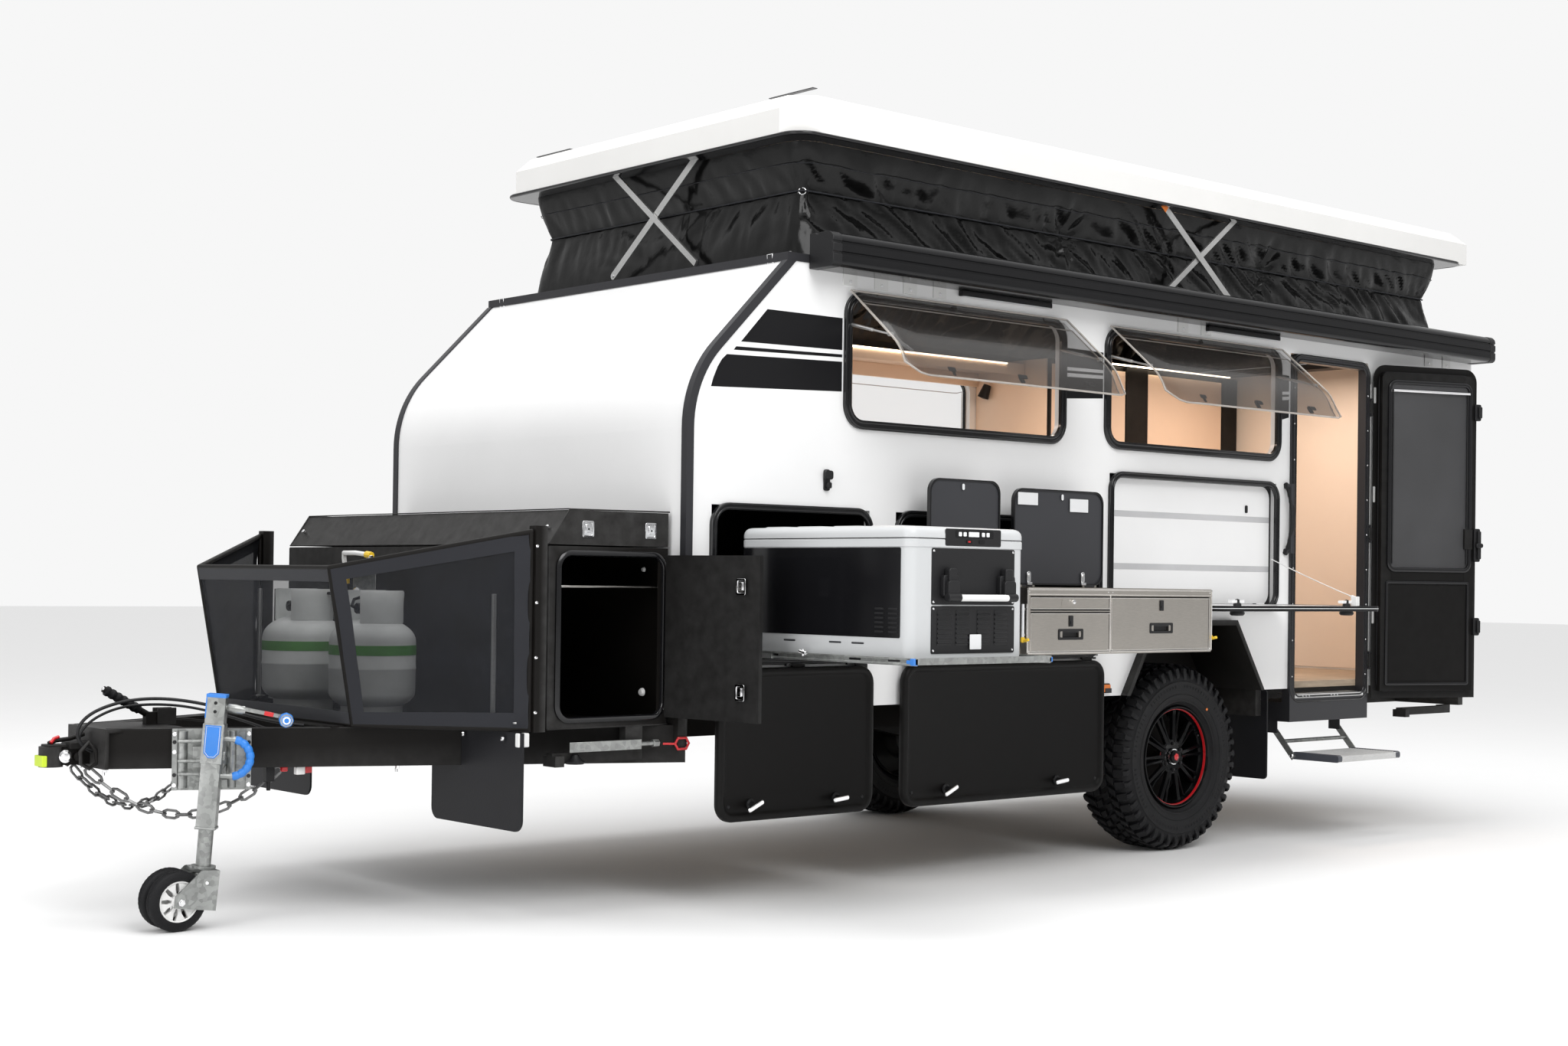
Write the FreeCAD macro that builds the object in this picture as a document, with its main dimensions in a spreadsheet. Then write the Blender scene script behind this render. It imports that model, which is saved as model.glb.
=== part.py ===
"""Single-axle pop-top camper trailer, open for camping, in millimetres.

Body coordinates are used while a piece is drawn: x runs rearward from the body's
front wall, y to the off side from the centreline and z up from the ground.
Each finished piece is then placed so that the origin is the coupling's bore.
"""
import FreeCAD, Part
import Sketcher
import math
import os
from types import SimpleNamespace
from FreeCAD import Placement, Rotation, Vector

os.makedirs("parts", exist_ok=True)
doc = FreeCAD.newDocument("CamperTrailer")

SIZES = {
    # Datum of the coupling
    "hitch_height": 510,
    "wall_x": 1830,
    # Body shell
    "body_width": 1954,
    "body_rear": 5030,
    "wall": 30,
    "body_floor": 680,
    "wall_top": 2300,
    "nose_corner": 1847,
    "nose_radius": 425,
    "rail_height": 30,
    "rail_width": 140,
    "trim_width": 24,
    "trim_proud": 7,
    "skirt_height": 50,
    # Grab handle beside the door
    "grab_x": 3470,
    "grab_low": 1296,
    "grab_high": 1611,
    "grab_radius": 11,
    # Chassis and drawbar
    "drawbar_angle": 25,
    "drawbar_tip_x": 1700,
    "drawbar_tip_y": 100,
    "drawbar_wide": 50,
    "drawbar_tall": 130,
    "drawbar_top": 635,
    "chassis_y": 560,
    "chassis_wide": 50,
    "chassis_tall": 120,
    "beam_wide": 40,
    # Stabiliser legs
    "leg_size": 36,
    "leg_low": 520,
    "leg_y": 901,
    "leg_front_x": 494,
    "leg_front_gap": 120,
    "leg_rear_x": 4560,
    # Coupling
    "bore_radius": 18,
    "coupling_length": 210,
    "coupling_width": 76,
    "coupling_height": 66,
    "neck_width": 60,
    # Road wheels and suspension
    "axle_x": 2737,
    "tyre_radius": 402,
    "tyre_width": 265,
    "tyre_face_y": 980,
    "rim_radius": 216,
    "rim_lip": 12,
    "hub_radius": 70,
    "spokes": 10,
    "spoke_angle": 11,
    "hub_gap": 1,
    "spindle_radius": 22,
    "shaft_gap": 0.05,
    "arm_pivot_x": 2200,
    "arm_pivot_z": 520,
    "arm_size": 70,
    "spring_radius": 50,
    # Wheel arch
    "arch_front_low": 2348,
    "arch_front_mid": 2446,
    "arch_front_mid_z": 846,
    "arch_front_top": 2545,
    "arch_top": 976,
    "arch_rear_top": 3072,
    "arch_rear_low": 3265,
    "arch_depth": 290,
    "arch_sheet": 4,
    "arch_lip": 36,
    # Windows
    "window_low": 1708,
    "window_high": 2222,
    "window_1_front": 729,
    "window_1_rear": 1955,
    "window_2_front": 2201,
    "window_2_rear": 3420,
    "window_corner": 92,
    "window_frame": 34,
    "frame_proud": 13,
    "pane_inset": 14,
    "pane_thick": 18,
    "pane_gap": 6,
    "pane_open": 50,
    # Clearance of every leaf from its frame
    "leaf_gap": 6,
    # Hinge pins, barrels and lugs
    "hinge_pin": 2.5,
    "barrel_radius": 5,
    "barrel_long": 60,
    "lug_long": 12,
    "edge_gap": 8,
    # Door
    "door_front": 3502,
    "door_rear": 4121,
    "door_low": 615,
    "door_high": 2212,
    "door_corner": 70,
    "door_frame": 36,
    "door_gap": 6,
    "door_thick": 30,
    "door_flange": 6,
    "door_handle_z": 1330,
    "door_open": 160,
    "sill_low": 528,
    # Side hatches
    "hatch_low": 840,
    "hatch_high": 1415,
    "hatch_1_front": 104,
    "hatch_1_rear": 880,
    "hatch_2_front": 1000,
    "hatch_2_rear": 2190,
    "hatch_corner": 80,
    "hatch_frame": 25,
    "hatch_thick": 32,
    "hatch_hang": 8,
    "hatch_edge": 18,
    # Table
    "table_frame_front": 2235,
    "table_frame_rear": 3410,
    "table_frame_low": 1036,
    "table_frame_high": 1618,
    "table_z": 1064,
    "table_thick": 20,
    "table_corner": 60,
    "table_gap": 8,
    # Fridge on its slide
    "fridge_front": 200,
    "fridge_rear": 742,
    "fridge_face_y": 1880,
    "fridge_long": 850,
    "fridge_low": 893,
    "fridge_high": 1325,
    "fridge_seam": 1285,
    "fridge_wall": 45,
    "slide_front": 170,
    "slide_rear": 830,
    "slide_face_y": 1930,
    "slide_low": 885,
    "slide_long": 900,
    "slide_member": 10,
    "slide_play": 0.3,
    "slide_travel": 950,
    "slide_rail_low": 876,
    "slide_middle": 620,
    # Kitchen slide
    "kitchen_front": 1050,
    "kitchen_rear": 2100,
    "kitchen_split": 1500,
    "kitchen_face_y": 1617,
    "kitchen_back_y": 1075,
    "kitchen_low": 888,
    "kitchen_high": 1130,
    "kitchen_sheet": 3,
    "drawer_gap": 5,
    "drawer_long": 420,
    "drawer_seam": 1045,
    "lid_thick": 12,
    "lid_corner": 50,
    "lid_1_front": 1058,
    "lid_1_rear": 1440,
    "lid_1_tall": 400,
    "lid_2_front": 1520,
    "lid_2_rear": 2050,
    "lid_2_tall": 380,
    "kitchen_rail": 12,
    "kitchen_middle": 480,
    # Storage under the bed deck
    "deck_z": 1440,
    "deck_rear": 2215,
    "deck_thick": 18,
    "store_floor": 848,
    "store_thick": 12,
    # Front box and stone guard
    "box_front": 518,
    "box_rear": 18,
    "box_half": 900,
    "box_high": 1371,
    "box_lid_low": 1249,
    "box_lid_gap": 5,
    "box_hinge_x": 12,
    "box_lid_front": 434,
    "box_sheet": 5,
    "box_door_low": 665,
    "box_door_high": 1225,
    "box_door_front": 480,
    "box_door_rear": 36,
    "box_door_thick": 16,
    "box_door_open": 98,
    "guard_front_top": 1100,
    "guard_front_low": 1005,
    "guard_front_half": 480,
    "guard_rear_x": 622,
    "guard_rear_half": 950,
    "guard_front_z": 1165,
    "guard_rear_z": 1292,
    "guard_low_z": 645,
    "guard_tube": 9,
    "guard_floor": 6,
    "mesh_thick": 3,
    "bottle_x": 800,
    "bottle_y": 246,
    "bottle_radius": 150,
    "bottle_foot": 34,
    "bottle_tall": 330,
    "bottle_collar": 100,
    # Jockey wheel
    "jockey_x": 1444,
    "jockey_y": 357,
    "jockey_z": 530,
    "jockey_lean": 4,
    "jockey_toe": 10,
    "jockey_tube": 60,
    "jockey_wall": 4,
    "jockey_top": 221,
    "jockey_low": 212,
    "jockey_leg_radius": 24,
    "jockey_leg_low": 330,
    "jockey_trail": 95,
    "jockey_wheel_radius": 97,
    "jockey_wheel_wide": 45,
    "jockey_wheel_gap": 18,
    # Mud and stone flaps
    "flap_x": 668,
    "flap_inner": 430,
    "flap_outer": 980,
    "flap_low": 312,
    "flap_thick": 8,
    # Pop-top roof
    "roof_low": 2775,
    "roof_high": 2935,
    "roof_front": 500,
    "roof_back": 4985,
    "roof_half": 972,
    "roof_chamfer": 110,
    "roof_slope": 80,
    "roof_skin": 22,
    "roof_travel": 430,
    "tent_gap": 78,
    "tent_waist": 75,
    "tent_thick": 4,
    # Scissor bars
    "bar_wide": 24,
    "bar_thick": 5,
    "bar_half": 270,
    "bar_low_z": 2372,
    "bar_high_z": 2790,
    "bar_plane": 16,
    "bar_space": 0.3,
    "bar_pin": 4,
    "boss_radius": 10,
    "ends_centre_y": -50,
    "sides_centre_x": 2880,
    # Awning
    "awning_front": 550,
    "awning_low": 2277,
    "awning_high": 2405,
    "awning_deep": 130,
    "awning_corner": 18,
    # Light bars under the awning
    "lamp_1_front": 1330,
    "lamp_2_front": 2870,
    "lamp_long": 520,
    "lamp_tall": 20,
    "lamp_deep": 22,
    "lamp_gap": 3,
    # Entry step
    "step_front": 3560,
    "step_rear": 4080,
    "step_pivot_y": 850,
    "step_pivot_z": 495,
    "step_arm": 166,
    "step_angle": 41,
    "step_deep": 245,
    "step_thick": 28,
    "arm_wide": 28,
    "arm_thick": 6,
}



class Size:
    """A length or angle that knows its number and its formula in the sheet."""

    def __init__(self, text, number):
        self.text = text
        self.number = number

    def __float__(self):
        return self.number

    def __neg__(self):
        return Size(f"(-{self.text})", -self.number)

    def __add__(self, other):
        return self.joined("+", other, self.number + float(other))

    def __radd__(self, other):
        return as_size(other) + self

    def __sub__(self, other):
        return self.joined("-", other, self.number - float(other))

    def __rsub__(self, other):
        return as_size(other) - self

    def __mul__(self, other):
        return self.joined("*", other, self.number * float(other))

    def __rmul__(self, other):
        return as_size(other) * self

    def __truediv__(self, other):
        return self.joined("/", other, self.number / float(other))

    def joined(self, sign, other, number):
        """Return the size that an operation with another size gives."""
        return Size(f"({self.text} {sign} {as_size(other).text})", number)


def as_size(item):
    """Return a plain number as a size, and a size as it is."""
    return item if isinstance(item, Size) else Size(f"({item})", float(item))


def tan(angle):
    """Return the tangent of an angle in degrees."""
    return Size(f"tan({angle.text})", math.tan(math.radians(angle.number)))


def cos(angle):
    """Return the cosine of an angle in degrees."""
    return Size(f"cos({angle.text})", math.cos(math.radians(angle.number)))


def sin(angle):
    """Return the sine of an angle in degrees."""
    return Size(f"sin({angle.text})", math.sin(math.radians(angle.number)))


sheet = doc.addObject("Spreadsheet::Sheet", "Sizes")
s = SimpleNamespace()
for row, (alias, number) in enumerate(SIZES.items(), start=1):
    sheet.set(f"A{row}", alias)
    sheet.set(f"B{row}", str(number))
    sheet.setAlias(f"B{row}", alias)
    setattr(s, alias, Size(f"Sizes.{alias}", float(number)))
doc.recompute()

FINISHED = []
PRIMITIVES = ("Part::Box", "Part::Cylinder", "Part::Cone", "Part::Torus")
KERB = -1
OFF = 1
LUG = 4
ALONG = {"x": Rotation(Vector(0, 1, 0), 90), "y": Rotation(Vector(-1, 0, 0), 90), "z": Rotation()}
SQRT_2 = math.sqrt(2)
BEND = math.tan(math.radians(22.5))


def tie(item, prop, amount):
    """Bind a property to a size, or set it where the size is a plain number."""
    item.setExpression(prop, as_size(amount).text)


def move(item, x=0, y=0, z=0):
    """Place an item at x, y, z."""
    for axis, amount in zip("xyz", (x, y, z)):
        tie(item, f"Placement.Base.{axis}", amount)
    return item


def box(x, y, z, long, wide, tall):
    """Return a block from its lowest corner along +x, +y and +z."""
    item = doc.addObject("Part::Box", "Block")
    for prop, amount in zip(("Length", "Width", "Height"), (long, wide, tall)):
        tie(item, prop, amount)
    return move(item, x, y, z)


def centred_box(x, y, z, long, wide, tall):
    """Return a block whose base is centred on x, y."""
    return box(x - as_size(long) / 2, y - as_size(wide) / 2, z, long, wide, tall)


def rod(axis, x, y, z, radius, long):
    """Return a round bar that starts at x, y, z and runs along an axis."""
    item = doc.addObject("Part::Cylinder", "Rod")
    item.Placement = Placement(Vector(), ALONG[axis])
    tie(item, "Radius", radius)
    tie(item, "Height", long)
    return move(item, x, y, z)


def cone(axis, x, y, z, radius, end_radius, long):
    """Return a tapered round bar that starts at x, y, z and runs along an axis."""
    item = doc.addObject("Part::Cone", "Taper")
    item.Placement = Placement(Vector(), ALONG[axis])
    tie(item, "Radius1", radius)
    tie(item, "Radius2", end_radius)
    tie(item, "Height", long)
    return move(item, x, y, z)


def torus(axis, x, y, z, radius, section):
    """Return a ring around an axis through x, y, z."""
    item = doc.addObject("Part::Torus", "Ring")
    item.Placement = Placement(Vector(), ALONG[axis])
    tie(item, "Radius1", radius)
    tie(item, "Radius2", section)
    return move(item, x, y, z)


def fuse(*items):
    """Join items into one solid."""
    item = doc.addObject("Part::MultiFuse", "Joined")
    item.Shapes = list(items)
    item.Refine = True
    return item


def cut(base, *tools):
    """Cut tools out of a base."""
    item = doc.addObject("Part::Cut", "Cut")
    item.Base = base
    item.Tool = tools[0] if len(tools) == 1 else group(*tools)
    return item


def group(*items):
    """Keep items together as separate solids of one piece."""
    item = doc.addObject("Part::Compound", "Group")
    item.Links = list(items)
    return item


def tilt(item, turn, x=0, y=0, z=0):
    """Turn an item about its own origin and carry it to x, y, z."""
    holder = group(item)
    holder.Placement = Placement(Vector(), turn)
    return move(holder, x, y, z)


def finish(label, item, x=0, y=0, z=None, turn=None):
    """Name a piece and place it from body coordinates into the part's frame."""
    if turn is not None or item.TypeId in PRIMITIVES:
        item = group(item)
    if turn is not None:
        item.Placement = Placement(Vector(), turn)
    move(item, s.wall_x + x, y, (0 if z is None else z) - s.hitch_height)
    item.Label = label
    FINISHED.append(item)
    return item


def sketch_on(body, plane, offset):
    """Start a sketch on one of a body's own origin planes, moved along its normal."""
    support = next(item for item in body.Origin.OriginFeatures if item.Role == f"{plane}_Plane")
    sketch = body.newObject("Sketcher::SketchObject", "Outline")
    sketch.AttachmentSupport = [(support, "")]
    sketch.MapMode = "FlatFace"
    tie(sketch, "AttachmentOffset.Base.z", offset)
    return sketch


def draw_outline(sketch, points):
    """Draw a closed outline through points that are held by the sheet."""
    count = len(points)
    ends = [Vector(float(u), float(v), 0) for u, v in points]
    for index in range(count):
        sketch.addGeometry(Part.LineSegment(ends[index], ends[(index + 1) % count]), False)
    for index in range(count):
        sketch.addConstraint(Sketcher.Constraint("Coincident", index, 2, (index + 1) % count, 1))
    for index, (u, v) in enumerate(points):
        for kind, amount in (("DistanceX", u), ("DistanceY", v)):
            held = sketch.addConstraint(Sketcher.Constraint(kind, -1, 1, index, 1, float(amount)))
            tie(sketch, f"Constraints[{held}]", amount)


def rectangle(u_low, v_low, u_high, v_high):
    """Return the four corners of an upright rectangle."""
    return [(u_low, v_low), (u_high, v_low), (u_high, v_high), (u_low, v_high)]


def plane_offset(plane, start, thick):
    """Return how far the sketch moves so that its pad fills start to start plus thick."""
    return -(as_size(start) + thick) if plane == "XZ" else start


def plate(plane, points, start, thick):
    """Return a body padded from an outline, filling start to start plus thick."""
    body = doc.addObject("PartDesign::Body", "Plate")
    sketch = sketch_on(body, plane, plane_offset(plane, start, thick))
    draw_outline(sketch, points)
    pad = body.newObject("PartDesign::Pad", "Pad")
    pad.Profile = sketch
    tie(pad, "Length", thick)
    doc.recompute()
    return body


def pierce(body, plane, points):
    """Cut an outline right through a body."""
    sketch = sketch_on(body, plane, 0)
    draw_outline(sketch, points)
    pocket = body.newObject("PartDesign::Pocket", "Opening")
    pocket.Profile = sketch
    pocket.Type = "ThroughAll"
    pocket.Midplane = True
    doc.recompute()


def edges_along(shape, axis, keep):
    """Name the straight edges along an axis whose middle passes a test."""
    unit = {"x": Vector(1, 0, 0), "y": Vector(0, 1, 0), "z": Vector(0, 0, 1)}[axis]
    names = []
    for index, edge in enumerate(shape.Edges, start=1):
        first, last = edge.Vertexes[0].Point, edge.Vertexes[-1].Point
        run = last - first
        straight = edge.Curve.TypeId == "Part::GeomLine"
        if straight and run.Length > 0 and abs(run.normalize().dot(unit)) > 0.999 and keep((first + last) / 2):
            names.append(f"Edge{index}")
    return names


def round_edges(body, axis, radius, keep=lambda middle: True):
    """Fillet a body's straight edges along an axis."""
    base = body.Tip
    fillet = body.newObject("PartDesign::Fillet", "Fillet")
    fillet.Base = (base, edges_along(base.Shape, axis, keep))
    tie(fillet, "Radius", radius)
    doc.recompute()


NORMAL = {"XZ": "y", "YZ": "x", "XY": "z"}


def panel(plane, low, high, start, thick, radius):
    """Return a rectangular plate with round corners; low and high are its corners."""
    body = plate(plane, rectangle(*low, *high), start, thick)
    round_edges(body, NORMAL[plane], radius)
    return body


def pierce_round(body, plane, low, high, radius):
    """Cut a rectangle with round corners through a body."""
    pierce(body, plane, rectangle(*low, *high))
    pick = {"XZ": (0, 2), "YZ": (1, 2), "XY": (0, 1)}[plane]

    def at_corner(middle):
        place = [middle[index] for index in pick]
        return all(min(abs(place[k] - float(low[k])), abs(place[k] - float(high[k]))) < 0.01 for k in (0, 1))

    round_edges(body, NORMAL[plane], radius, at_corner)


def ring(plane, low, high, bar, start, thick, radius):
    """Return a rectangular frame with round corners and an even bar."""
    body = panel(plane, low, high, start, thick, radius)
    inner_low = [as_size(corner) + bar for corner in low]
    inner_high = [as_size(corner) - bar for corner in high]
    pierce_round(body, plane, inner_low, inner_high, radius - as_size(bar))
    return body


def along(axis, start, first, second):
    """Return x, y, z with a distance along an axis and the two others in order."""
    spots = [first, second]
    spots.insert("xyz".index(axis), start)
    return spots


def block(axis, start, long, low, high):
    """Return a block along an axis between two corners of its cross-section."""
    spans = [high[0] - as_size(low[0]), high[1] - as_size(low[1])]
    return box(*along(axis, start, *low), *along(axis, long, *spans))


def shifted(origin, corner):
    """Return a corner of a cross-section measured from an origin."""
    return [as_size(origin[k]) + corner[k] for k in (0, 1)]


def hinged(leaf, axis, starts, low, high, origin=(0, 0)):
    """Give a leaf bored barrels on a hinge line, and the webs that carry them."""
    pieces = [leaf]
    for start in starts:
        pieces.append(rod(axis, *along(axis, start, *origin), s.barrel_radius, s.barrel_long))
        pieces.append(block(axis, start, s.barrel_long, shifted(origin, low), shifted(origin, high)))
    bores = [rod(axis, *along(axis, start - 1, *origin), s.hinge_pin + s.shaft_gap, s.barrel_long + 2)
             for start in starts]
    return cut(fuse(*pieces), *bores)


def hinge_lugs(axis, starts, origin, *corners):
    """Return the pins and lugs that hold a leaf's barrels, for the piece it hangs on."""
    pieces = []
    for start in starts:
        first = start - s.slide_play - s.lug_long
        last = start + s.barrel_long + s.slide_play
        pieces.append(rod(axis, *along(axis, first, *origin), s.hinge_pin, last + s.lug_long - first))
        for low, high in corners:
            for lug in (first, last):
                pieces.append(block(axis, lug, s.lug_long, shifted(origin, low), shifted(origin, high)))
    return pieces


def side_start(side, outer, thick):
    """Return the lower y of a layer whose outer face is at a distance from the centreline."""
    return -as_size(outer) if side == KERB else as_size(outer) - thick


def nose_outline(outer, inner, low, high):
    """Return the strip between two offsets of the nose line, from low to high."""
    def corner(offset):
        return (-as_size(offset), s.nose_corner + as_size(offset) * BEND)

    def crest(offset):
        return (as_size(high) - s.nose_corner - as_size(offset) * SQRT_2, high)

    return [(-as_size(outer), low), corner(outer), crest(outer), crest(inner), corner(inner), (-as_size(inner), low)]


def nose_strip(outer, inner, low, high, start, thick):
    """Return a strip that follows the body's nose, bent at the nose radius."""
    body = plate("XZ", nose_outline(outer, inner, low, high), start, thick)
    for offset in (outer, inner):
        level = float(s.nose_corner + as_size(offset) * BEND)
        round_edges(body, "y", s.nose_radius + offset, lambda middle, level=level: abs(middle.z - level) < 0.01)
    return body


HALF = s.body_width / 2
INNER = HALF - s.wall
TIRE_IN = s.tyre_face_y - s.tyre_width


def build_chassis():
    """Side rails, cross beams and the A-frame drawbar, all one weldment."""
    bars = []
    rail_z = s.body_floor - s.chassis_tall
    for side in (KERB, OFF):
        bars.append(box(0, side * s.chassis_y - s.chassis_wide / 2, rail_z,
                        s.body_rear, s.chassis_wide, s.chassis_tall))
        slope = tan(s.drawbar_angle)
        half = s.drawbar_wide / 2 / cos(s.drawbar_angle)
        end_x = s.beam_wide
        end_y = s.drawbar_tip_y + (end_x + s.drawbar_tip_x) * slope
        bars.append(plate("XY", [
            (-s.drawbar_tip_x, side * (s.drawbar_tip_y - half)),
            (end_x, side * (end_y - half)),
            (end_x, side * (end_y + half)),
            (-s.drawbar_tip_x, side * (s.drawbar_tip_y + half)),
        ], s.drawbar_top - s.drawbar_tall, s.drawbar_tall))
    for front in (0, s.arm_pivot_x - s.beam_wide / 2, s.arch_rear_low + s.beam_wide,
                  s.body_rear - s.beam_wide):
        bars.append(box(front, -INNER, rail_z, s.beam_wide, 2 * INNER, s.chassis_tall))
    tip_half = s.drawbar_tip_y + s.drawbar_wide
    tip_sheet = s.drawbar_wide / 4
    bars.append(box(-s.drawbar_tip_x - tip_sheet, -tip_half, s.drawbar_top - s.drawbar_tall,
                    tip_sheet, 2 * tip_half, s.drawbar_tall))
    bars.append(box(-s.drawbar_tip_x, -tip_half, s.drawbar_top - tip_sheet,
                    5 * s.drawbar_wide, 2 * tip_half, tip_sheet))
    finish("chassis", fuse(*bars))


def build_coupling():
    """Cup coupling with its vertical pin bore, neck and pivot bolt."""
    head_radius = s.coupling_width / 2
    neck_end = s.wall_x - s.drawbar_tip_x - s.drawbar_wide / 4
    head = fuse(
        rod("z", -s.wall_x, 0, s.hitch_height, head_radius, s.coupling_height),
        centred_box(-s.wall_x + neck_end / 2, 0, s.hitch_height + 6, neck_end, s.neck_width,
                    s.coupling_height - 12),
        rod("y", -s.wall_x + neck_end * 0.62, -s.coupling_width / 2 - 8, s.hitch_height + s.coupling_height / 2,
            s.bore_radius - 4, s.coupling_width + 16),
    )
    bore = rod("z", -s.wall_x, 0, s.hitch_height - 1, s.bore_radius, s.coupling_height + 2)
    finish("coupling", cut(head, bore))


def build_handbrake():
    """Parking brake lever on its ratchet bracket."""
    base_z = s.drawbar_top
    bracket = box(-1515, -14, base_z, 90, 28, 42)
    lever = tilt(rod("z", 0, 0, 0, 11, 200), Rotation(Vector(0, 1, 0), -60), -1485, 0, base_z + 22)
    finish("handbrake", fuse(bracket, lever))


def build_jockey():
    """Side-winding jockey wheel: bracket, column, leg, fork and twin wheels."""
    rail_turn = Rotation(Vector(0, 0, 1), -float(s.drawbar_angle))
    toe = Rotation(Vector(0, 0, 1), -float(s.jockey_toe))
    lean = Rotation(Vector(0, 1, 0), float(s.jockey_lean))
    column_turn = rail_turn.multiply(toe).multiply(lean)
    wheel_turn = column_turn.multiply(Rotation(Vector(0, 0, 1), float(s.drawbar_angle + s.jockey_toe)))
    place = {"x": -s.jockey_x, "y": -s.jockey_y, "z": s.jockey_z}
    half = s.jockey_tube / 2
    face = jockey_rail_gap()
    plate_low = -s.drawbar_tall / 2 - 30
    bracket = fuse(
        box(-125, face - 12, plate_low, 250, 12, s.drawbar_tall + 70),
        tilt(rod("y", 0, half + 1, 0, 34, face - half - 9), toe),
    )
    finish("jockey_bracket", bracket, turn=rail_turn, **place)
    inner = half - s.jockey_wall
    tall = s.jockey_low + s.jockey_top
    tube = cut(box(-half, -half, -s.jockey_low, s.jockey_tube, s.jockey_tube, tall),
               box(-inner, -inner, -s.jockey_low - 1, 2 * inner, 2 * inner, tall - s.jockey_wall + 1))
    crank = fuse(
        rod("x", half - 2, 0, s.jockey_top - 40, 9, 60),
        tilt(box(0, -9, -6, 150, 18, 12), Rotation(Vector(0, 1, 0), 8), half + 50, 0, s.jockey_top - 40),
        rod("y", half + 190, -44, s.jockey_top - 67, 20, 60),
    )
    handles = fuse(crank, bent_grip(half))
    finish("jockey_column", fuse(tube, tilt(handles, toe.inverted())), turn=column_turn, **place)
    leg_top = -40
    leg = fuse(
        cut(rod("z", 0, 0, -s.jockey_leg_low, s.jockey_leg_radius, s.jockey_leg_low + leg_top),
            rod("z", 0, 0, -s.jockey_leg_low - 1, s.jockey_leg_radius - 6, s.jockey_leg_low + leg_top - 20)),
        centred_box(0, 0, leg_top - 26, 2 * inner - 1, 2 * inner - 1, 26),
    )
    finish("jockey_leg", leg, turn=column_turn, **place)
    build_jockey_fork(wheel_turn, place)


def jockey_rail_gap():
    """Return the distance from the column's axis to the drawbar's outer face, across the rail."""
    angle = s.drawbar_angle
    rail_y = s.drawbar_tip_y + (s.drawbar_tip_x - s.jockey_x) * tan(angle)
    return (s.jockey_y - rail_y) * cos(angle) - s.drawbar_wide / 2


def bent_grip(half):
    """Return the curved carrying grip on the rear face of the column."""
    grip = doc.addObject("Part::Torus", "Grip")
    grip.Placement = Placement(Vector(), Rotation(Vector(1, 0, 0), 90))
    tie(grip, "Radius1", 60)
    tie(grip, "Radius2", 10)
    grip.Angle3 = 180
    grip.Placement = Placement(Vector(float(half) + 28, 0, 20), Rotation(Vector(1, 0, 0), 90)
                               .multiply(Rotation(Vector(0, 0, 1), -90)))
    return fuse(grip, rod("x", half - 2, 0, 80, 8, 32), rod("x", half - 2, 0, -40, 8, 32))


def build_jockey_fork(turn, place):
    """Swivelling fork, trailing forward, and its pair of small wheels."""
    wheel_half = s.jockey_wheel_wide + s.jockey_wheel_gap / 2
    lean = sin(s.jockey_lean)
    turned_by = s.drawbar_angle + s.jockey_toe
    drop = s.jockey_z - s.jockey_wheel_radius + s.jockey_trail * cos(turned_by) * lean
    axle_z = -(drop - wheel_half * sin(turned_by) * lean) / cos(s.jockey_lean)
    cheek_y = wheel_half + 4
    stem_top = -s.jockey_leg_low - s.shaft_gap
    cheeks = []
    for side in (KERB, OFF):
        cheeks.append(plate("XZ", [
            (-s.jockey_trail - 20, axle_z - 18), (26, axle_z - 30), (30, stem_top - 8), (-34, stem_top - 8),
            (-s.jockey_trail - 20, axle_z + 18),
        ], side * (cheek_y + 2.5) - 2.5, 5))
    crown = box(-30, -cheek_y - 5, stem_top - 20, 58, 2 * cheek_y + 10, 13)
    collar = rod("z", 0, 0, stem_top - 8, s.jockey_leg_radius + 16, 8)
    axle = rod("y", -s.jockey_trail, -cheek_y - 8, axle_z, 8, 2 * cheek_y + 16)
    finish("jockey_fork", fuse(crown, collar, axle, *cheeks), turn=turn, **place)
    wheels = []
    for side in (KERB, OFF):
        inner = side_start(side, wheel_half, s.jockey_wheel_wide)
        tyre = rod("y", -s.jockey_trail, inner, axle_z, s.jockey_wheel_radius, s.jockey_wheel_wide)
        wheels.append(cut(tyre, rod("y", -s.jockey_trail, inner - 1, axle_z, s.jockey_wheel_radius * 0.68, 14),
                          rod("y", -s.jockey_trail, inner + s.jockey_wheel_wide - 13, axle_z,
                              s.jockey_wheel_radius * 0.68, 14)))
    hub = rod("y", -s.jockey_trail, -s.jockey_wheel_gap / 2, axle_z, 30, s.jockey_wheel_gap)
    bore = rod("y", -s.jockey_trail, -wheel_half - 1, axle_z, 8 + s.shaft_gap, 2 * wheel_half + 2)
    finish("jockey_wheels", cut(fuse(hub, *wheels), bore), turn=turn, **place)


def chain_link(centre, along_link, across, inner_long, wire):
    """Return one stadium link bent from facetted bar, its long axis and its flat side given."""
    across = (across - along_link * across.dot(along_link)).normalize()
    bend = wire * 1.35
    half = inner_long / 2 + wire / 2 - bend
    path = []
    for end, first in ((1, 90), (-1, 270)):
        for turn in (first, first - 60, first - 120, first - 180):
            spot = centre + along_link * (end * half + bend * math.cos(math.radians(turn)))
            path.append(spot + across * (bend * math.sin(math.radians(turn))))
    side = along_link.cross(across)
    start = (path[-1] + path[0]) / 2
    facets = 6
    rim = [start + (across * math.cos(turn) + side * math.sin(turn)) * (wire / 2)
           for turn in (2 * math.pi * k / facets for k in range(facets))]
    spine = Part.makePolygon([start] + path + [start])
    return Part.Wire(spine.Edges).makePipeShell([Part.makePolygon(rim + rim[:1])], True, False, 1)


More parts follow.
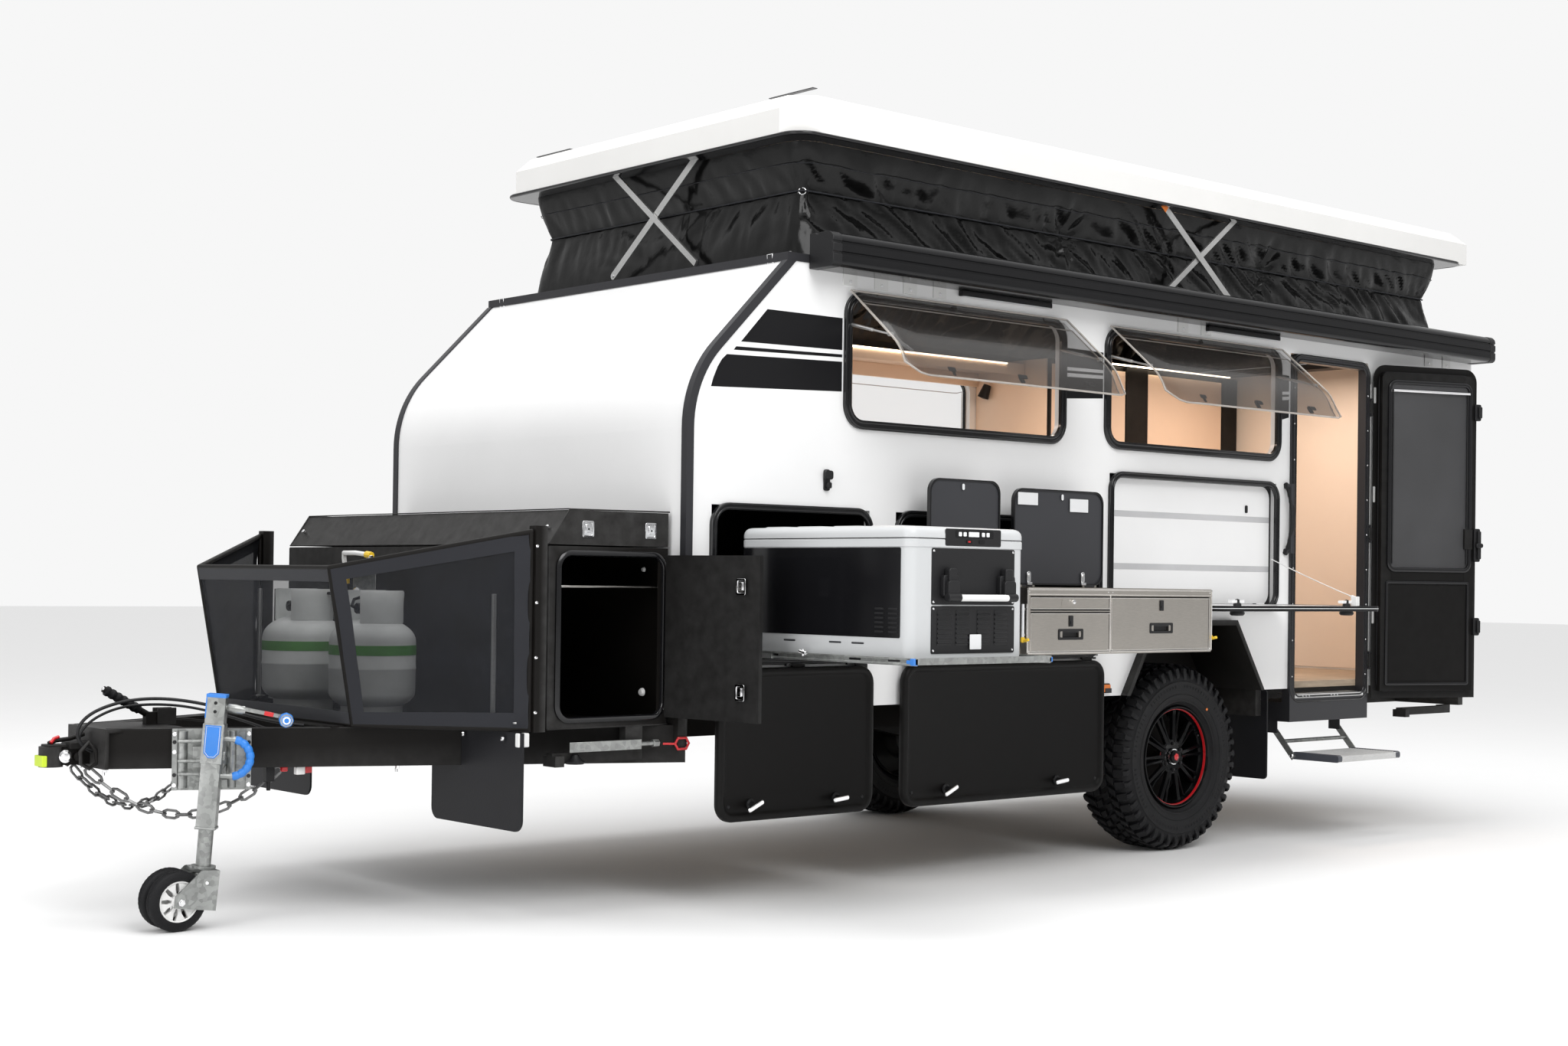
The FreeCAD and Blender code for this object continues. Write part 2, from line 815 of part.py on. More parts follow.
def hanging_chain(start, end, sag, links, wire):
    """Return the links of a chain that hangs between two points."""
    nodes = []
    for step in range(links + 1):
        share = step / links
        node = start + (end - start) * share
        node.z -= 4 * sag * share * (1 - share)
        nodes.append(node)
    solids = []
    sideways = (end - start).cross(Vector(0, 0, 1)).normalize()
    for index in range(links):
        run = nodes[index + 1] - nodes[index]
        inner_long = run.Length + CHAIN_PLAY
        along = run.normalize()
        flat = sideways if index % 2 else along.cross(sideways)
        middle = (nodes[index] + nodes[index + 1]) / 2
        solids.append(chain_link(middle, along, flat, inner_long, wire))
    return solids


CHAIN_PLAY = 0.6


def build_safety_chains():
    """Two chains that hang from the drawbar's tip back to its rails."""
    low = float(s.drawbar_top - s.drawbar_tall)
    links = []
    for side in (KERB, OFF):
        start = Vector(-float(s.drawbar_tip_x) - 34, side * 60, low - 5.1)
        end = Vector(-1180, side * float(s.drawbar_tip_y + 210), low - 8.9)
        links += hanging_chain(start, end, 150, 15, 9)
    chains = doc.addObject("Part::Feature", "Chains")
    chains.Shape = Part.makeCompound(links)
    finish("safety_chains", chains)


def wall_outline(low, high):
    """Return the side profile of the body between two heights."""
    return [(0, low), (0, s.nose_corner), (as_size(high) - s.nose_corner, high), (s.body_rear, high),
            (s.body_rear, low)]


def arch_outline():
    """Return the wheel cut-out in a side wall."""
    below = s.body_floor - 1
    return [(s.arch_front_low, below), (s.arch_front_mid, s.arch_front_mid_z), (s.arch_front_top, s.arch_top),
            (s.arch_rear_top, s.arch_top), (s.arch_rear_low, below)]


def window_holes():
    """Return the corners of the window openings, inside their frames."""
    inset = s.window_frame - 10
    return [((front + inset, s.window_low + inset), (rear - inset, s.window_high - inset))
            for front, rear in ((s.window_1_front, s.window_1_rear), (s.window_2_front, s.window_2_rear))]


def build_side_wall(side, label):
    """Composite side wall with its openings cut; only the kerb side has doors."""
    body = plate("XZ", wall_outline(s.body_floor, s.wall_top), side_start(side, HALF, s.wall), s.wall)
    round_edges(body, "y", s.nose_radius, lambda middle: abs(middle.z - float(s.nose_corner)) < 0.01)
    pierce(body, "XZ", arch_outline())
    for low, high in window_holes():
        pierce_round(body, "XZ", low, high, s.window_corner - s.window_frame + 10)
    if side == KERB:
        pierce(body, "XZ", rectangle(s.door_front, s.body_floor - 1, s.door_rear, s.door_high))
        for front, rear in hatch_spans():
            pierce(body, "XZ", rectangle(front + 8, s.hatch_low + 8, rear - 8, s.hatch_high - 8))
        pierce(body, "XZ", rectangle(s.table_frame_front + 8, s.table_frame_low + 8,
                                     s.table_frame_rear - 8, s.table_frame_high - 8))
    finish(label, body)


def hatch_spans():
    """Return the front and rear edges of the two lower openings."""
    return [(s.hatch_1_front, s.hatch_1_rear), (s.hatch_2_front, s.hatch_2_rear)]


def build_end_walls():
    """Curved front wall and flat rear wall, between the side walls."""
    front = nose_strip(0, -s.wall, s.body_floor, s.wall_top, -INNER, 2 * INNER)
    finish("front_wall", front)
    rear = box(s.body_rear - s.wall, -INNER, s.body_floor + s.wall, s.wall, 2 * INNER,
               s.wall_top - s.body_floor - s.wall)
    finish("rear_wall", rear)


def build_floor():
    """Sandwich floor panel with cut-outs for the wheel arches."""
    panel_box = box(s.wall, -INNER, s.body_floor, s.body_rear - s.wall, 2 * INNER, s.wall)
    wells = [box(s.arch_front_low - 20, side_start(side, HALF, s.arch_depth + 10), s.body_floor - 1,
                 s.arch_rear_low - s.arch_front_low + 40, s.arch_depth + 10, s.wall + 2)
             for side in (KERB, OFF)]
    finish("floor", cut(panel_box, *wells))


def build_top_frame():
    """Aluminium rail round the open top, and the trims down the nose corners."""
    front = s.wall_top - s.nose_corner - 6
    outer = box(front, -HALF - 4, s.wall_top, s.body_rear - front + 4, 2 * HALF + 8, s.rail_height)
    inner = box(front + s.rail_width, -HALF + s.rail_width, s.wall_top - 1,
                s.body_rear - front - 2 * s.rail_width, 2 * (HALF - s.rail_width), s.rail_height + 2)
    trims = [fuse(cut(outer, inner), *low_pin_brackets())]
    for side in (KERB, OFF):
        outside = nose_strip(s.trim_proud, -s.trim_width, s.body_floor, s.wall_top,
                             side_start(side, HALF + s.trim_proud, s.trim_proud), s.trim_proud)
        wrapped = nose_strip(s.trim_proud, 0, s.body_floor, s.wall_top,
                             side_start(side, HALF, s.trim_width), s.trim_width)
        trims.append(fuse(outside, wrapped))
        lamp_start = side_start(side, HALF + s.frame_proud, s.frame_proud)
        trims.append(box(s.arch_front_low - 10 * s.frame_proud, lamp_start, s.body_floor + s.frame_proud,
                         3 * s.frame_proud, s.frame_proud, 1.5 * s.frame_proud))
    trims.append(grab_handle())
    finish("body_trims", group(*trims))


def grab_handle():
    """Return the bar beside the door, on two feet."""
    proud = 3 * s.frame_proud
    bar = rod("z", s.grab_x, -HALF - proud, s.grab_low, s.grab_radius, s.grab_high - s.grab_low)
    feet = [rod("y", s.grab_x, -HALF - proud, level, s.grab_radius, proud)
            for level in (s.grab_low + s.grab_radius, s.grab_high - s.grab_radius)]
    return fuse(bar, *feet)


def arch_path(grow, low):
    """Return the wheel arch's outline moved outward, open at its foot."""
    return [(s.arch_front_low - grow, low), (s.arch_front_mid - grow, s.arch_front_mid_z),
            (s.arch_front_top - as_size(grow) / 2, s.arch_top + grow),
            (s.arch_rear_top + as_size(grow) / 2, s.arch_top + grow), (s.arch_rear_low + grow, low)]


def build_wheel_arches():
    """Folded wheel boxes with an outer flare along the wall's cut-out."""
    arches = []
    for side in (KERB, OFF):
        start = side_start(side, HALF + s.arch_lip, s.arch_depth + s.arch_lip)
        deep = s.arch_depth + s.arch_lip
        low = s.body_floor - 0
        shell = plate("XZ", arch_path(-1, low), start, deep)
        core_start = start + (s.arch_sheet if side == OFF else -1)
        core = plate("XZ", arch_path(-1 - s.arch_sheet, low - 1), core_start, deep - s.arch_sheet + 1)
        flare = plate("XZ", arch_path(s.arch_lip / 2, low), side_start(side, HALF + s.arch_lip, s.arch_lip),
                      s.arch_lip)
        flare_core = plate("XZ", arch_path(-2, low - 1),
                           side_start(side, HALF + s.arch_lip + 1, s.arch_lip + 2), s.arch_lip + 2)
        arches.append(fuse(cut(shell, core), cut(flare, flare_core)))
    finish("wheel_arches", group(*arches))


def build_windows():
    """Window frames on both sides and their hinged, raised panes."""
    frames = []
    panes = []
    spans = ((s.window_1_front, s.window_1_rear), (s.window_2_front, s.window_2_rear))
    for side in (KERB, OFF):
        for front, rear in spans:
            frames.append(ring("XZ", (front, s.window_low), (rear, s.window_high), s.window_frame,
                               side_start(side, HALF + s.frame_proud, s.frame_proud), s.frame_proud,
                               s.window_corner))
            panes.append(hung_pane(side, front, rear))
    finish("window_frames", group(*frames))
    finish("window_panes", group(*panes))


def hung_pane(side, front, rear):
    """Double-skinned acrylic pane, hung from the top of its frame."""
    long = rear - front - 2 * s.pane_inset
    tall = s.window_high - s.window_low - 2 * s.pane_inset
    drop = s.pane_gap
    pane = panel("XZ", (0, -tall - drop), (long, -drop), side_start(side, s.pane_thick, s.pane_thick),
                 s.pane_thick, s.window_corner - s.pane_inset)
    strip = box(0, side_start(side, 8, 8), -drop - 1, long, 8, drop + 1)
    pane = fuse(pane, strip)
    opened = s.pane_open if side == KERB else as_size(0)
    turn = Rotation(Vector(1, 0, 0), side * float(opened))
    return tilt(pane, turn, front + s.pane_inset, side * (HALF + s.frame_proud + s.slide_play),
                s.window_high - s.pane_inset + drop)


DOOR_BARRELS = [as_size(start) for start in (150, 750, 1350)]


def build_door():
    """Entry door frame with its sill box and step brackets, and the open leaf."""
    depth = s.wall + s.frame_proud
    frame = plate("XZ", rectangle(s.door_front, s.door_low, s.door_rear, s.door_high),
                  -HALF - s.frame_proud, depth)
    round_edges(frame, "y", s.door_corner, lambda middle: middle.z > float(s.door_high) - 1)
    pierce(frame, "XZ", rectangle(s.door_front + s.door_frame, s.door_low + s.door_frame,
                                  s.door_rear - s.door_frame, s.door_high - s.door_frame))
    sill = box(s.door_front, -HALF - s.frame_proud, s.sill_low, s.door_rear - s.door_front,
               s.step_pivot_y / 3, s.door_low - s.sill_low)
    brackets = []
    for front in (s.step_front, s.step_rear - s.arm_thick * 4):
        brackets.append(box(front, -s.step_pivot_y - 30, s.step_pivot_z - 26, s.arm_thick,
                            60, s.sill_low - s.step_pivot_z + 26))
        brackets.append(rod("x", front - 1, -s.step_pivot_y, s.step_pivot_z, 8, s.arm_thick * 4))
    hinge_y = -(HALF + s.frame_proud + s.leaf_gap + s.door_flange)
    hinge_x = s.door_rear - s.door_gap
    depth = s.leaf_gap + s.door_flange + 1
    starts = [s.door_low + s.door_gap + start for start in DOOR_BARRELS]
    lugs = hinge_lugs("z", starts, (hinge_x, hinge_y), ((-LUG, -LUG), (LUG, depth)))
    finish("door_frame", fuse(frame, sill, *brackets, *lugs))
    build_door_leaf(hinge_x, hinge_y)


def build_door_leaf(hinge_x, hinge_y):
    """Door leaf: flange over the frame, slab in its opening, window and lower recess."""
    long = s.door_rear - s.door_front - 2 * s.door_gap
    tall = s.door_high - s.door_low - 2 * s.door_gap
    inset = s.door_frame
    flange = plate("XZ", rectangle(-long, 0, -s.edge_gap, tall), 0, s.door_flange)
    slab = plate("XZ", rectangle(-long + inset, inset, -inset, tall - inset), s.door_flange - 1, s.door_thick)
    for body, shift in ((flange, 0), (slab, s.door_frame)):
        high = float(tall - shift) - 1
        round_edges(body, "y", s.door_corner - s.door_gap - shift, lambda middle, high=high: middle.z > high)
        pierce_round(body, "XZ", (-long + 90, tall * 0.52), (-90, tall - 90), 30)
    recess = box(-long + 90, s.door_thick - 4, 90, long - 180, 12, tall * 0.52 - 170)
    handle_z = s.door_handle_z - s.door_low
    lock = box(-long + inset + 14, s.door_thick - 1, handle_z, 46, 18, 96)
    pull = box(-long + 16, -22, handle_z, 60, 23, 120)
    leaf = hinged(fuse(flange, cut(slab, recess), lock, pull), "z", DOOR_BARRELS, (-s.edge_gap - 1, 0), (0, 5))
    finish("entry_door", leaf, hinge_x, hinge_y, s.door_low + s.door_gap,
           Rotation(Vector(0, 0, 1), float(s.door_open)))


def build_hatches():
    """Frames of the three side hatches, and the two leaves that hang down."""
    hinge_y = -HALF - s.frame_proud - s.leaf_gap
    frames = []
    for front, rear in hatch_spans():
        starts = [front + 60, (front + rear) / 2 - 30, rear - 120]
        lugs = hinge_lugs("x", starts, (hinge_y, s.hatch_low), ((-LUG, -LUG), (s.leaf_gap + 1, LUG)))
        frames.append(fuse(ring("XZ", (front, s.hatch_low), (rear, s.hatch_high), s.hatch_frame,
                                -HALF - s.frame_proud, s.frame_proud, s.hatch_corner), *lugs))
    front, rear = s.table_frame_front, s.table_frame_rear
    starts = [front + start for start in table_barrels()]
    lugs = hinge_lugs("x", starts, (hinge_y, s.table_z), ((-LUG, -14), (s.leaf_gap + 1, LUG)))
    frames.append(fuse(ring("XZ", (front, s.table_frame_low), (rear, s.table_frame_high), s.hatch_frame,
                            -HALF - s.frame_proud, s.frame_proud, s.hatch_corner), *lugs))
    frames.append(box(front + 8, -INNER, s.table_frame_low + 8, rear - front - 16, 6,
                      s.table_frame_high - s.table_frame_low - 16))
    finish("hatch_frames", group(*frames))
    for (front, rear), name in zip(hatch_spans(), ("fridge_hatch", "kitchen_hatch")):
        long = rear - front - 2 * s.hatch_edge
        tall = s.hatch_high - s.hatch_low - 2 * s.hatch_edge
        leaf = panel("XZ", (0, -tall - s.hatch_hang), (long, -s.hatch_hang), -s.hatch_thick, s.hatch_thick,
                     s.hatch_corner - s.hatch_edge)
        handles = []
        for share in (0.2, 0.75):
            handles.append(rod("y", long * share, -s.hatch_thick - 26, -tall + 60, 7, 27))
            handles.append(box(long * share - 45, -s.hatch_thick - 40, -tall + 50, 90, 16, 20))
        starts = [start - front - s.hatch_edge for start in (front + 60, (front + rear) / 2 - 30, rear - 120)]
        hung = hinged(fuse(leaf, *handles), "x", starts, (-5, -s.hatch_hang - 1), (0, 0))
        finish(name, hung, front + s.hatch_edge, hinge_y, s.hatch_low)


def table_barrels():
    """Return the starts of the table's hinge barrels, from the front of its frame."""
    long = s.table_frame_rear - s.table_frame_front
    return [as_size(120), long / 2 - 30, long - 180]


def build_table():
    """Hatch leaf that folds down level as a table, on its lower hinge."""
    long = s.table_frame_rear - s.table_frame_front - 2 * s.table_gap
    deep = s.table_frame_high - s.table_z - s.table_gap
    top = panel("XY", (0, -deep), (long, -s.table_gap), -s.table_thick, s.table_thick, s.table_corner)
    latches = []
    for share in (0.17, 0.83):
        latches.append(rod("z", long * share, -deep + 60, -1, 7, 14))
        latches.append(box(long * share - 40, -deep + 50, 12, 80, 20, 12))
    starts = [start - s.table_gap for start in table_barrels()]
    hung = hinged(fuse(top, *latches), "x", starts, (-s.table_gap - 1, -5), (0, 0))
    finish("table", hung, s.table_frame_front + s.table_gap,
           -HALF - s.frame_proud - s.leaf_gap, s.table_z)


def build_storage():
    """Compartments under the bed deck, the bench and the slide's fixed rails."""
    deep = 2 * INNER
    pieces = [
        box(s.wall, -INNER, s.deck_z, s.deck_rear - s.wall, deep, s.deck_thick),
        box(s.wall, -INNER, s.store_floor - s.store_thick, s.deck_rear - s.wall, deep, s.store_thick),
    ]
    wall_tall = s.deck_z - s.body_floor - s.wall
    for front in (s.wall + 20, (s.hatch_1_rear + s.hatch_2_front) / 2, s.deck_rear - s.store_thick):
        pieces.append(box(front, -INNER, s.body_floor + s.wall, s.store_thick, deep, wall_tall))
    member = s.slide_member
    for front in (s.slide_front - member, s.slide_rear):
        pieces.append(box(front, -INNER - 25, s.store_floor, member, s.slide_long,
                          s.fridge_low - s.store_floor))
    for front in (s.kitchen_front - 2.5 * member, s.kitchen_rear + 1.5 * member):
        pieces.append(box(front, -INNER - 25, s.store_floor, member, s.slide_long,
                          s.kitchen_low + s.kitchen_rail * 2 - s.store_floor))
    finish("storage", fuse(*pieces))


def build_middle_rails():
    """Telescoping middle members that carry each slide past the wall."""
    member, play = s.slide_member, s.slide_play
    fridge = [box(front, -s.fridge_face_y + s.slide_long - 260, s.slide_rail_low, member - 2 * play,
                  s.slide_middle, s.fridge_low - s.slide_rail_low)
              for front in (s.slide_front + play, s.slide_rear - member + play)]
    finish("fridge_rails", group(*fridge))
    kitchen = [box(front, -s.kitchen_back_y - 200, s.kitchen_low, member - 2 * play,
                   s.kitchen_middle, s.kitchen_rail * 2)
               for front in (s.kitchen_front - 1.5 * member + play, s.kitchen_rear + member / 2 + play)]
    finish("kitchen_rails", group(*kitchen))


def build_interior():
    """Bench run behind the kerb side rear window, with its sink tap."""
    bench_top = 1620
    bench = box(s.deck_rear + 5, OFF * 380, s.body_floor + s.wall, 1200, INNER - 380,
                bench_top - s.body_floor - s.wall)
    well = box(s.arch_front_low - 30, HALF - s.arch_depth - 10, s.body_floor, s.arch_rear_low - s.arch_front_low + 60,
               s.arch_depth, s.arch_top + 12 - s.body_floor)
    finish("interior_bench", cut(bench, well))


def build_fridge():
    """Chest fridge with its lid, on a long drawer slide."""
    member = s.slide_member
    sides = [box(front, -s.slide_face_y, s.slide_rail_low, member, s.slide_long, s.fridge_low - s.slide_rail_low)
             for front in (s.slide_front + member, s.slide_rear - 2 * member)]
    tray = box(s.slide_front + member, -s.slide_face_y, s.slide_low, s.slide_rear - s.slide_front - 2 * member,
               s.slide_long, s.fridge_low - s.slide_low)
    finish("fridge_slide", fuse(tray, *sides))
    wide = s.fridge_rear - s.fridge_front
    tub = cut(box(s.fridge_front, -s.fridge_face_y, s.fridge_low, wide, s.fridge_long, s.fridge_seam - s.fridge_low),
              box(s.fridge_front + s.fridge_wall, -s.fridge_face_y + s.fridge_wall, s.fridge_low + s.fridge_wall,
                  wide - 2 * s.fridge_wall, s.fridge_long - 2 * s.fridge_wall, s.fridge_seam))
    grip = fuse(rod("x", s.fridge_front + 130, -s.fridge_face_y - 42, 1190, 12, wide - 260),
                box(s.fridge_front + 130, -s.fridge_face_y - 50, 1165, 30, 51, 50),
                box(s.fridge_rear - 160, -s.fridge_face_y - 50, 1165, 30, 51, 50))
    hinge = (s.fridge_rear + 7, s.fridge_seam + s.leaf_gap)
    starts = [-s.fridge_face_y + start for start in (130, s.fridge_long - 190)]
    lugs = hinge_lugs("y", starts, hinge, ((-8, -28), (LUG, -8)), ((-LUG, -28), (LUG, LUG)))
    finish("fridge_tub", fuse(tub, grip, *lugs))
    lid = panel("XY", (s.fridge_front, -s.fridge_face_y), (s.fridge_rear, -s.fridge_face_y + s.fridge_long),
                hinge[1], s.fridge_high - hinge[1], 40)
    finish("fridge_lid", hinged(lid, "y", starts, (-8, 0), (0, 5), hinge))


def build_kitchen():
    """Stainless slide-out kitchen: carcass, three drawers and two raised lids."""
    sheet_thick = s.kitchen_sheet
    long = s.kitchen_rear - s.kitchen_front
    deep = s.kitchen_face_y - s.kitchen_back_y
    tall = s.kitchen_high - s.kitchen_low
    shell = box(s.kitchen_front, -s.kitchen_face_y, s.kitchen_low, long, deep, tall)
    bays = []
    split = s.kitchen_split
    cells = {
        "drawer_top": (s.kitchen_front + 12, split - 4, s.drawer_seam + 2, s.kitchen_high - 30),
        "drawer_low": (s.kitchen_front + 12, split - 4, s.kitchen_low + 6, s.drawer_seam - 2),
        "drawer_wide": (split + 4, s.kitchen_rear - 12, s.kitchen_low + 6, s.kitchen_high - 30),
    }
    for front, rear, low, high in cells.values():
        bays.append(box(front, -s.kitchen_face_y - 1, low, rear - front, s.drawer_long + 12, high - low))
    cover = s.kitchen_high - 22
    wells = [box(s.kitchen_front + 30, -s.kitchen_face_y + 30, cover, 400, deep - 70, 30),
             box(split + 30, -s.kitchen_face_y + 30, cover, 520, deep - 70, 30)]
    half_member = s.slide_member / 2
    rails = [box(front, -s.kitchen_face_y + 40, s.kitchen_low, half_member, deep - 40, s.kitchen_rail * 2)
             for front in (s.kitchen_front - half_member, s.kitchen_rear)]
    hinge = (-s.kitchen_back_y - 30, s.kitchen_high + s.leaf_gap)
    lids = (("kitchen_lid_small", s.lid_1_front, s.lid_1_rear, s.lid_1_tall),
            ("kitchen_lid_large", s.lid_2_front, s.lid_2_rear, s.lid_2_tall))
    lugs = []
    for name, front, rear, lid_tall in lids:
        starts = [as_size(50), rear - front - 110]
        lugs += hinge_lugs("x", [front + start for start in starts], hinge, ((-LUG, -7), (LUG, LUG)))
        lid = panel("XZ", (0, 8), (rear - front, lid_tall), 0, s.lid_thick, s.lid_corner)
        finish(name, hinged(lid, "x", starts, (0, 0), (5, 9)), front, *hinge)
    finish("kitchen_unit", fuse(cut(shell, *bays, *wells), *rails, *lugs))
    for name, (front, rear, low, high) in cells.items():
        build_drawer(name, front, rear, low, high, sheet_thick)


def build_drawer(name, front, rear, low, high, thick):
    """Open-topped drawer whose front lies flush in its bay."""
    gap = s.drawer_gap
    wide = rear - front - 2 * gap
    tall = high - low - 2 * gap
    tray = cut(box(front + gap, -s.kitchen_face_y, low + gap, wide, s.drawer_long, tall),
               box(front + gap + thick, -s.kitchen_face_y + 18, low + gap + thick, wide - 2 * thick,
                   s.drawer_long - 18 - thick, tall))
    pull = box((front + rear) / 2 - 45, -s.kitchen_face_y - 1, low + tall * 0.35, 90, 13, 26)
    runners = [box(x, -s.kitchen_face_y + 40, low + tall / 2, gap - s.slide_play + 1, s.drawer_long - 60, 12)
               for x in (front + s.slide_play, rear - gap - 1)]
    finish(name, fuse(cut(tray, pull), *runners))


def build_front_box():
    """Toolbox across the drawbar: tub, sloped lid and kerb side door."""
    half = s.box_half
    skin = s.box_sheet
    door_front, door_rear = s.box_door_front - 10, s.box_door_rear + 24
    tub = cut(box(-s.box_front, -half, s.drawbar_top, s.box_front - s.box_rear, 2 * half,
                  s.box_lid_low - s.drawbar_top),
              box(-s.box_front + skin, -half + skin, s.drawbar_top + skin,
                  s.box_front - s.box_rear - 2 * skin, 2 * (half - skin), s.box_high),
              box(-door_front, -half - 1, s.box_door_low + 10, door_front - door_rear,
                  skin + 2, s.box_door_high - s.box_door_low - 20))
    shelf = box(-s.box_front + skin - 1, -half + 20, 1110, s.box_front - s.box_rear - 2 * skin + 2, 500, 4)
    lid_hinge = (-s.box_hinge_x, s.box_high)
    lid_starts = [as_size(start) for start in (-600, -30, 540)]
    lugs = hinge_lugs("y", lid_starts, lid_hinge, ((-7, -150), (LUG, -128)), ((-LUG, -150), (LUG, LUG)))
    door_hinge = (-s.box_door_rear, -half - s.leaf_gap - s.box_door_thick)
    door_starts = [s.box_door_low + start for start in (70, 430)]
    lugs += hinge_lugs("z", door_starts, door_hinge, ((-LUG, -LUG), (LUG, s.leaf_gap + s.box_door_thick + 1)))
    finish("front_box", fuse(tub, shelf, *lugs))
    seam = s.box_lid_low + s.box_lid_gap
    outer = plate("XZ", [(-s.box_front, seam), (-s.box_lid_front, s.box_high),
                         (-s.box_rear, s.box_high), (-s.box_rear, seam)], -half, 2 * half)
    inner = plate("XZ", [(-s.box_front + skin, seam - 1), (-s.box_lid_front + skin / 2, s.box_high - skin),
                         (-s.box_rear - skin, s.box_high - skin), (-s.box_rear - skin, seam - 1)],
                  -half + skin, 2 * (half - skin))
    finish("box_lid", hinged(cut(outer, inner), "y", lid_starts, (-7, -5), (0, 0), lid_hinge))
    long = s.box_door_front - s.box_door_rear
    tall = s.box_door_high - s.box_door_low
    leaf = plate("XZ", rectangle(-long, 0, -s.edge_gap, tall), 0, s.box_door_thick)
    starts = [start - s.box_door_low for start in door_starts]
    finish("box_door", hinged(leaf, "z", starts, (-s.edge_gap - 1, 0), (0, 5)), *door_hinge, s.box_door_low,
           Rotation(Vector(0, 0, 1), float(s.box_door_open)))


def tube_between(first, last, radius):
    """Return a round tube as a solid cylinder between two points."""
    run = last - first
    return Part.makeCylinder(radius, run.Length, first, run)


def guard_corners():
    """Return the stone guard's lower and upper corners from kerb to off side."""
    plan = [(-s.guard_rear_x, -s.guard_rear_half, s.guard_rear_z, 0), (-s.guard_front_top, -s.guard_front_half,
            s.guard_front_z, 1), (-s.guard_front_top, s.guard_front_half, s.guard_front_z, 1),
            (-s.guard_rear_x, s.guard_rear_half, s.guard_rear_z, 0)]
    back = s.guard_front_top - s.guard_front_low
    tops = [Vector(float(x), float(y), float(z)) for x, y, z, _ in plan]
    lows = [Vector(float(x) + float(back) * front, float(y), float(s.guard_low_z)) for x, y, _, front in plan]
    return lows, tops


def build_stone_guard():
    """Tubular frame with mesh stretched over it, and the rear posts."""
    lows, tops = guard_corners()
    radius = float(s.guard_tube)
    tubes = []
    for corners in (lows, tops):
        tubes += [tube_between(corners[k], corners[k + 1], radius) for k in range(3)]
    tubes += [tube_between(lows[k], tops[k], radius) for k in range(4)]
    tubes += [Part.makeSphere(radius, corner) for corner in lows + tops]
    base = float(s.drawbar_top)
    for side in (KERB, OFF):
        post_y = side * float(s.guard_rear_half) - 20
        tubes.append(Part.makeBox(45, 40, float(s.guard_rear_z) - base + 20,
                                  Vector(-float(s.guard_rear_x) + radius / 2, post_y, base)))
        tubes.append(Part.makeBox(40, float(s.guard_rear_half) - 400, 30,
                                  Vector(-float(s.guard_rear_x) + radius / 2,
                                         -float(s.guard_rear_half) if side == KERB else 400, base)))
    floor_plate = Part.makeBox(460, 880, float(s.guard_floor), Vector(-1060, -440, base))
    frame = doc.addObject("Part::Feature", "GuardFrame")
    frame.Shape = tubes[0].multiFuse(tubes[1:] + [floor_plate]).removeSplitter()
    finish("guard_frame", frame)
    sheets = []
    for k in range(3):
        quad = [lows[k], lows[k + 1], tops[k + 1], tops[k]]
        normal = (quad[1] - quad[0]).cross(quad[3] - quad[0]).normalize()
        away = Vector(-1, 0, 0)
        normal = normal if normal.dot(away) > 0 else normal * -1
        inset = [corner + normal * (radius + 0.4) for corner in quad]
        halves = [Part.Face(Part.makePolygon([inset[0], inset[j], inset[j + 1], inset[0]])) for j in (1, 2)]
        prisms = [half.extrude(normal * float(s.mesh_thick)) for half in halves]
        sheets.append(prisms[0].fuse(prisms[1]))
    mesh = doc.addObject("Part::Feature", "GuardMesh")
    mesh.Shape = Part.makeCompound(sheets)
    finish("guard_mesh", mesh)


def build_stabilisers():
    """Corner legs folded up flat under the chassis, each on its bracket."""
    legs = []
    width = s.leg_size
    spots = ((-s.leg_front_x, s.leg_front_x - s.leg_front_gap, s.drawbar_top),
             (s.leg_rear_x, s.body_rear - s.beam_wide - s.leg_rear_x, s.body_floor - s.chassis_tall))
    for front, long, hung_from in spots:
        for side in (KERB, OFF):
            start = side_start(side, s.leg_y, width)
            low = s.leg_low
            bar = box(front, start, low, long, width, width)
            bracket = box(front + long - 2 * width, start, low + width - 1, 2 * width, width,
                          hung_from - low - width + 1)
            foot = box(front, start - width / 2, low - width / 4, width, 2 * width, width)
            legs.append(fuse(bar, bracket, foot))
    finish("stabiliser_legs", group(*legs))


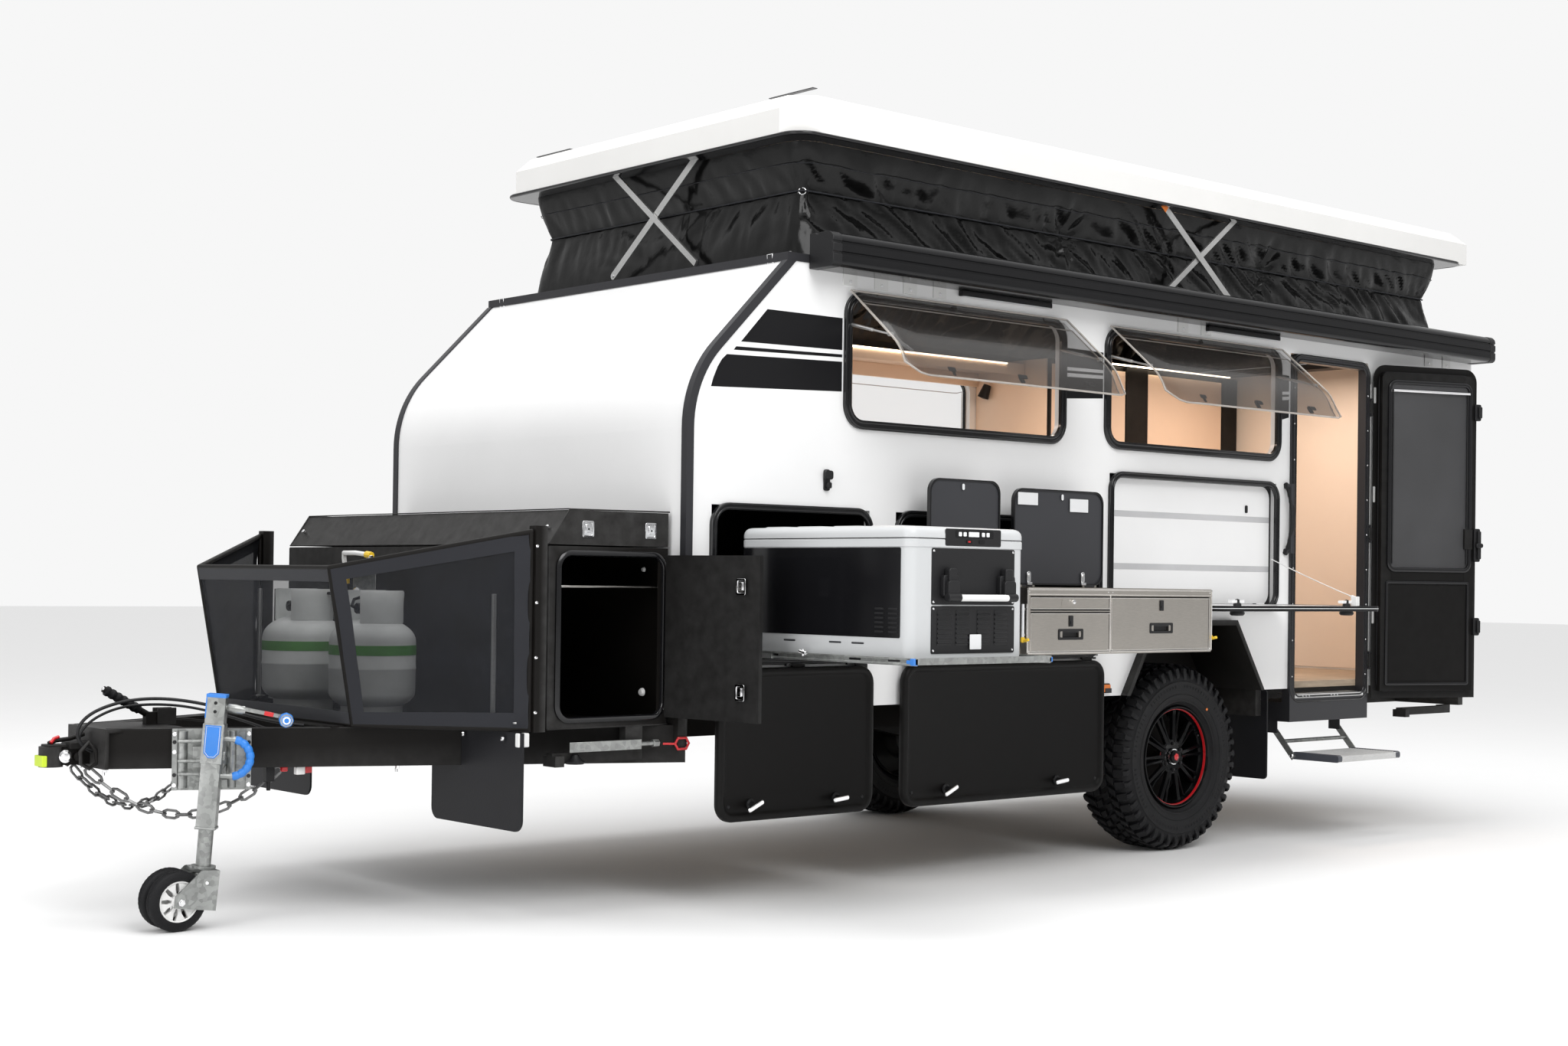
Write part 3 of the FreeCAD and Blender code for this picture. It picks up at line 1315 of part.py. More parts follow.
def build_gas_bottles():
    """Two gas bottles, each with a foot ring, rounded ends, collar and valve."""
    bottles = []
    foot = s.drawbar_top + s.guard_floor
    radius = s.bottle_radius
    ring_radius = radius * 0.7
    for side in (KERB, OFF):
        y = side * s.bottle_y
        shell = doc.addObject("Part::Fillet", "BottleShell")
        shell.Base = rod("z", -s.bottle_x, y, foot + s.bottle_foot, radius, s.bottle_tall)
        doc.recompute()
        rims = [k for k, edge in enumerate(shell.Base.Shape.Edges, start=1)
                if edge.Curve.TypeId == "Part::GeomCircle"]
        shell.Edges = [(k, float(radius) * 0.45, float(radius) * 0.45) for k in rims]
        top = foot + s.bottle_foot + s.bottle_tall
        ring_foot = cut(rod("z", -s.bottle_x, y, foot, ring_radius, s.bottle_foot + 12),
                        rod("z", -s.bottle_x, y, foot - 1, ring_radius - 4, s.bottle_foot + 14))
        collar = cut(rod("z", -s.bottle_x, y, top - 12, ring_radius, s.bottle_collar),
                     rod("z", -s.bottle_x, y, top - 13, ring_radius - 4, s.bottle_collar + 2),
                     box(-s.bottle_x, y - ring_radius / 2, top + 24, radius, ring_radius, s.bottle_collar))
        valve = fuse(rod("z", -s.bottle_x, y, top - 2, 14, 60), rod("x", -s.bottle_x, y, top + 34, 11, 46),
                     rod("z", -s.bottle_x, y, top + 56, 24, 14))
        bottles.append(fuse(shell, ring_foot, collar, valve))
    finish("gas_bottles", group(*bottles))


def build_mudflaps():
    """Stone flaps under the drawbar, notched round it, and mudflaps behind the wheels."""
    flaps = []
    notch = s.drawbar_tip_y + (s.drawbar_tip_x - s.flap_x) * tan(s.drawbar_angle) + s.drawbar_wide * 0.7
    under = s.drawbar_top - s.drawbar_tall - s.slide_play
    beam_rear = s.arch_rear_low + 2 * s.beam_wide + s.slide_play
    for side in (KERB, OFF):
        stone = plate("YZ", [(side * y, z) for y, z in (
            (s.flap_inner, s.flap_low), (s.flap_outer, s.flap_low), (s.flap_outer, s.drawbar_top),
            (notch, s.drawbar_top), (notch, under), (s.flap_inner, under))], -s.flap_x, s.flap_thick)
        round_edges(stone, "x", 5 * s.flap_thick, lambda middle: abs(middle.z - float(s.flap_low)) < 1)
        start = side_start(side, s.tyre_face_y, s.tyre_width)
        flaps.append(stone)
        flaps.append(panel("YZ", (start, 275), (start + s.tyre_width, s.body_floor - s.slide_play),
                           beam_rear, s.flap_thick, 20))
    finish("mudflaps", group(*flaps))


def build_wheels():
    """Trailing suspension arms with hubs, and the two road wheels."""
    arms = []
    for side, name in ((KERB, "kerb"), (OFF, "off")):
        arm_y = side * (s.chassis_y + s.chassis_wide / 2 + s.arm_size / 2)
        axle_z = s.tyre_radius
        run_x = s.axle_x - s.arm_pivot_x
        drop = s.arm_pivot_z - axle_z
        length = math.hypot(float(run_x), float(drop))
        arm = tilt(centred_box(length / 2, 0, -s.arm_size / 2, length, s.arm_size, s.arm_size),
                   Rotation(Vector(0, 1, 0), math.degrees(math.atan2(float(drop), float(run_x)))),
                   s.arm_pivot_x, arm_y, s.arm_pivot_z)
        pivot = rod("y", s.arm_pivot_x, arm_y - 60, s.arm_pivot_z, 34, 120)
        drum = rod("y", s.axle_x, side_start(side, s.chassis_y + s.chassis_wide / 2 + s.arm_size + 95, 96),
                   axle_z, s.hub_radius + 60, 96)
        stub = rod("y", s.axle_x, side_start(side, s.tyre_face_y - 60, 240), axle_z, s.spindle_radius, 240)
        spring = rod("z", s.axle_x - 190, arm_y + side * (s.spring_radius - s.arm_size / 2), axle_z + 60,
                     s.spring_radius, s.body_floor - axle_z - 60)
        hanger = box(s.arm_pivot_x - s.beam_wide / 2, arm_y - 60, s.arm_pivot_z, s.beam_wide, 120,
                     s.body_floor - s.chassis_tall - s.arm_pivot_z)
        arms.append(fuse(arm, pivot, hanger, drum, stub, spring))
        build_road_wheel(side, name)
    finish("suspension", group(*arms))


def turned(label, points, side, radii=()):
    """Return a body turned about the wheel's axis from half a section of (radius, y) points."""
    body = doc.addObject("PartDesign::Body", label)
    sketch = sketch_on(body, "XY", 0)
    draw_outline(sketch, points)
    turning = body.newObject("PartDesign::Revolution", "Turned")
    turning.Profile = sketch
    turning.ReferenceAxis = (sketch, ["V_Axis"])
    turning.Angle = 360
    doc.recompute()
    for radius, at_radius, at_y in radii:
        base = body.Tip
        names = [f"Edge{k}" for k, edge in enumerate(base.Shape.Edges, start=1)
                 if edge.Curve.TypeId == "Part::GeomCircle" and abs(edge.Curve.Radius - float(at_radius)) < 0.01
                 and abs(edge.Curve.Center.y - float(at_y)) < 0.01]
        fillet = body.newObject("PartDesign::Fillet", "Shoulder")
        fillet.Base = (base, names)
        tie(fillet, "Radius", radius)
        doc.recompute()
    return body


def spoked_disc(thick):
    """Return the wheel's face: a dished disc whose windows leave paired spokes."""
    body = doc.addObject("PartDesign::Body", "Disc")
    sketch = sketch_on(body, "XZ", -as_size(thick))
    sketch.addGeometry(Part.Circle(Vector(0, 0, 0), Vector(0, 0, 1), float(s.rim_radius - s.rim_lip)), False)
    sketch.addConstraint(Sketcher.Constraint("Coincident", 0, 3, -1, 1))
    held = sketch.addConstraint(Sketcher.Constraint("Radius", 0, float(s.rim_radius - s.rim_lip)))
    tie(sketch, f"Constraints[{held}]", s.rim_radius - s.rim_lip)
    pad = body.newObject("PartDesign::Pad", "Pad")
    pad.Profile = sketch
    tie(pad, "Length", thick)
    doc.recompute()
    outer, inner = s.rim_radius - 2.6 * s.rim_lip, s.hub_radius + s.rim_lip
    outer_half, inner_half = outer * sin(s.spoke_angle), inner * sin(s.spoke_angle)
    window = sketch_on(body, "XZ", 0)
    draw_outline(window, [(inner, -inner_half), (outer, -outer_half), (outer, outer_half), (inner, inner_half)])
    pocket = body.newObject("PartDesign::Pocket", "Window")
    pocket.Profile = window
    pocket.Type = "ThroughAll"
    pocket.Midplane = True
    doc.recompute()
    fillet = body.newObject("PartDesign::Fillet", "WindowCorners")
    short = float(outer) + 1
    names = edges_along(pocket.Shape, "y", lambda middle: math.hypot(middle.x, middle.z) < short)
    fillet.Base = (pocket, names)
    tie(fillet, "Radius", s.rim_lip / 2)
    doc.recompute()
    pattern = body.newObject("PartDesign::PolarPattern", "Spokes")
    pattern.Originals = [pocket, fillet]
    pattern.Axis = (next(item for item in body.Origin.OriginFeatures if item.Role == "Y_Axis"), [""])
    pattern.Angle = 360
    pattern.Occurrences = int(s.spokes.number)
    tie(pattern, "Occurrences", s.spokes)
    body.Tip = pattern
    doc.recompute()
    return body


def build_road_wheel(side, name):
    """One wheel: spoked alloy rim and its off-road tyre."""
    half = s.tyre_width / 2
    axle_z = s.tyre_radius
    middle = side * (s.tyre_face_y - half)
    tyre = turned("Tyre", [(s.rim_radius, -half * 0.78), (s.rim_radius + 26, -half * 0.86),
                           (s.rim_radius + 90, -half), (s.tyre_radius - 60, -half * 0.97),
                           (s.tyre_radius - 8, -half * 0.84), (s.tyre_radius, -half * 0.7),
                           (s.tyre_radius, half * 0.7), (s.tyre_radius - 8, half * 0.84),
                           (s.tyre_radius - 60, half * 0.97), (s.rim_radius + 90, half),
                           (s.rim_radius + 26, half * 0.86), (s.rim_radius, half * 0.78)], side)
    finish(f"tyre_{name}", group(tyre), s.axle_x, middle, axle_z)
    lip, well = s.rim_lip, s.rim_radius - 2.4 * s.rim_lip
    reach = half * 0.86
    barrel = turned("Barrel", [(well, -reach * 0.6), (s.rim_radius - lip, -reach), (s.rim_radius, -reach),
                               (s.rim_radius, reach), (s.rim_radius - lip, reach), (well, reach * 0.6)], side)
    face = half - 2.4 * lip
    thick = 2 * lip
    disc = tilt(spoked_disc(thick), Rotation(), 0, side_start(side, face, thick), 0)
    boss = rod("y", 0, side_start(side, face + lip, 5 * lip), 0, s.hub_radius, 5 * lip)
    bore = rod("y", 0, side_start(side, face + lip / 2 - 8, 9 * lip), 0, s.spindle_radius + s.shaft_gap, 9 * lip)
    finish(f"wheel_{name}", cut(fuse(barrel, disc, boss), bore), s.axle_x, middle, axle_z)


def build_roof():
    """Moulded pop-top lid with sloped sides and a solar panel on it."""
    half = s.roof_half

    def plan(inset, chamfer):
        front, rear, side = s.roof_front + inset, s.roof_back - inset, half - inset
        return [(front, -side + chamfer), (front + chamfer, -side), (rear, -side), (rear, side),
                (front + chamfer, side), (front, side - chamfer)]

    rim = s.roof_skin * 2
    tall = s.roof_high - s.roof_low
    skirt = cut(plate("XY", plan(0, s.roof_chamfer), s.roof_low, tall - s.roof_slope),
                plate("XY", plan(s.roof_skin, s.roof_chamfer), s.roof_low - 1, tall - s.roof_slope + 2))
    crown = plate("XY", plan(0, s.roof_chamfer), s.roof_high - s.roof_slope, s.roof_slope)
    top = crown.Tip
    upper = [f"Edge{k}" for k, edge in enumerate(top.Shape.Edges, start=1)
             if all(abs(v.Point.z - float(s.roof_high)) < 0.01 for v in edge.Vertexes)]
    bevel = crown.newObject("PartDesign::Chamfer", "Bevel")
    bevel.Base = (top, upper)
    tie(bevel, "Size", s.roof_slope - rim / 2)
    doc.recompute()
    hollow = plate("XY", plan(s.roof_slope, s.roof_chamfer), s.roof_high - s.roof_slope - 1,
                   s.roof_slope - s.roof_skin)
    edge_hollow = plate("XY", plan(s.roof_skin, s.roof_chamfer), s.roof_high - s.roof_slope - 1, 12)
    panel_solar = box(s.roof_front + 700, -320, s.roof_high, 1400, 640, 30)
    shell = fuse(skirt, cut(crown, hollow, edge_hollow), *high_pins())
    finish("roof", group(shell, panel_solar))


def build_tent():
    """Vinyl skirt between the body and the roof, drawn in at its waist."""
    inset = float(s.tent_gap)
    waist = float(s.tent_waist)
    thick = float(s.tent_thick)
    low, high = float(s.wall_top + s.rail_height) + 0.4, float(s.roof_low) + 60
    front, rear, half = float(s.roof_front), float(s.roof_back), float(s.roof_half)

    def loop(z, shift):
        x_low, x_high, y = front + inset + shift, rear - inset - shift, half - inset - shift
        chamfer = 90
        corners = [(x_low, -y + chamfer), (x_low + chamfer, -y), (x_high - 30, -y), (x_high, -y + 30),
                   (x_high, y - 30), (x_high - 30, y), (x_low + chamfer, y), (x_low, y - chamfer)]
        return Part.makePolygon([Vector(cx, cy, z) for cx, cy in corners + corners[:1]])

    middle = (low + high) / 2
    outer = Part.makeLoft([loop(low, 0), loop(middle, waist), loop(high, 0)], True, True)
    inner = Part.makeLoft([loop(low - 1, thick), loop(middle, waist + thick), loop(high + 1, thick)], True, True)
    tent = doc.addObject("Part::Feature", "Tent")
    tent.Shape = outer.cut(inner)
    finish("tent_skirt", tent)


def scissor_angle():
    """Return the rest angle of the scissor bars in degrees."""
    rise = float(s.bar_high_z - s.bar_low_z)
    return math.degrees(math.atan2(rise, 2 * float(s.bar_half)))


def bar_planes():
    """Return the outer faces of the bars next to the roof, front, rear, kerb and off side."""
    gap = s.roof_skin + s.bar_plane
    return (s.roof_front + gap, s.roof_back - gap - s.bar_thick,
            -s.roof_half + gap, s.roof_half - gap - s.bar_thick)


def high_pins():
    """Return the bosses and pins that the roof carries for the upper bars."""
    front, rear, kerb, off = bar_planes()
    boss, pin = s.bar_plane + 1, s.bar_plane + 1 + s.bar_thick
    y = s.ends_centre_y + s.bar_half
    x = s.sides_centre_x + s.bar_half
    places = (("x", front - boss, front - boss, y), ("x", rear + s.bar_thick, rear, y),
              ("y", kerb - boss, kerb - boss, x), ("y", off + s.bar_thick, off, x))
    pieces = []
    for axis, boss_start, pin_start, across in places:
        pieces.append(rod(axis, *along(axis, boss_start, across, s.bar_high_z), s.boss_radius, boss))
        pieces.append(rod(axis, *along(axis, pin_start, across, s.bar_high_z), s.bar_pin, pin))
    return pieces


def flat_bar(axis, pinned_high):
    """Return one flat bar, bored at its pin, that leans from the pin at the rest angle."""
    rise = s.bar_high_z - s.bar_low_z
    long = math.hypot(float(rise), 2 * float(s.bar_half))
    half = s.bar_wide / 2
    if axis == "y":
        blank = box(-half, 0, -half, long + s.bar_wide, s.bar_thick, s.bar_wide)
        bore = rod("y", 0, -1, 0, s.bar_pin + s.shaft_gap, s.bar_thick + 2)
        turn = Rotation(Vector(0, 1, 0), 180 - scissor_angle() if pinned_high else -scissor_angle())
    else:
        blank = box(0, -half, -half, s.bar_thick, long + s.bar_wide, s.bar_wide)
        bore = rod("x", -1, 0, 0, s.bar_pin + s.shaft_gap, s.bar_thick + 2)
        turn = Rotation(Vector(1, 0, 0), 180 + scissor_angle() if pinned_high else scissor_angle())
    return cut(blank, bore), turn


def build_scissors():
    """Crossed lift bars at both ends and on both sides of the tent."""
    front, rear, kerb, off = bar_planes()
    step = s.bar_thick + s.bar_space
    inner = {"x": (front + step, rear - step), "y": (kerb + step, off - step)}
    outer = {"x": (front, rear), "y": (kerb, off)}
    centre = {"x": s.ends_centre_y, "y": s.sides_centre_x}
    for label, axis, pinned_high in (("ends_low_bars", "x", False), ("ends_high_bars", "x", True),
                                     ("sides_low_bars", "y", False), ("sides_high_bars", "y", True)):
        level = s.bar_high_z if pinned_high else s.bar_low_z
        across = centre[axis] + s.bar_half if pinned_high else centre[axis] - s.bar_half
        bars = []
        for plane in (outer if pinned_high else inner)[axis]:
            bar, turn = flat_bar(axis, pinned_high)
            if axis == "x":
                bars.append(tilt(bar, turn, plane, across, level))
            else:
                bars.append(tilt(bar, turn, across, plane, level))
        finish(label, group(*bars))


def low_pin_brackets():
    """Return the brackets on the top rail that carry the lower pins."""
    front, rear, kerb, off = bar_planes()
    step = s.bar_thick + s.bar_space
    top = s.wall_top + s.rail_height
    tall = s.bar_low_z - top + 12
    far = s.bar_thick + s.slide_play
    brackets = []
    y = s.ends_centre_y - s.bar_half
    x = s.sides_centre_x - s.bar_half
    for plane, start in ((front + step, far), (rear - step, -s.slide_play - 8)):
        brackets.append(box(plane + start, y - 12, top - 1, 8, 24, tall + 1))
        brackets.append(rod("x", plane, y, s.bar_low_z, 4, s.bar_thick + 1) if start is far
                        else rod("x", plane - 1, y, s.bar_low_z, 4, s.bar_thick + 1))
    for plane, start in ((kerb + step, far), (off - step, -s.slide_play - 8)):
        brackets.append(box(x - 12, plane + start, top - 1, 24, 8, tall + 1))
        brackets.append(rod("y", x, plane, s.bar_low_z, 4, s.bar_thick + 1) if start is far
                        else rod("y", x, plane - 1, s.bar_low_z, 4, s.bar_thick + 1))
    return brackets


def build_awning():
    """Roll-out awning cassette along the kerb side, below the roof's rim."""
    low, high, deep = s.awning_low, s.awning_high, s.awning_deep
    back = -HALF - 4 - s.slide_play
    face = back - deep
    outline = [(face + 26, low), (back, low + 12), (back, high - 20), (face + 46, high), (face, high - 44),
               (face, low + 30)]
    cassette = plate("YZ", outline, s.awning_front, s.body_rear - s.awning_front)
    round_edges(cassette, "x", s.awning_corner, lambda middle: middle.y < float(back) - 1)
    lamp_top = s.awning_low - s.lamp_gap
    lamps = [box(front, -HALF - s.lamp_deep, lamp_top - s.lamp_tall, s.lamp_long, s.lamp_deep, s.lamp_tall)
             for front in (s.lamp_1_front, s.lamp_2_front)]
    finish("awning", group(cassette, *lamps))


def build_step():
    """Swing-down entry step: two arms with cross tubes, and its tread."""
    turn = Rotation(Vector(1, 0, 0), -float(s.step_angle))
    arms = []
    span = s.step_rear - s.step_front
    for front in (s.arm_thick + 2, span - 2 * s.arm_thick - 2):
        arm = cut(box(front, -s.arm_wide / 2, -s.step_arm - 14, s.arm_thick, s.arm_wide, s.step_arm + 28),
                  rod("x", front - 1, 0, 0, 8 + s.shaft_gap, s.arm_thick + 2))
        arms.append(arm)
    rung = rod("x", s.arm_thick + 3, 0, -s.step_arm / 2, 9, span - 3 * s.arm_thick - 4)
    pin = rod("x", s.arm_thick + 3, 0, -s.step_arm, 6, span - 3 * s.arm_thick - 4)
    finish("step_arms", fuse(*arms, rung, pin), s.step_front, -s.step_pivot_y, s.step_pivot_z, turn)
    foot_y = s.step_pivot_y + s.step_arm * sin(s.step_angle)
    foot_z = s.step_pivot_z - s.step_arm * cos(s.step_angle)
    inset = s.arm_thick * 2 + 5
    tread = panel("XY", (inset, -s.step_deep), (span - inset, 10), -s.step_thick / 2, s.step_thick, 8)
    bored = cut(tread, rod("x", 0, 0, 0, 6 + s.shaft_gap, span))
    finish("step_tread", bored, s.step_front, -foot_y, foot_z)


def build_all():
    """Draw every piece of the trailer."""
    build_chassis()
    build_coupling()
    build_handbrake()
    build_jockey()
    build_safety_chains()
    build_side_wall(KERB, "side_wall_kerb")
    build_side_wall(OFF, "side_wall_off")
    build_end_walls()
    build_floor()
    build_top_frame()
    build_wheel_arches()
    build_windows()
    build_door()
    build_hatches()
    build_table()
    build_storage()
    build_interior()
    build_middle_rails()
    build_fridge()
    build_kitchen()
    build_front_box()
    build_stone_guard()
    build_stabilisers()
    build_gas_bottles()
    build_mudflaps()
    build_wheels()
    build_roof()
    build_tent()
    build_scissors()
    build_awning()
    build_step()


def check_document():
    """Stop if any object of the document failed to build."""
    doc.recompute()
    failed = [item.Name for item in doc.Objects if "Invalid" in item.State or "Error" in item.State]
    broken = [item.Label for item in FINISHED if item.Shape.isNull() or not item.Shape.isValid()]
    if failed or broken:
        raise RuntimeError(f"failed objects {failed}, broken shapes {broken}")


def export_parts():
    """Write one STEP file for each finished piece."""
    for item in FINISHED:
        item.Shape.exportStep(f"parts/{item.Label}.step")


build_all()
check_document()
export_parts()
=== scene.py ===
import logging
import math
from collections.abc import Callable, Iterable, Sequence
from dataclasses import dataclass
from enum import Enum

import bmesh
import bpy
from mathutils import Matrix, Vector, noise


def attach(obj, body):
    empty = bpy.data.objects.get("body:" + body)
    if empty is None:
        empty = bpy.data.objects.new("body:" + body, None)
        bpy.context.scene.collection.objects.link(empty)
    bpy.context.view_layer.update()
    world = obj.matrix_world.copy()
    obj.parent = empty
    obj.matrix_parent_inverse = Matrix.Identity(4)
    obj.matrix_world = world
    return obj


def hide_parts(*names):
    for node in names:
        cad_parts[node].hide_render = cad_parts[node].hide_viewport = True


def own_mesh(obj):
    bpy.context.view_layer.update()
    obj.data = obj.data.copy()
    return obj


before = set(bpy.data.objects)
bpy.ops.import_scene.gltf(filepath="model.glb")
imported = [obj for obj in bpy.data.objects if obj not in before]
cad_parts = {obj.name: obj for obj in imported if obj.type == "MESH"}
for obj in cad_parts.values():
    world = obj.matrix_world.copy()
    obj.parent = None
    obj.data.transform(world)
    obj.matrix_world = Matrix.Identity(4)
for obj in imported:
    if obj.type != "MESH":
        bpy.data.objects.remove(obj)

LOG = logging.getLogger("camper")
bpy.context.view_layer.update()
WALL_X = 1.830
HITCH_Z = 0.510
KERB = -1
OFF = 1
SIDES = (KERB, OFF)
BODY_REAR = 5.030
WALL_Y = 0.977
TIGHTEST_CORNER = 0.004
COAT_ROUGHNESS = 0.08
BUMP_GAIN = 4
BUMP_DEPTH = 0.002
BEVEL_ANGLE = 40
X_AXIS, Y_AXIS, Z_AXIS = Vector((1, 0, 0)), Vector((0, 1, 0)), Vector((0, 0, 1))
FORE, KERBWARD = Vector((-1, 0, 0)), Vector((0, -1, 0))
Triple = tuple[float, float, float]
Bounds = tuple[float, float, float, float]
Outline = list[tuple[float, float]]
Sections = list[tuple[Outline, float]]
Placer = Callable[[float, float], Vector]


def at(x: float, y: float, z: float) -> Vector:
    """Return a point of the frame from metres behind the front wall, off the centre line and above the ground."""
    return Vector((x + WALL_X, y, z - HITCH_Z))


def on_wall(y: float) -> Placer:
    """Return a placer for outlines drawn as (x, z) on an upright plane at y."""
    return lambda a, b: at(a, y, b)


def on_end(x: float) -> Placer:
    """Return a placer for outlines drawn as (y, z) on a cross plane at x."""
    return lambda a, b: at(x, a, b)


def on_deck(z: float) -> Placer:
    """Return a placer for outlines drawn as (x, y) on a level plane at z."""
    return lambda a, b: at(a, b, z)


def add_node(tree: bpy.types.NodeTree, kind: str, **inputs: float | Sequence[float]) -> bpy.types.Node:
    """Add a shader node and set inputs, each named with an underscore for a space.

    Args:
        tree: The node tree.
        kind: The node's type.
        inputs: Values by input.

    Returns:
        The new node.
    """
    node = tree.nodes.new(kind)
    for name, value in inputs.items():
        node.inputs[name.replace("_", " ")].default_value = value
    return node


def show(name: str, data: bpy.types.ID) -> bpy.types.Object:
    """Return a new object that shows some data in the scene.

    Args:
        name: Its name.
        data: What it shows.

    Returns:
        The new object.
    """
    piece = bpy.data.objects.new(name, data)
    bpy.context.scene.collection.objects.link(piece)
    return piece


def rounded(a0: float, b0: float, a1: float, b1: float, radius: float, steps: int = 6) -> Outline:
    """Return a rectangle's outline with round corners.

    Args:
        a0: Low edge across.
        b0: Low edge up.
        a1: High edge across.
        b1: High edge up.
        radius: Corner radius.
        steps: Facets in each corner.

    Returns:
        The outline's points in order.
    """
    points = []
    for ca, cb, first in ((a1 - radius, b0 + radius, -90), (a1 - radius, b1 - radius, 0),
                          (a0 + radius, b1 - radius, 90), (a0 + radius, b0 + radius, 180)):
        for step in range(steps + 1):
            turn = math.radians(first + 90 * step / steps)
            points.append((ca + radius * math.cos(turn), cb + radius * math.sin(turn)))
    return points


def rolled(bounds: Bounds, radius: float, steps: int, profile: Outline, shrink: float = 1.0) -> Sections:
    """Return the outlines of a rim rolled round a rectangle.

    Args:
        bounds: The rectangle's low and high edges.
        radius: Corner radius at no inset.
        steps: Facets in each corner.
        profile: Pairs of inset and depth across the rim.
        shrink: Share of the inset that comes off the corner radius.

    Returns:
        Pairs of outline and depth.
    """
    a0, b0, a1, b1 = bounds
    least = min(radius, TIGHTEST_CORNER)
    return [(rounded(a0 + i, b0 + i, a1 - i, b1 - i, max(least, radius - shrink * i), steps), depth)
            for i, depth in profile]


def bulb(near: float, far: float, rise: float, edge: float, shoulder: float) -> Outline:
    """Return a lip's profile, which stands at a share of its rise a little way in from both sides."""
    side = rise * shoulder
    return [(near, 0.0), (near + edge, side), ((near + far) / 2, rise), (far - edge, side), (far, 0.0)]


def circle(centre: Vector, across: Vector, other: Vector, radius: float, sides: int) -> list[Vector]:
    """Return points round a centre in the plane of two unit vectors."""
    turns = (2 * math.pi * k / sides for k in range(sides))
    return [centre + (across * math.cos(t) + other * math.sin(t)) * radius for t in turns]


def rim_of(rows: list[list[Vector]]) -> list[Vector]:
    """Return the points round the border of rows of points."""
    return rows[0] + [row[-1] for row in rows[1:]] + rows[-1][-2::-1] + [row[0] for row in reversed(rows[1:-1])]


def length_of(spots: Sequence[Vector]) -> float:
    """Return the length of a run of points."""
    return sum((b - a).length for a, b in zip(spots, spots[1:]))


class Grain(Enum):
    """The small pattern that a surface carries."""

    PEEL = "orange peel of a sprayed or moulded coat"
    PEBBLE = "pebbled rubber, moulded plastic or cast skin"
    BRUSHED = "long scratches of rolled or drawn metal"
    SPANGLE = "zinc crystals of hot galvanising"
    WEAVE = "crossing threads"
    WOOD = "streaks along a board"
    CREASE = "soft creases of coated cloth"


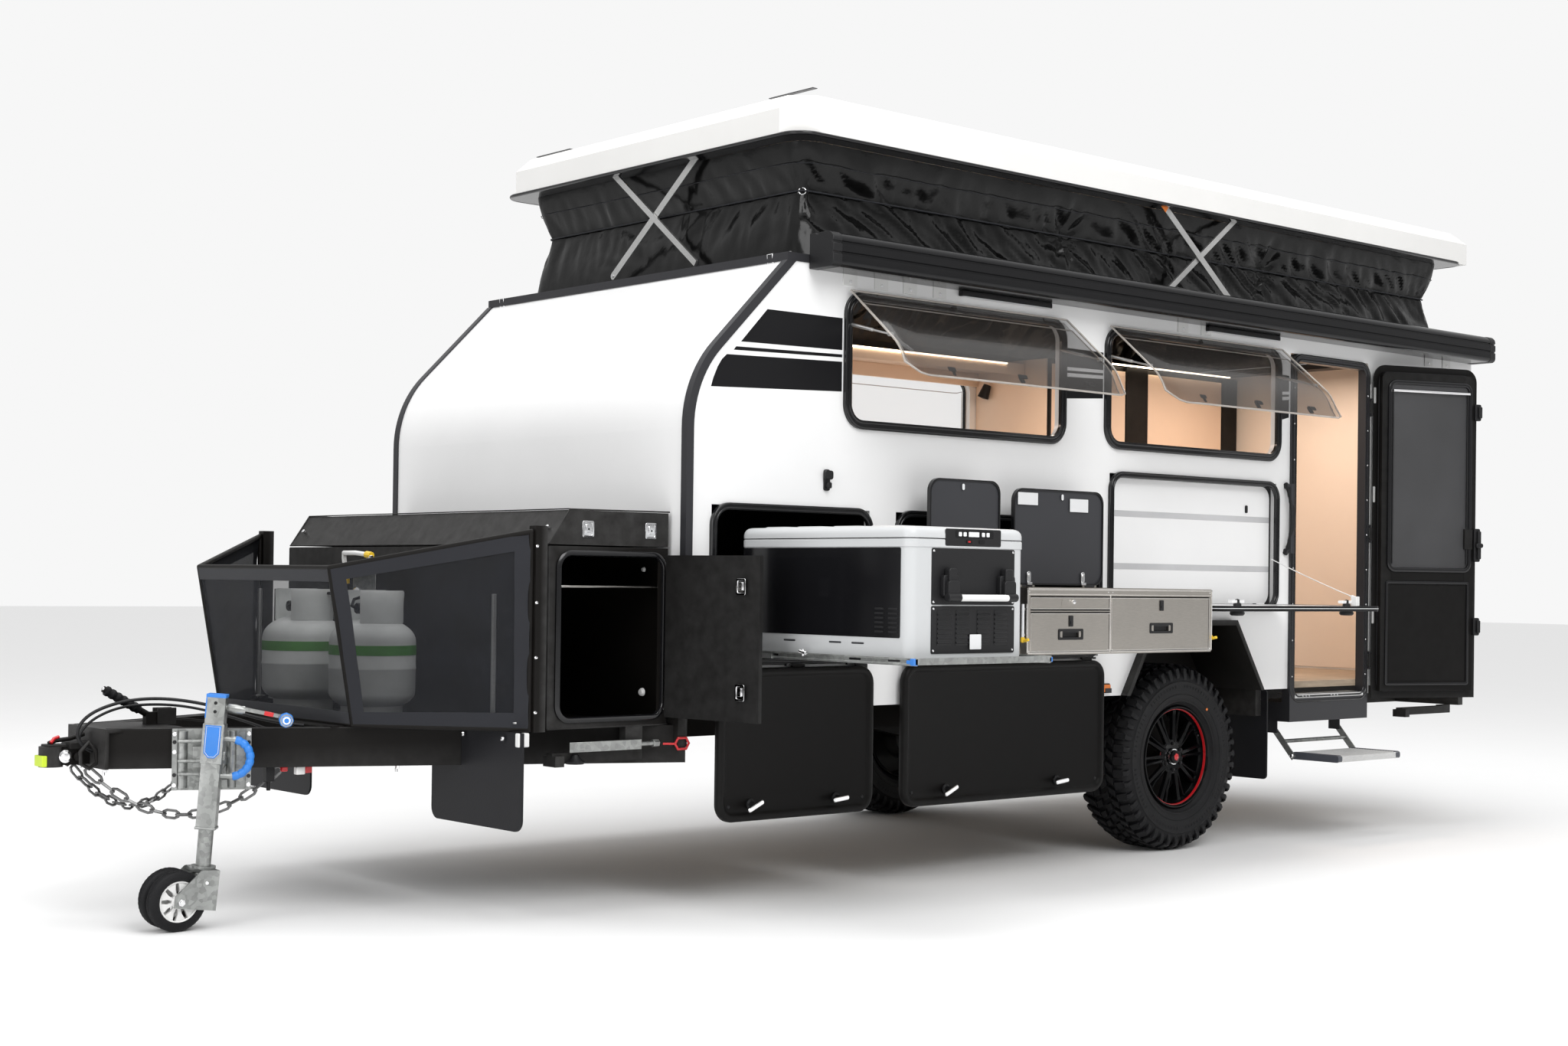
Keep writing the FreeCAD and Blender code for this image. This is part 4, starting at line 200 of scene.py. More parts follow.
@dataclass(frozen=True)
class Finish:
    """A surface finish, mixed once and shared by every piece that wears it."""

    name: str
    colour: Triple
    rough: float = 0.5
    metal: float = 0.0
    grain: Grain = Grain.PEEL
    scale: float = 260.0
    bump: float = 0.08
    drift: float = 0.12
    patch: float = 2.5
    rough_drift: float = 0.06
    wear: float = 0.0
    worn: Triple = (0.5, 0.5, 0.5)
    coat: float = 0.0
    sheen: float = 0.0
    alpha: float = 1.0
    glow: float = 0.0
    specular: float = 0.5
    along: Triple = (1.0, 1.0, 1.0)

    def material(self) -> bpy.types.Material:
        """Return the finish's material, mixing it the first time."""
        ready = bpy.data.materials.get(self.name)
        return ready if ready else self._mix()

    def _mix(self) -> bpy.types.Material:
        """Build the node tree.

        Returns:
            The new material.
        """
        material = bpy.data.materials.new(self.name)
        material.use_nodes = True
        tree = material.node_tree
        shader = next(n for n in tree.nodes if n.type == "BSDF_PRINCIPLED")
        for socket, value in {"Metallic": self.metal, "Coat Weight": self.coat, "Coat Roughness": COAT_ROUGHNESS,
                              "Sheen Weight": self.sheen, "Specular IOR Level": self.specular, "Alpha": self.alpha,
                              "Emission Strength": self.glow, "Emission Color": (*self.colour, 1.0)}.items():
            shader.inputs[socket].default_value = value
        place = tree.nodes.new("ShaderNodeTexCoord")
        patches = self._noise(tree, place, self.patch, 5.0, (1.0, 1.0, 1.0))
        colour = self._ramp(tree, patches.outputs["Fac"])
        self._roughen(tree, patches.outputs["Fac"], shader)
        grain = self._grain(tree, place)
        if self.grain in (Grain.WOOD, Grain.SPANGLE, Grain.WEAVE, Grain.BRUSHED):
            colour = self._tint(tree, colour, grain)
        if self.wear:
            colour = self._wear(tree, colour, place)
        tree.links.new(colour, shader.inputs["Base Color"])
        bump = add_node(tree, "ShaderNodeBump", Strength=min(1.0, self.bump * BUMP_GAIN), Distance=BUMP_DEPTH)
        tree.links.new(grain, bump.inputs["Height"])
        tree.links.new(bump.outputs["Normal"], shader.inputs["Normal"])
        return material

    def _noise(self, tree: bpy.types.NodeTree, place: bpy.types.Node, scale: float, detail: float,
               along: Triple) -> bpy.types.Node:
        """Return a noise texture on object coordinates, stretched by along.

        Args:
            tree: The node tree.
            place: Node that gives the object's coordinates.
            scale: The texture's scale.
            detail: Octaves of noise.
            along: Stretch on each axis.

        Returns:
            The noise node.
        """
        mapping = add_node(tree, "ShaderNodeMapping", Scale=along)
        tree.links.new(place.outputs["Object"], mapping.inputs["Vector"])
        texture = add_node(tree, "ShaderNodeTexNoise", Scale=scale, Detail=detail, Roughness=0.6)
        tree.links.new(mapping.outputs["Vector"], texture.inputs["Vector"])
        return texture

    def _ramp(self, tree: bpy.types.NodeTree, factor: bpy.types.NodeSocket) -> bpy.types.NodeSocket:
        """Return the base colour, which drifts darker and lighter in patches.

        Args:
            tree: The node tree.
            factor: Socket with the patches.

        Returns:
            Socket with the colour.
        """
        ramp = tree.nodes.new("ShaderNodeValToRGB")
        for stop, place, shift in zip(ramp.color_ramp.elements, (0.3, 0.7), (-self.drift, self.drift)):
            stop.position = place
            stop.color = (*(min(1.0, c * (1 + shift)) for c in self.colour), 1)
        tree.links.new(factor, ramp.inputs["Fac"])
        return ramp.outputs["Color"]

    def _roughen(self, tree: bpy.types.NodeTree, factor: bpy.types.NodeSocket,
                 shader: bpy.types.Node) -> None:
        """Let the gloss vary with the patches.

        Args:
            tree: The node tree.
            factor: Socket with the patches.
            shader: The surface shader.
        """
        span = add_node(tree, "ShaderNodeMapRange", To_Min=max(0.02, self.rough - self.rough_drift),
                        To_Max=min(1.0, self.rough + self.rough_drift))
        tree.links.new(factor, span.inputs["Value"])
        tree.links.new(span.outputs["Result"], shader.inputs["Roughness"])

    def _grain(self, tree: bpy.types.NodeTree, place: bpy.types.Node) -> bpy.types.NodeSocket:
        """Return the height of the small pattern.

        Args:
            tree: The node tree.
            place: Node that gives the object's coordinates.

        Returns:
            Socket with the height.
        """
        if self.grain in (Grain.PEBBLE, Grain.SPANGLE):
            cells = add_node(tree, "ShaderNodeTexVoronoi", Scale=self.scale)
            tree.links.new(place.outputs["Object"], cells.inputs["Vector"])
            return cells.outputs["Distance" if self.grain is Grain.PEBBLE else "Color"]
        if self.grain is Grain.WEAVE:
            return self._weave(tree, place)
        detail = 3.0 if self.grain is Grain.PEEL else 7.0
        return self._noise(tree, place, self.scale, detail, self.along).outputs["Fac"]

    def _weave(self, tree: bpy.types.NodeTree, place: bpy.types.Node) -> bpy.types.NodeSocket:
        """Return the height of threads that cross in three directions of space.

        Args:
            tree: The node tree.
            place: Node that gives the object's coordinates.

        Returns:
            Socket with the height.
        """
        total = None
        for axis in "XYZ":
            bands = add_node(tree, "ShaderNodeTexWave", Scale=self.scale, Distortion=0.6)
            bands.bands_direction = axis
            tree.links.new(place.outputs["Object"], bands.inputs["Vector"])
            if total is None:
                total = bands.outputs["Fac"]
                continue
            joined = tree.nodes.new("ShaderNodeMath")
            joined.operation = "MULTIPLY" if axis == "Z" else "ADD"
            tree.links.new(total, joined.inputs[0])
            tree.links.new(bands.outputs["Fac"], joined.inputs[1])
            total = joined.outputs["Value"]
        return total

    def _tint(self, tree: bpy.types.NodeTree, colour: bpy.types.NodeSocket,
              grain: bpy.types.NodeSocket) -> bpy.types.NodeSocket:
        """Return the colour darkened where the small pattern is low.

        Args:
            tree: The node tree.
            colour: Socket with the colour so far.
            grain: Socket with the small pattern's height.

        Returns:
            Socket with the colour.
        """
        shade = add_node(tree, "ShaderNodeMapRange", From_Min=0.25, From_Max=0.75, To_Min=0.62
                         if self.grain is Grain.WOOD else 0.8, To_Max=1.08)
        tree.links.new(grain, shade.inputs["Value"])
        mix = tree.nodes.new("ShaderNodeMix")
        mix.data_type = "RGBA"
        mix.blend_type = "MULTIPLY"
        mix.inputs["Factor"].default_value = 1.0
        tree.links.new(colour, mix.inputs["A"])
        tree.links.new(shade.outputs["Result"], mix.inputs["B"])
        return mix.outputs["Result"]

    def _wear(self, tree: bpy.types.NodeTree, colour: bpy.types.NodeSocket,
              place: bpy.types.Node) -> bpy.types.NodeSocket:
        """Return the colour with rubbed edges showing through.

        Args:
            tree: The node tree.
            colour: Socket with the colour so far.
            place: Node that gives the object's coordinates.

        Returns:
            Socket with the colour.
        """
        geometry = tree.nodes.new("ShaderNodeNewGeometry")
        edge = add_node(tree, "ShaderNodeMapRange", From_Min=0.52, From_Max=0.62, To_Max=self.wear)
        tree.links.new(geometry.outputs["Pointiness"], edge.inputs["Value"])
        rub = self._noise(tree, place, 22.0, 6.0, (1.0, 1.0, 1.0))
        amount = tree.nodes.new("ShaderNodeMath")
        amount.operation = "MULTIPLY"
        tree.links.new(edge.outputs["Result"], amount.inputs[0])
        tree.links.new(rub.outputs["Fac"], amount.inputs[1])
        mix = tree.nodes.new("ShaderNodeMix")
        mix.data_type = "RGBA"
        tree.links.new(amount.outputs["Value"], mix.inputs["Factor"])
        tree.links.new(colour, mix.inputs["A"])
        mix.inputs["B"].default_value = (*self.worn, 1)
        return mix.outputs["Result"]


WHITE_SKIN = Finish("white_skin", (0.86, 0.86, 0.86), rough=0.3, coat=0.25, bump=0.01, drift=0.015, scale=60)
WHITE_GRP = Finish("white_roof_skin", (0.77, 0.765, 0.75), rough=0.42, bump=0.03, drift=0.02, scale=380)
BLACK_TRIM = Finish("black_trim", (0.007, 0.007, 0.008), rough=0.3, bump=0.02, wear=0.05, specular=0.16)
STRIPE = Finish("black_stripe_film", (0.007, 0.007, 0.008), rough=0.36, bump=0.015, drift=0.05, specular=0.2)
POWDER = Finish("black_powder_coat", (0.006, 0.0052, 0.0046), rough=0.44, scale=900, bump=0.08, wear=0.1, specular=0.15)
SATIN = Finish("black_satin_panel", (0.005, 0.0046, 0.0044), rough=0.36, scale=700, bump=0.05, wear=0.05, specular=0.13)
PLASTIC = Finish("black_moulded_plastic", (0.010, 0.010, 0.011), rough=0.42, grain=Grain.PEBBLE, scale=900, bump=0.05,
                 specular=0.3)
GLOSS = Finish("black_gloss_seal", (0.006, 0.006, 0.007), rough=0.18, coat=0.25, bump=0.01, specular=0.35)
RUBBER = Finish("tyre_rubber", (0.006, 0.006, 0.007), specular=0.22, rough=0.46, grain=Grain.PEBBLE, scale=420,
                bump=0.12, drift=0.35, patch=9.0)
FLAP = Finish("flap_rubber_sheet", (0.011, 0.011, 0.013), rough=0.5, scale=160, bump=0.05, drift=0.2, specular=0.25)
ZINC = Finish("galvanised", (0.36, 0.37, 0.36), rough=0.4, metal=0.9, grain=Grain.SPANGLE, scale=70, bump=0.03,
              drift=0.2, patch=7.0, rough_drift=0.14, wear=0.3, worn=(0.8, 0.8, 0.8))
CHAIN = Finish("zinc_chain", (0.20, 0.20, 0.20), rough=0.36, metal=0.9, bump=0.1, scale=180, drift=0.35, patch=30.0)
CHROME = Finish("chrome", (0.86, 0.86, 0.87), rough=0.1, metal=1.0, bump=0.01, drift=0.04)
STAINLESS = Finish("brushed_stainless", (0.50, 0.47, 0.43), rough=0.3, metal=1.0, grain=Grain.BRUSHED, scale=60,
                   bump=0.03, drift=0.05, along=(0.6, 0.6, 22.0))
STEEL_EDGE = Finish("polished_steel_edge", (0.80, 0.77, 0.73), rough=0.22, metal=1.0, bump=0.01)
ALUMINIUM = Finish("clear_anodised", (0.74, 0.74, 0.73), rough=0.3, metal=0.9, grain=Grain.BRUSHED, scale=50, bump=0.02,
                   along=(1.0, 1.0, 14.0))
AWNING = Finish("charcoal_extrusion", (0.012, 0.012, 0.013), rough=0.2, metal=0.30, specular=0.35, grain=Grain.BRUSHED,
                scale=40, bump=0.01, drift=0.06, along=(0.5, 14.0, 14.0))
VINYL = Finish("tent_vinyl", (0.003, 0.003, 0.003), specular=0.24, rough=0.16, grain=Grain.CREASE, scale=11, bump=0.45,
               drift=0.25, patch=4.0, rough_drift=0.1)
HEM = Finish("hem_webbing", (0.016, 0.017, 0.022), rough=0.6, grain=Grain.WEAVE, scale=320, bump=0.1, sheen=0.1,
             specular=0.25)
MESH = Finish("guard_mesh", (0.013, 0.015, 0.022), rough=0.62, grain=Grain.WEAVE, scale=260, bump=0.25, drift=0.5,
              patch=5.0, sheen=0.06, alpha=0.70, specular=0.15)
# Darker, denser copy of the same guard mesh for the far (off-side) panel: painted shade.
SHADED_FAR_MESH = Finish("guard_mesh_far_painted_shade", (0.008, 0.009, 0.013), rough=0.62, grain=Grain.WEAVE, scale=260, bump=0.25,
                   drift=0.5, patch=5.0, alpha=0.96, specular=0.12)
ACRYLIC = Finish("smoked_acrylic", (0.030, 0.027, 0.025), rough=0.05, bump=0.0, drift=0.05, alpha=0.45, specular=0.5)
# Pale, glossy rim acrylic: a painted highlight along the edges of the smoked panes.
ACRYLIC_RIM_HIGHLIGHT = Finish("acrylic_rim_painted_highlight", (0.5, 0.46, 0.42), rough=0.1, bump=0.0, alpha=0.62, specular=1.0)
CLEAR_PANE = Finish("clear_acrylic", (0.5, 0.5, 0.5), rough=0.05, bump=0.0, drift=0.05, alpha=0.10, specular=0.4)
WOOD = Finish("cream_panel", (0.88, 0.69, 0.54), rough=0.55, scale=80, bump=0.02, drift=0.04, patch=1.5)
OAK = Finish("grey_oak_board", (0.42, 0.33, 0.24), rough=0.5, grain=Grain.WOOD, scale=7, bump=0.04, drift=0.2,
             patch=3.0, along=(1.0, 1.0, 9.0))
BENCH = Finish("bench_board", (0.74, 0.58, 0.44), rough=0.5, grain=Grain.WOOD, scale=5, bump=0.02, drift=0.04,
               along=(0.5, 0.5, 5.0))
FRIDGE = Finish("fridge_shell", (0.70, 0.71, 0.72), rough=0.4, grain=Grain.PEBBLE, scale=700, bump=0.05, drift=0.03)
LID = Finish("graphite_glass_lid", (0.040, 0.041, 0.046), specular=0.3, rough=0.4, scale=900, bump=0.05, drift=0.06)
PAPER = Finish("bare_label", (0.74, 0.75, 0.76), rough=0.55, scale=300, bump=0.02, drift=0.05)
BLUE = Finish("blue_moulding", (0.02, 0.19, 0.62), rough=0.35, bump=0.03, scale=400, drift=0.12, wear=0.15)
RED = Finish("red_enamel", (0.55, 0.015, 0.02), rough=0.28, coat=0.3, bump=0.02, drift=0.1)
ORANGE = Finish("amber_lens", (0.85, 0.22, 0.03), rough=0.2, bump=0.05, scale=300, drift=0.1)
YELLOW = Finish("yellow_knob", (0.80, 0.52, 0.03), rough=0.35, bump=0.03, drift=0.08)
LIME = Finish("lime_marker", (0.55, 0.72, 0.03), rough=0.4, bump=0.02)
TAIL_LENS = Finish("red_lens", (0.42, 0.01, 0.012), rough=0.16, bump=0.06, scale=220, coat=0.4)
WHITE_PLASTIC = Finish("white_moulding", (0.76, 0.76, 0.75), rough=0.38, scale=300, bump=0.03, drift=0.03)
BOTTLE = Finish("bottle_grey_paint", (0.78, 0.80, 0.79), rough=0.42, bump=0.05, drift=0.12, patch=6.0, wear=0.3,
                worn=(0.25, 0.22, 0.2))
GREEN = Finish("green_band", (0.09, 0.33, 0.05), rough=0.45, bump=0.02, drift=0.15, patch=14.0)
WARM_LAMP = Finish("ceiling_diffuser", (1.0, 0.84, 0.64), rough=0.4, bump=0.0, drift=0.02, glow=7.0)
CUSHION = Finish("seat_fabric", (0.20, 0.20, 0.21), rough=0.8, grain=Grain.WEAVE, scale=300, bump=0.15, sheen=0.3)
RIM_BLACK = Finish("gloss_black_rim", (0.003, 0.003, 0.0035), rough=0.16, bump=0.01, drift=0.2, specular=0.16)


class Stock:
    """Mesh being worked in frame metres, which becomes one named piece."""

    def __init__(self) -> None:
        """Start with nothing."""
        self.mesh = bmesh.new()

    def skin(self, rings: Sequence[Sequence[Vector]], around: bool = True, back: bool = False,
             caps: bool = True) -> "Stock":
        """Join equal rings of points with faces.

        Args:
            rings: Rings or rows of points, each as long as the next.
            around: Whether each ring closes on itself.
            back: Whether the last ring joins the first.
            caps: Whether the ends are filled.

        Returns:
            This stock.
        """
        rows = [[self.mesh.verts.new(p) for p in ring] for ring in rings]
        pairs = list(zip(rows, rows[1:])) + ([(rows[-1], rows[0])] if back else [])
        for low, high in pairs:
            count = len(low)
            for k in range(count if around else count - 1):
                n = (k + 1) % count
                self.mesh.faces.new((low[k], low[n], high[n], high[k]))
        if caps and around and not back:
            self.mesh.faces.new(list(reversed(rows[0])))
            self.mesh.faces.new(rows[-1])
        return self

    def block(self, low: Triple, high: Triple) -> "Stock":
        """Add a box between two corners given in body metres.

        Args:
            low: Low corner.
            high: High corner.

        Returns:
            This stock.
        """
        (x0, y0, z0), (x1, y1, z1) = low, high
        ring = [(x0, y0), (x1, y0), (x1, y1), (x0, y1)]
        return self.skin([[at(x, y, z) for x, y in ring] for z in (z0, z1)])

    def plate(self, outline: Outline, place: Placer, thick: Triple) -> "Stock":
        """Add a flat plate with an outline, from its face through its thickness vector.

        Args:
            outline: The outline's points.
            place: Placer of the outline's plane.
            thick: Vector through the thickness.

        Returns:
            This stock.
        """
        step = Vector(thick)
        face = [place(a, b) for a, b in outline]
        return self.skin([face, [p + step for p in face]])

    def loop(self, sections: Sequence[tuple[Outline, float]], place: Callable[[float], Placer]) -> "Stock":
        """Add a closed frame whose section runs through outlines at given depths."""
        rings = [[place(depth)(a, b) for a, b in outline] for outline, depth in sections]
        return self.skin(rings, back=True)

    def pad(self, bounds: Bounds, radius: float, steps: int, y: float, thick: float,
            plane: Callable[[float], Placer] = on_wall) -> "Stock":
        """Add a round-cornered pad that stands off an upright plane at y by a signed thickness."""
        return self.plate(rounded(*bounds, radius, steps), plane(y), (0, thick, 0))

    def end_pad(self, bounds: Bounds, radius: float, steps: int, x: float, thick: float) -> "Stock":
        """Add a round-cornered pad that stands off a cross plane at x by a signed thickness."""
        return self.plate(rounded(*bounds, radius, steps), on_end(x), (thick, 0, 0))

    def bar(self, start: Vector, end: Vector, radius: float, sides: int = 16) -> "Stock":
        """Add a round bar between two frame points.

        Args:
            start: Middle of one end.
            end: Middle of the other end.
            radius: Radius in metres.
            sides: Facets round it.

        Returns:
            This stock.
        """
        along = (end - start).normalized()
        across = along.orthogonal().normalized()
        other = along.cross(across)
        return self.skin([circle(spot, across, other, radius, sides) for spot in (start, end)])

    def tube(self, path: Sequence[Vector], radius: float, sides: int = 8, closed: bool = False) -> "Stock":
        """Add a bent bar that follows a run of points.

        Args:
            path: Points to follow.
            radius: Radius in metres.
            sides: Facets round it.
            closed: Whether its ends join.

        Returns:
            This stock.
        """
        rings = []
        count = len(path)
        across = (path[1] - path[0]).orthogonal().normalized()
        for k, spot in enumerate(path):
            ahead = path[(k + 1) % count] if closed or k < count - 1 else spot
            behind = path[k - 1] if closed or k else spot
            along = (ahead - behind).normalized()
            across = (across - along * across.dot(along)).normalized()
            rings.append(circle(spot, across, along.cross(across), radius, sides))
        return self.skin(rings, back=closed, caps=not closed)

    def lathe(self, profile: Outline, centre: Vector, axis: Vector, sides: int = 48,
              closed: bool = False) -> "Stock":
        """Turn a profile of (radius, distance along the axis) about an axis.

        Args:
            profile: Pairs of radius and distance along the axis.
            centre: Where the axis starts.
            axis: The axis's direction.
            sides: Facets round it.
            closed: Whether its ends join.

        Returns:
            This stock.
        """
        axis = axis.normalized()
        across = axis.orthogonal().normalized()
        other = axis.cross(across)
        return self.skin([circle(centre + axis * d, across, other, r, sides) for r, d in profile], back=closed)

    def studs(self, spots: Iterable[Triple], profile: Outline, axis: Vector, sides: int) -> "Stock":
        """Turn the same profile at several spots given in body metres.

        Args:
            spots: Places in body metres.
            profile: Pairs of radius and distance along the axis.
            axis: The axis's direction.
            sides: Facets round it.

        Returns:
            This stock.
        """
        for spot in spots:
            self.lathe(profile, at(*spot), axis, sides)
        return self

    def blocks(self, bounds: Iterable[tuple[float, ...]]) -> "Stock":
        """Add boxes, each given by its low and then its high corner.

        Args:
            bounds: Six bounds of each box.

        Returns:
            This stock.
        """
        for x0, y0, z0, x1, y1, z1 in bounds:
            self.block((x0, y0, z0), (x1, y1, z1))
        return self

    def turn(self, matrix: Matrix) -> "Stock":
        """Move everything made so far by a matrix."""
        self.mesh.transform(matrix)
        return self

    def make(self, name: str, finish: Finish, body: str = "trailer", bevel: float = 0.0, angle: float = 35.0,
             slot: str | None = None, tilt: Matrix | None = None) -> bpy.types.Object:
        """Finish the mesh as a piece that rides on a body.

        Args:
            name: The piece's name.
            finish: What it is coated with.
            body: The CAD body that carries it.
            bevel: Width of the rounded edges in metres.
            angle: Smooth shading up to this many degrees between faces.
            slot: Not used.
            tilt: A last placing move.

        Returns:
            The new object.
        """
        bmesh.ops.recalc_face_normals(self.mesh, faces=self.mesh.faces)
        mesh = bpy.data.meshes.new(name)
        self.mesh.to_mesh(mesh)
        self.mesh.free()
        if tilt is not None:
            mesh.transform(tilt)
        mesh.materials.append(finish.material())
        mesh.shade_smooth()
        mesh.set_sharp_from_angle(angle=math.radians(angle))
        piece = show(name, mesh)
        if bevel:
            rounding = piece.modifiers.new("Rounded edges", "BEVEL")
            rounding.width = bevel
            rounding.segments = 2
            rounding.limit_method = "ANGLE"
            rounding.angle_limit = math.radians(BEVEL_ANGLE)
            rounding.use_clamp_overlap = True
        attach(piece, body)
        LOG.info("made %s on %s: %d faces", name, body, len(mesh.polygons))
        return piece


class Assembly:
    """Sub-assembly whose pieces ride on one body, unless a call names another."""

    body: str = "trailer"
    slot: str = "black_trim"

    def fit(self, stock: Stock, name: str, finish: Finish, **how: float | str | Matrix) -> bpy.types.Object:
        """Make a piece of this sub-assembly."""
        return stock.make(name, finish, **{"body": self.body, "slot": self.slot, **how})


def hinge_turn(point: Vector, axis: Vector, degrees: float) -> Matrix:
    """Return the matrix that turns things about an axis through a point."""
    return Matrix.Translation(point) @ Matrix.Rotation(math.radians(degrees), 4, axis) @ Matrix.Translation(-point)


@dataclass
class Studio:
    """Camera at the photograph's place, pale floor and soft lights."""

    camera_at: Triple = (-2.6763, -6.6777, 0.6337)
    yaw: float = 0.8510
    pitch: float = 0.0095
    roll: float = 0.0131
    focal: float = 48.14
    shift_x: float = -0.0054
    shift_y: float = 0.0239
    floor_half: float = 60.0
    horizon: float = 0.30
    sky: float = 1.05
    backdrop: float = 0.93

    def build(self) -> None:
        """Set the camera, the floor, the world and the lights."""
        bpy.context.scene.view_settings.view_transform = "Standard"
        self._camera()
        self._floor()
        self._world()
        self._light("key", (1.0, -7.5, 6.5), (3.6, 0.0, 0.6), 5.0, 400.0)
        self._light("fill", (-6.5, -3.0, 3.2), (2.6, 0.0, 0.6), 4.0, 190.0)
        self._light("top", (3.6, 0.5, 7.5), (3.6, 0.0, 0.0), 6.5, 300.0)
        for k, (x, y) in enumerate(((1.30, 0.0), (2.90, -0.10), (4.30, -0.30))):
            self._light(f"cabin_{k + 1}", tuple(at(x, y, 2.26)), tuple(at(x, y, 1.0)), 0.7, 11.0, (1.0, 0.80, 0.66))

    def _camera(self) -> None:
        """Make the camera from the solved view."""
        data = bpy.data.cameras.new("camera")
        data.sensor_width = 36.0
        data.lens = self.focal
        data.shift_x = self.shift_x
        data.shift_y = self.shift_y
        data.clip_end = 200.0
        data.dof.use_dof = False
        camera = show("camera", data)
        ahead = Vector((math.cos(self.yaw) * math.cos(self.pitch), math.sin(self.yaw) * math.cos(self.pitch),
                        math.sin(self.pitch)))
        right = Vector((math.sin(self.yaw), -math.cos(self.yaw), 0.0))
        up = right.cross(ahead)
        side = right * math.cos(self.roll) + up * math.sin(self.roll)
        head = up * math.cos(self.roll) - right * math.sin(self.roll)
        turn = Matrix((side, head, -ahead)).transposed().to_4x4()
        camera.matrix_world = Matrix.Translation(Vector(self.camera_at)) @ turn
        bpy.context.scene.camera = camera

    def _floor(self) -> None:
        """Lay the pale floor."""
        stock = bmesh.new()
        bmesh.ops.create_grid(stock, x_segments=1, y_segments=1, size=self.floor_half)
        mesh = bpy.data.meshes.new("floor_plane")
        stock.to_mesh(mesh)
        stock.free()
        mesh.materials.append(Finish("studio_floor", (0.86, 0.86, 0.86), rough=0.9, bump=0.0, drift=0.005,
                                     specular=0.1).material())
        plane = show("floor_plane", mesh)
        plane.location = (3.5, 0.0, -HITCH_Z)

    def _world(self) -> None:
        """Surround the set with white light that is dimmer at the horizon, behind a pale backdrop."""
        world = bpy.data.worlds.new("studio")
        world.use_nodes = True
        tree = world.node_tree
        lit = tree.nodes["Background"]
        place = tree.nodes.new("ShaderNodeTexCoord")
        split = tree.nodes.new("ShaderNodeSeparateXYZ")
        ramp = tree.nodes.new("ShaderNodeValToRGB")
        for stop, place_on, grey in zip(ramp.color_ramp.elements, (0.0, 0.75), (self.horizon, 1.0)):
            stop.position = place_on
            stop.color = (grey, grey, grey, 1.0)
        tree.links.new(place.outputs["Generated"], split.inputs["Vector"])
        tree.links.new(split.outputs["Z"], ramp.inputs["Fac"])
        tree.links.new(ramp.outputs["Color"], lit.inputs["Color"])
        lit.inputs["Strength"].default_value = self.sky
        backdrop = add_node(tree, "ShaderNodeBackground", Color=(1.0, 1.0, 1.0, 1.0), Strength=self.backdrop)
        seen = tree.nodes.new("ShaderNodeLightPath")
        mix = tree.nodes.new("ShaderNodeMixShader")
        tree.links.new(seen.outputs["Is Camera Ray"], mix.inputs["Fac"])
        tree.links.new(lit.outputs["Background"], mix.inputs[1])
        tree.links.new(backdrop.outputs["Background"], mix.inputs[2])
        tree.links.new(mix.outputs["Shader"], tree.nodes["World Output"].inputs["Surface"])
        bpy.context.scene.world = world

    def _light(self, name: str, place: Triple, aim: Triple,
               size: float, power: float, colour: Triple = (1.0, 1.0, 1.0)) -> None:
        """Hang one soft square light that points at a spot.

        Args:
            name: Its name.
            place: Where it hangs.
            aim: What it points at.
            size: Side of the square in metres.
            power: Watts.
            colour: The light's colour.
        """
        data = bpy.data.lights.new(name, "AREA")
        data.energy = power
        data.color = colour
        data.size = size
        lamp = show(name, data)
        lamp.location = place
        lamp.rotation_euler = (Vector(aim) - Vector(place)).to_track_quat("-Z", "Y").to_euler()


NODE_FINISH: dict[str, Finish] = {
    "chassis": POWDER, "coupling": POWDER, "handbrake": POWDER, "jockey_bracket": ZINC, "stabiliser_legs": POWDER,
    "safety_chains": CHAIN, "side_wall_kerb": WHITE_SKIN, "side_wall_off": WHITE_SKIN, "front_wall": WHITE_SKIN,
    "rear_wall": WHITE_SKIN, "floor": OAK, "body_trims": BLACK_TRIM, "wheel_arches": POWDER,
    "window_frames": GLOSS, "window_panes": ACRYLIC, "door_frame": BLACK_TRIM, "hatch_frames": GLOSS,
    "storage": SATIN, "interior_bench": BENCH, "front_box": POWDER, "guard_frame": POWDER, "guard_mesh": MESH,
    "gas_bottles": BOTTLE, "mudflaps": FLAP, "suspension": POWDER, "tent_skirt": VINYL, "awning": AWNING,
    "tyre_kerb": RUBBER, "wheel_kerb": RIM_BLACK, "tyre_off": RUBBER, "wheel_off": RIM_BLACK,
    "jockey_column": ZINC, "jockey_leg": ZINC, "jockey_fork": ZINC, "jockey_wheels": RUBBER,
    "entry_door": SATIN, "box_door": SATIN, "box_lid": POWDER, "fridge_hatch": SATIN, "kitchen_hatch": SATIN,
    "table": WHITE_SKIN, "roof": WHITE_GRP, "ends_low_bars": ALUMINIUM, "ends_high_bars": ALUMINIUM,
    "sides_low_bars": ALUMINIUM, "sides_high_bars": ALUMINIUM, "fridge_rails": ZINC, "fridge_slide": ZINC,
    "fridge_tub": FRIDGE, "fridge_lid": FRIDGE, "kitchen_rails": ZINC, "kitchen_unit": STAINLESS,
    "drawer_top": STAINLESS, "drawer_low": STAINLESS, "drawer_wide": STAINLESS, "kitchen_lid_small": LID,
    "kitchen_lid_large": LID, "step_arms": ZINC, "step_tread": ALUMINIUM,
}


def dress_frame() -> None:
    """Give every CAD node its finish."""
    for name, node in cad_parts.items():
        node.data.materials.clear()
        node.data.materials.append(NODE_FINISH[name].material())
        LOG.info("dressed %s", name)


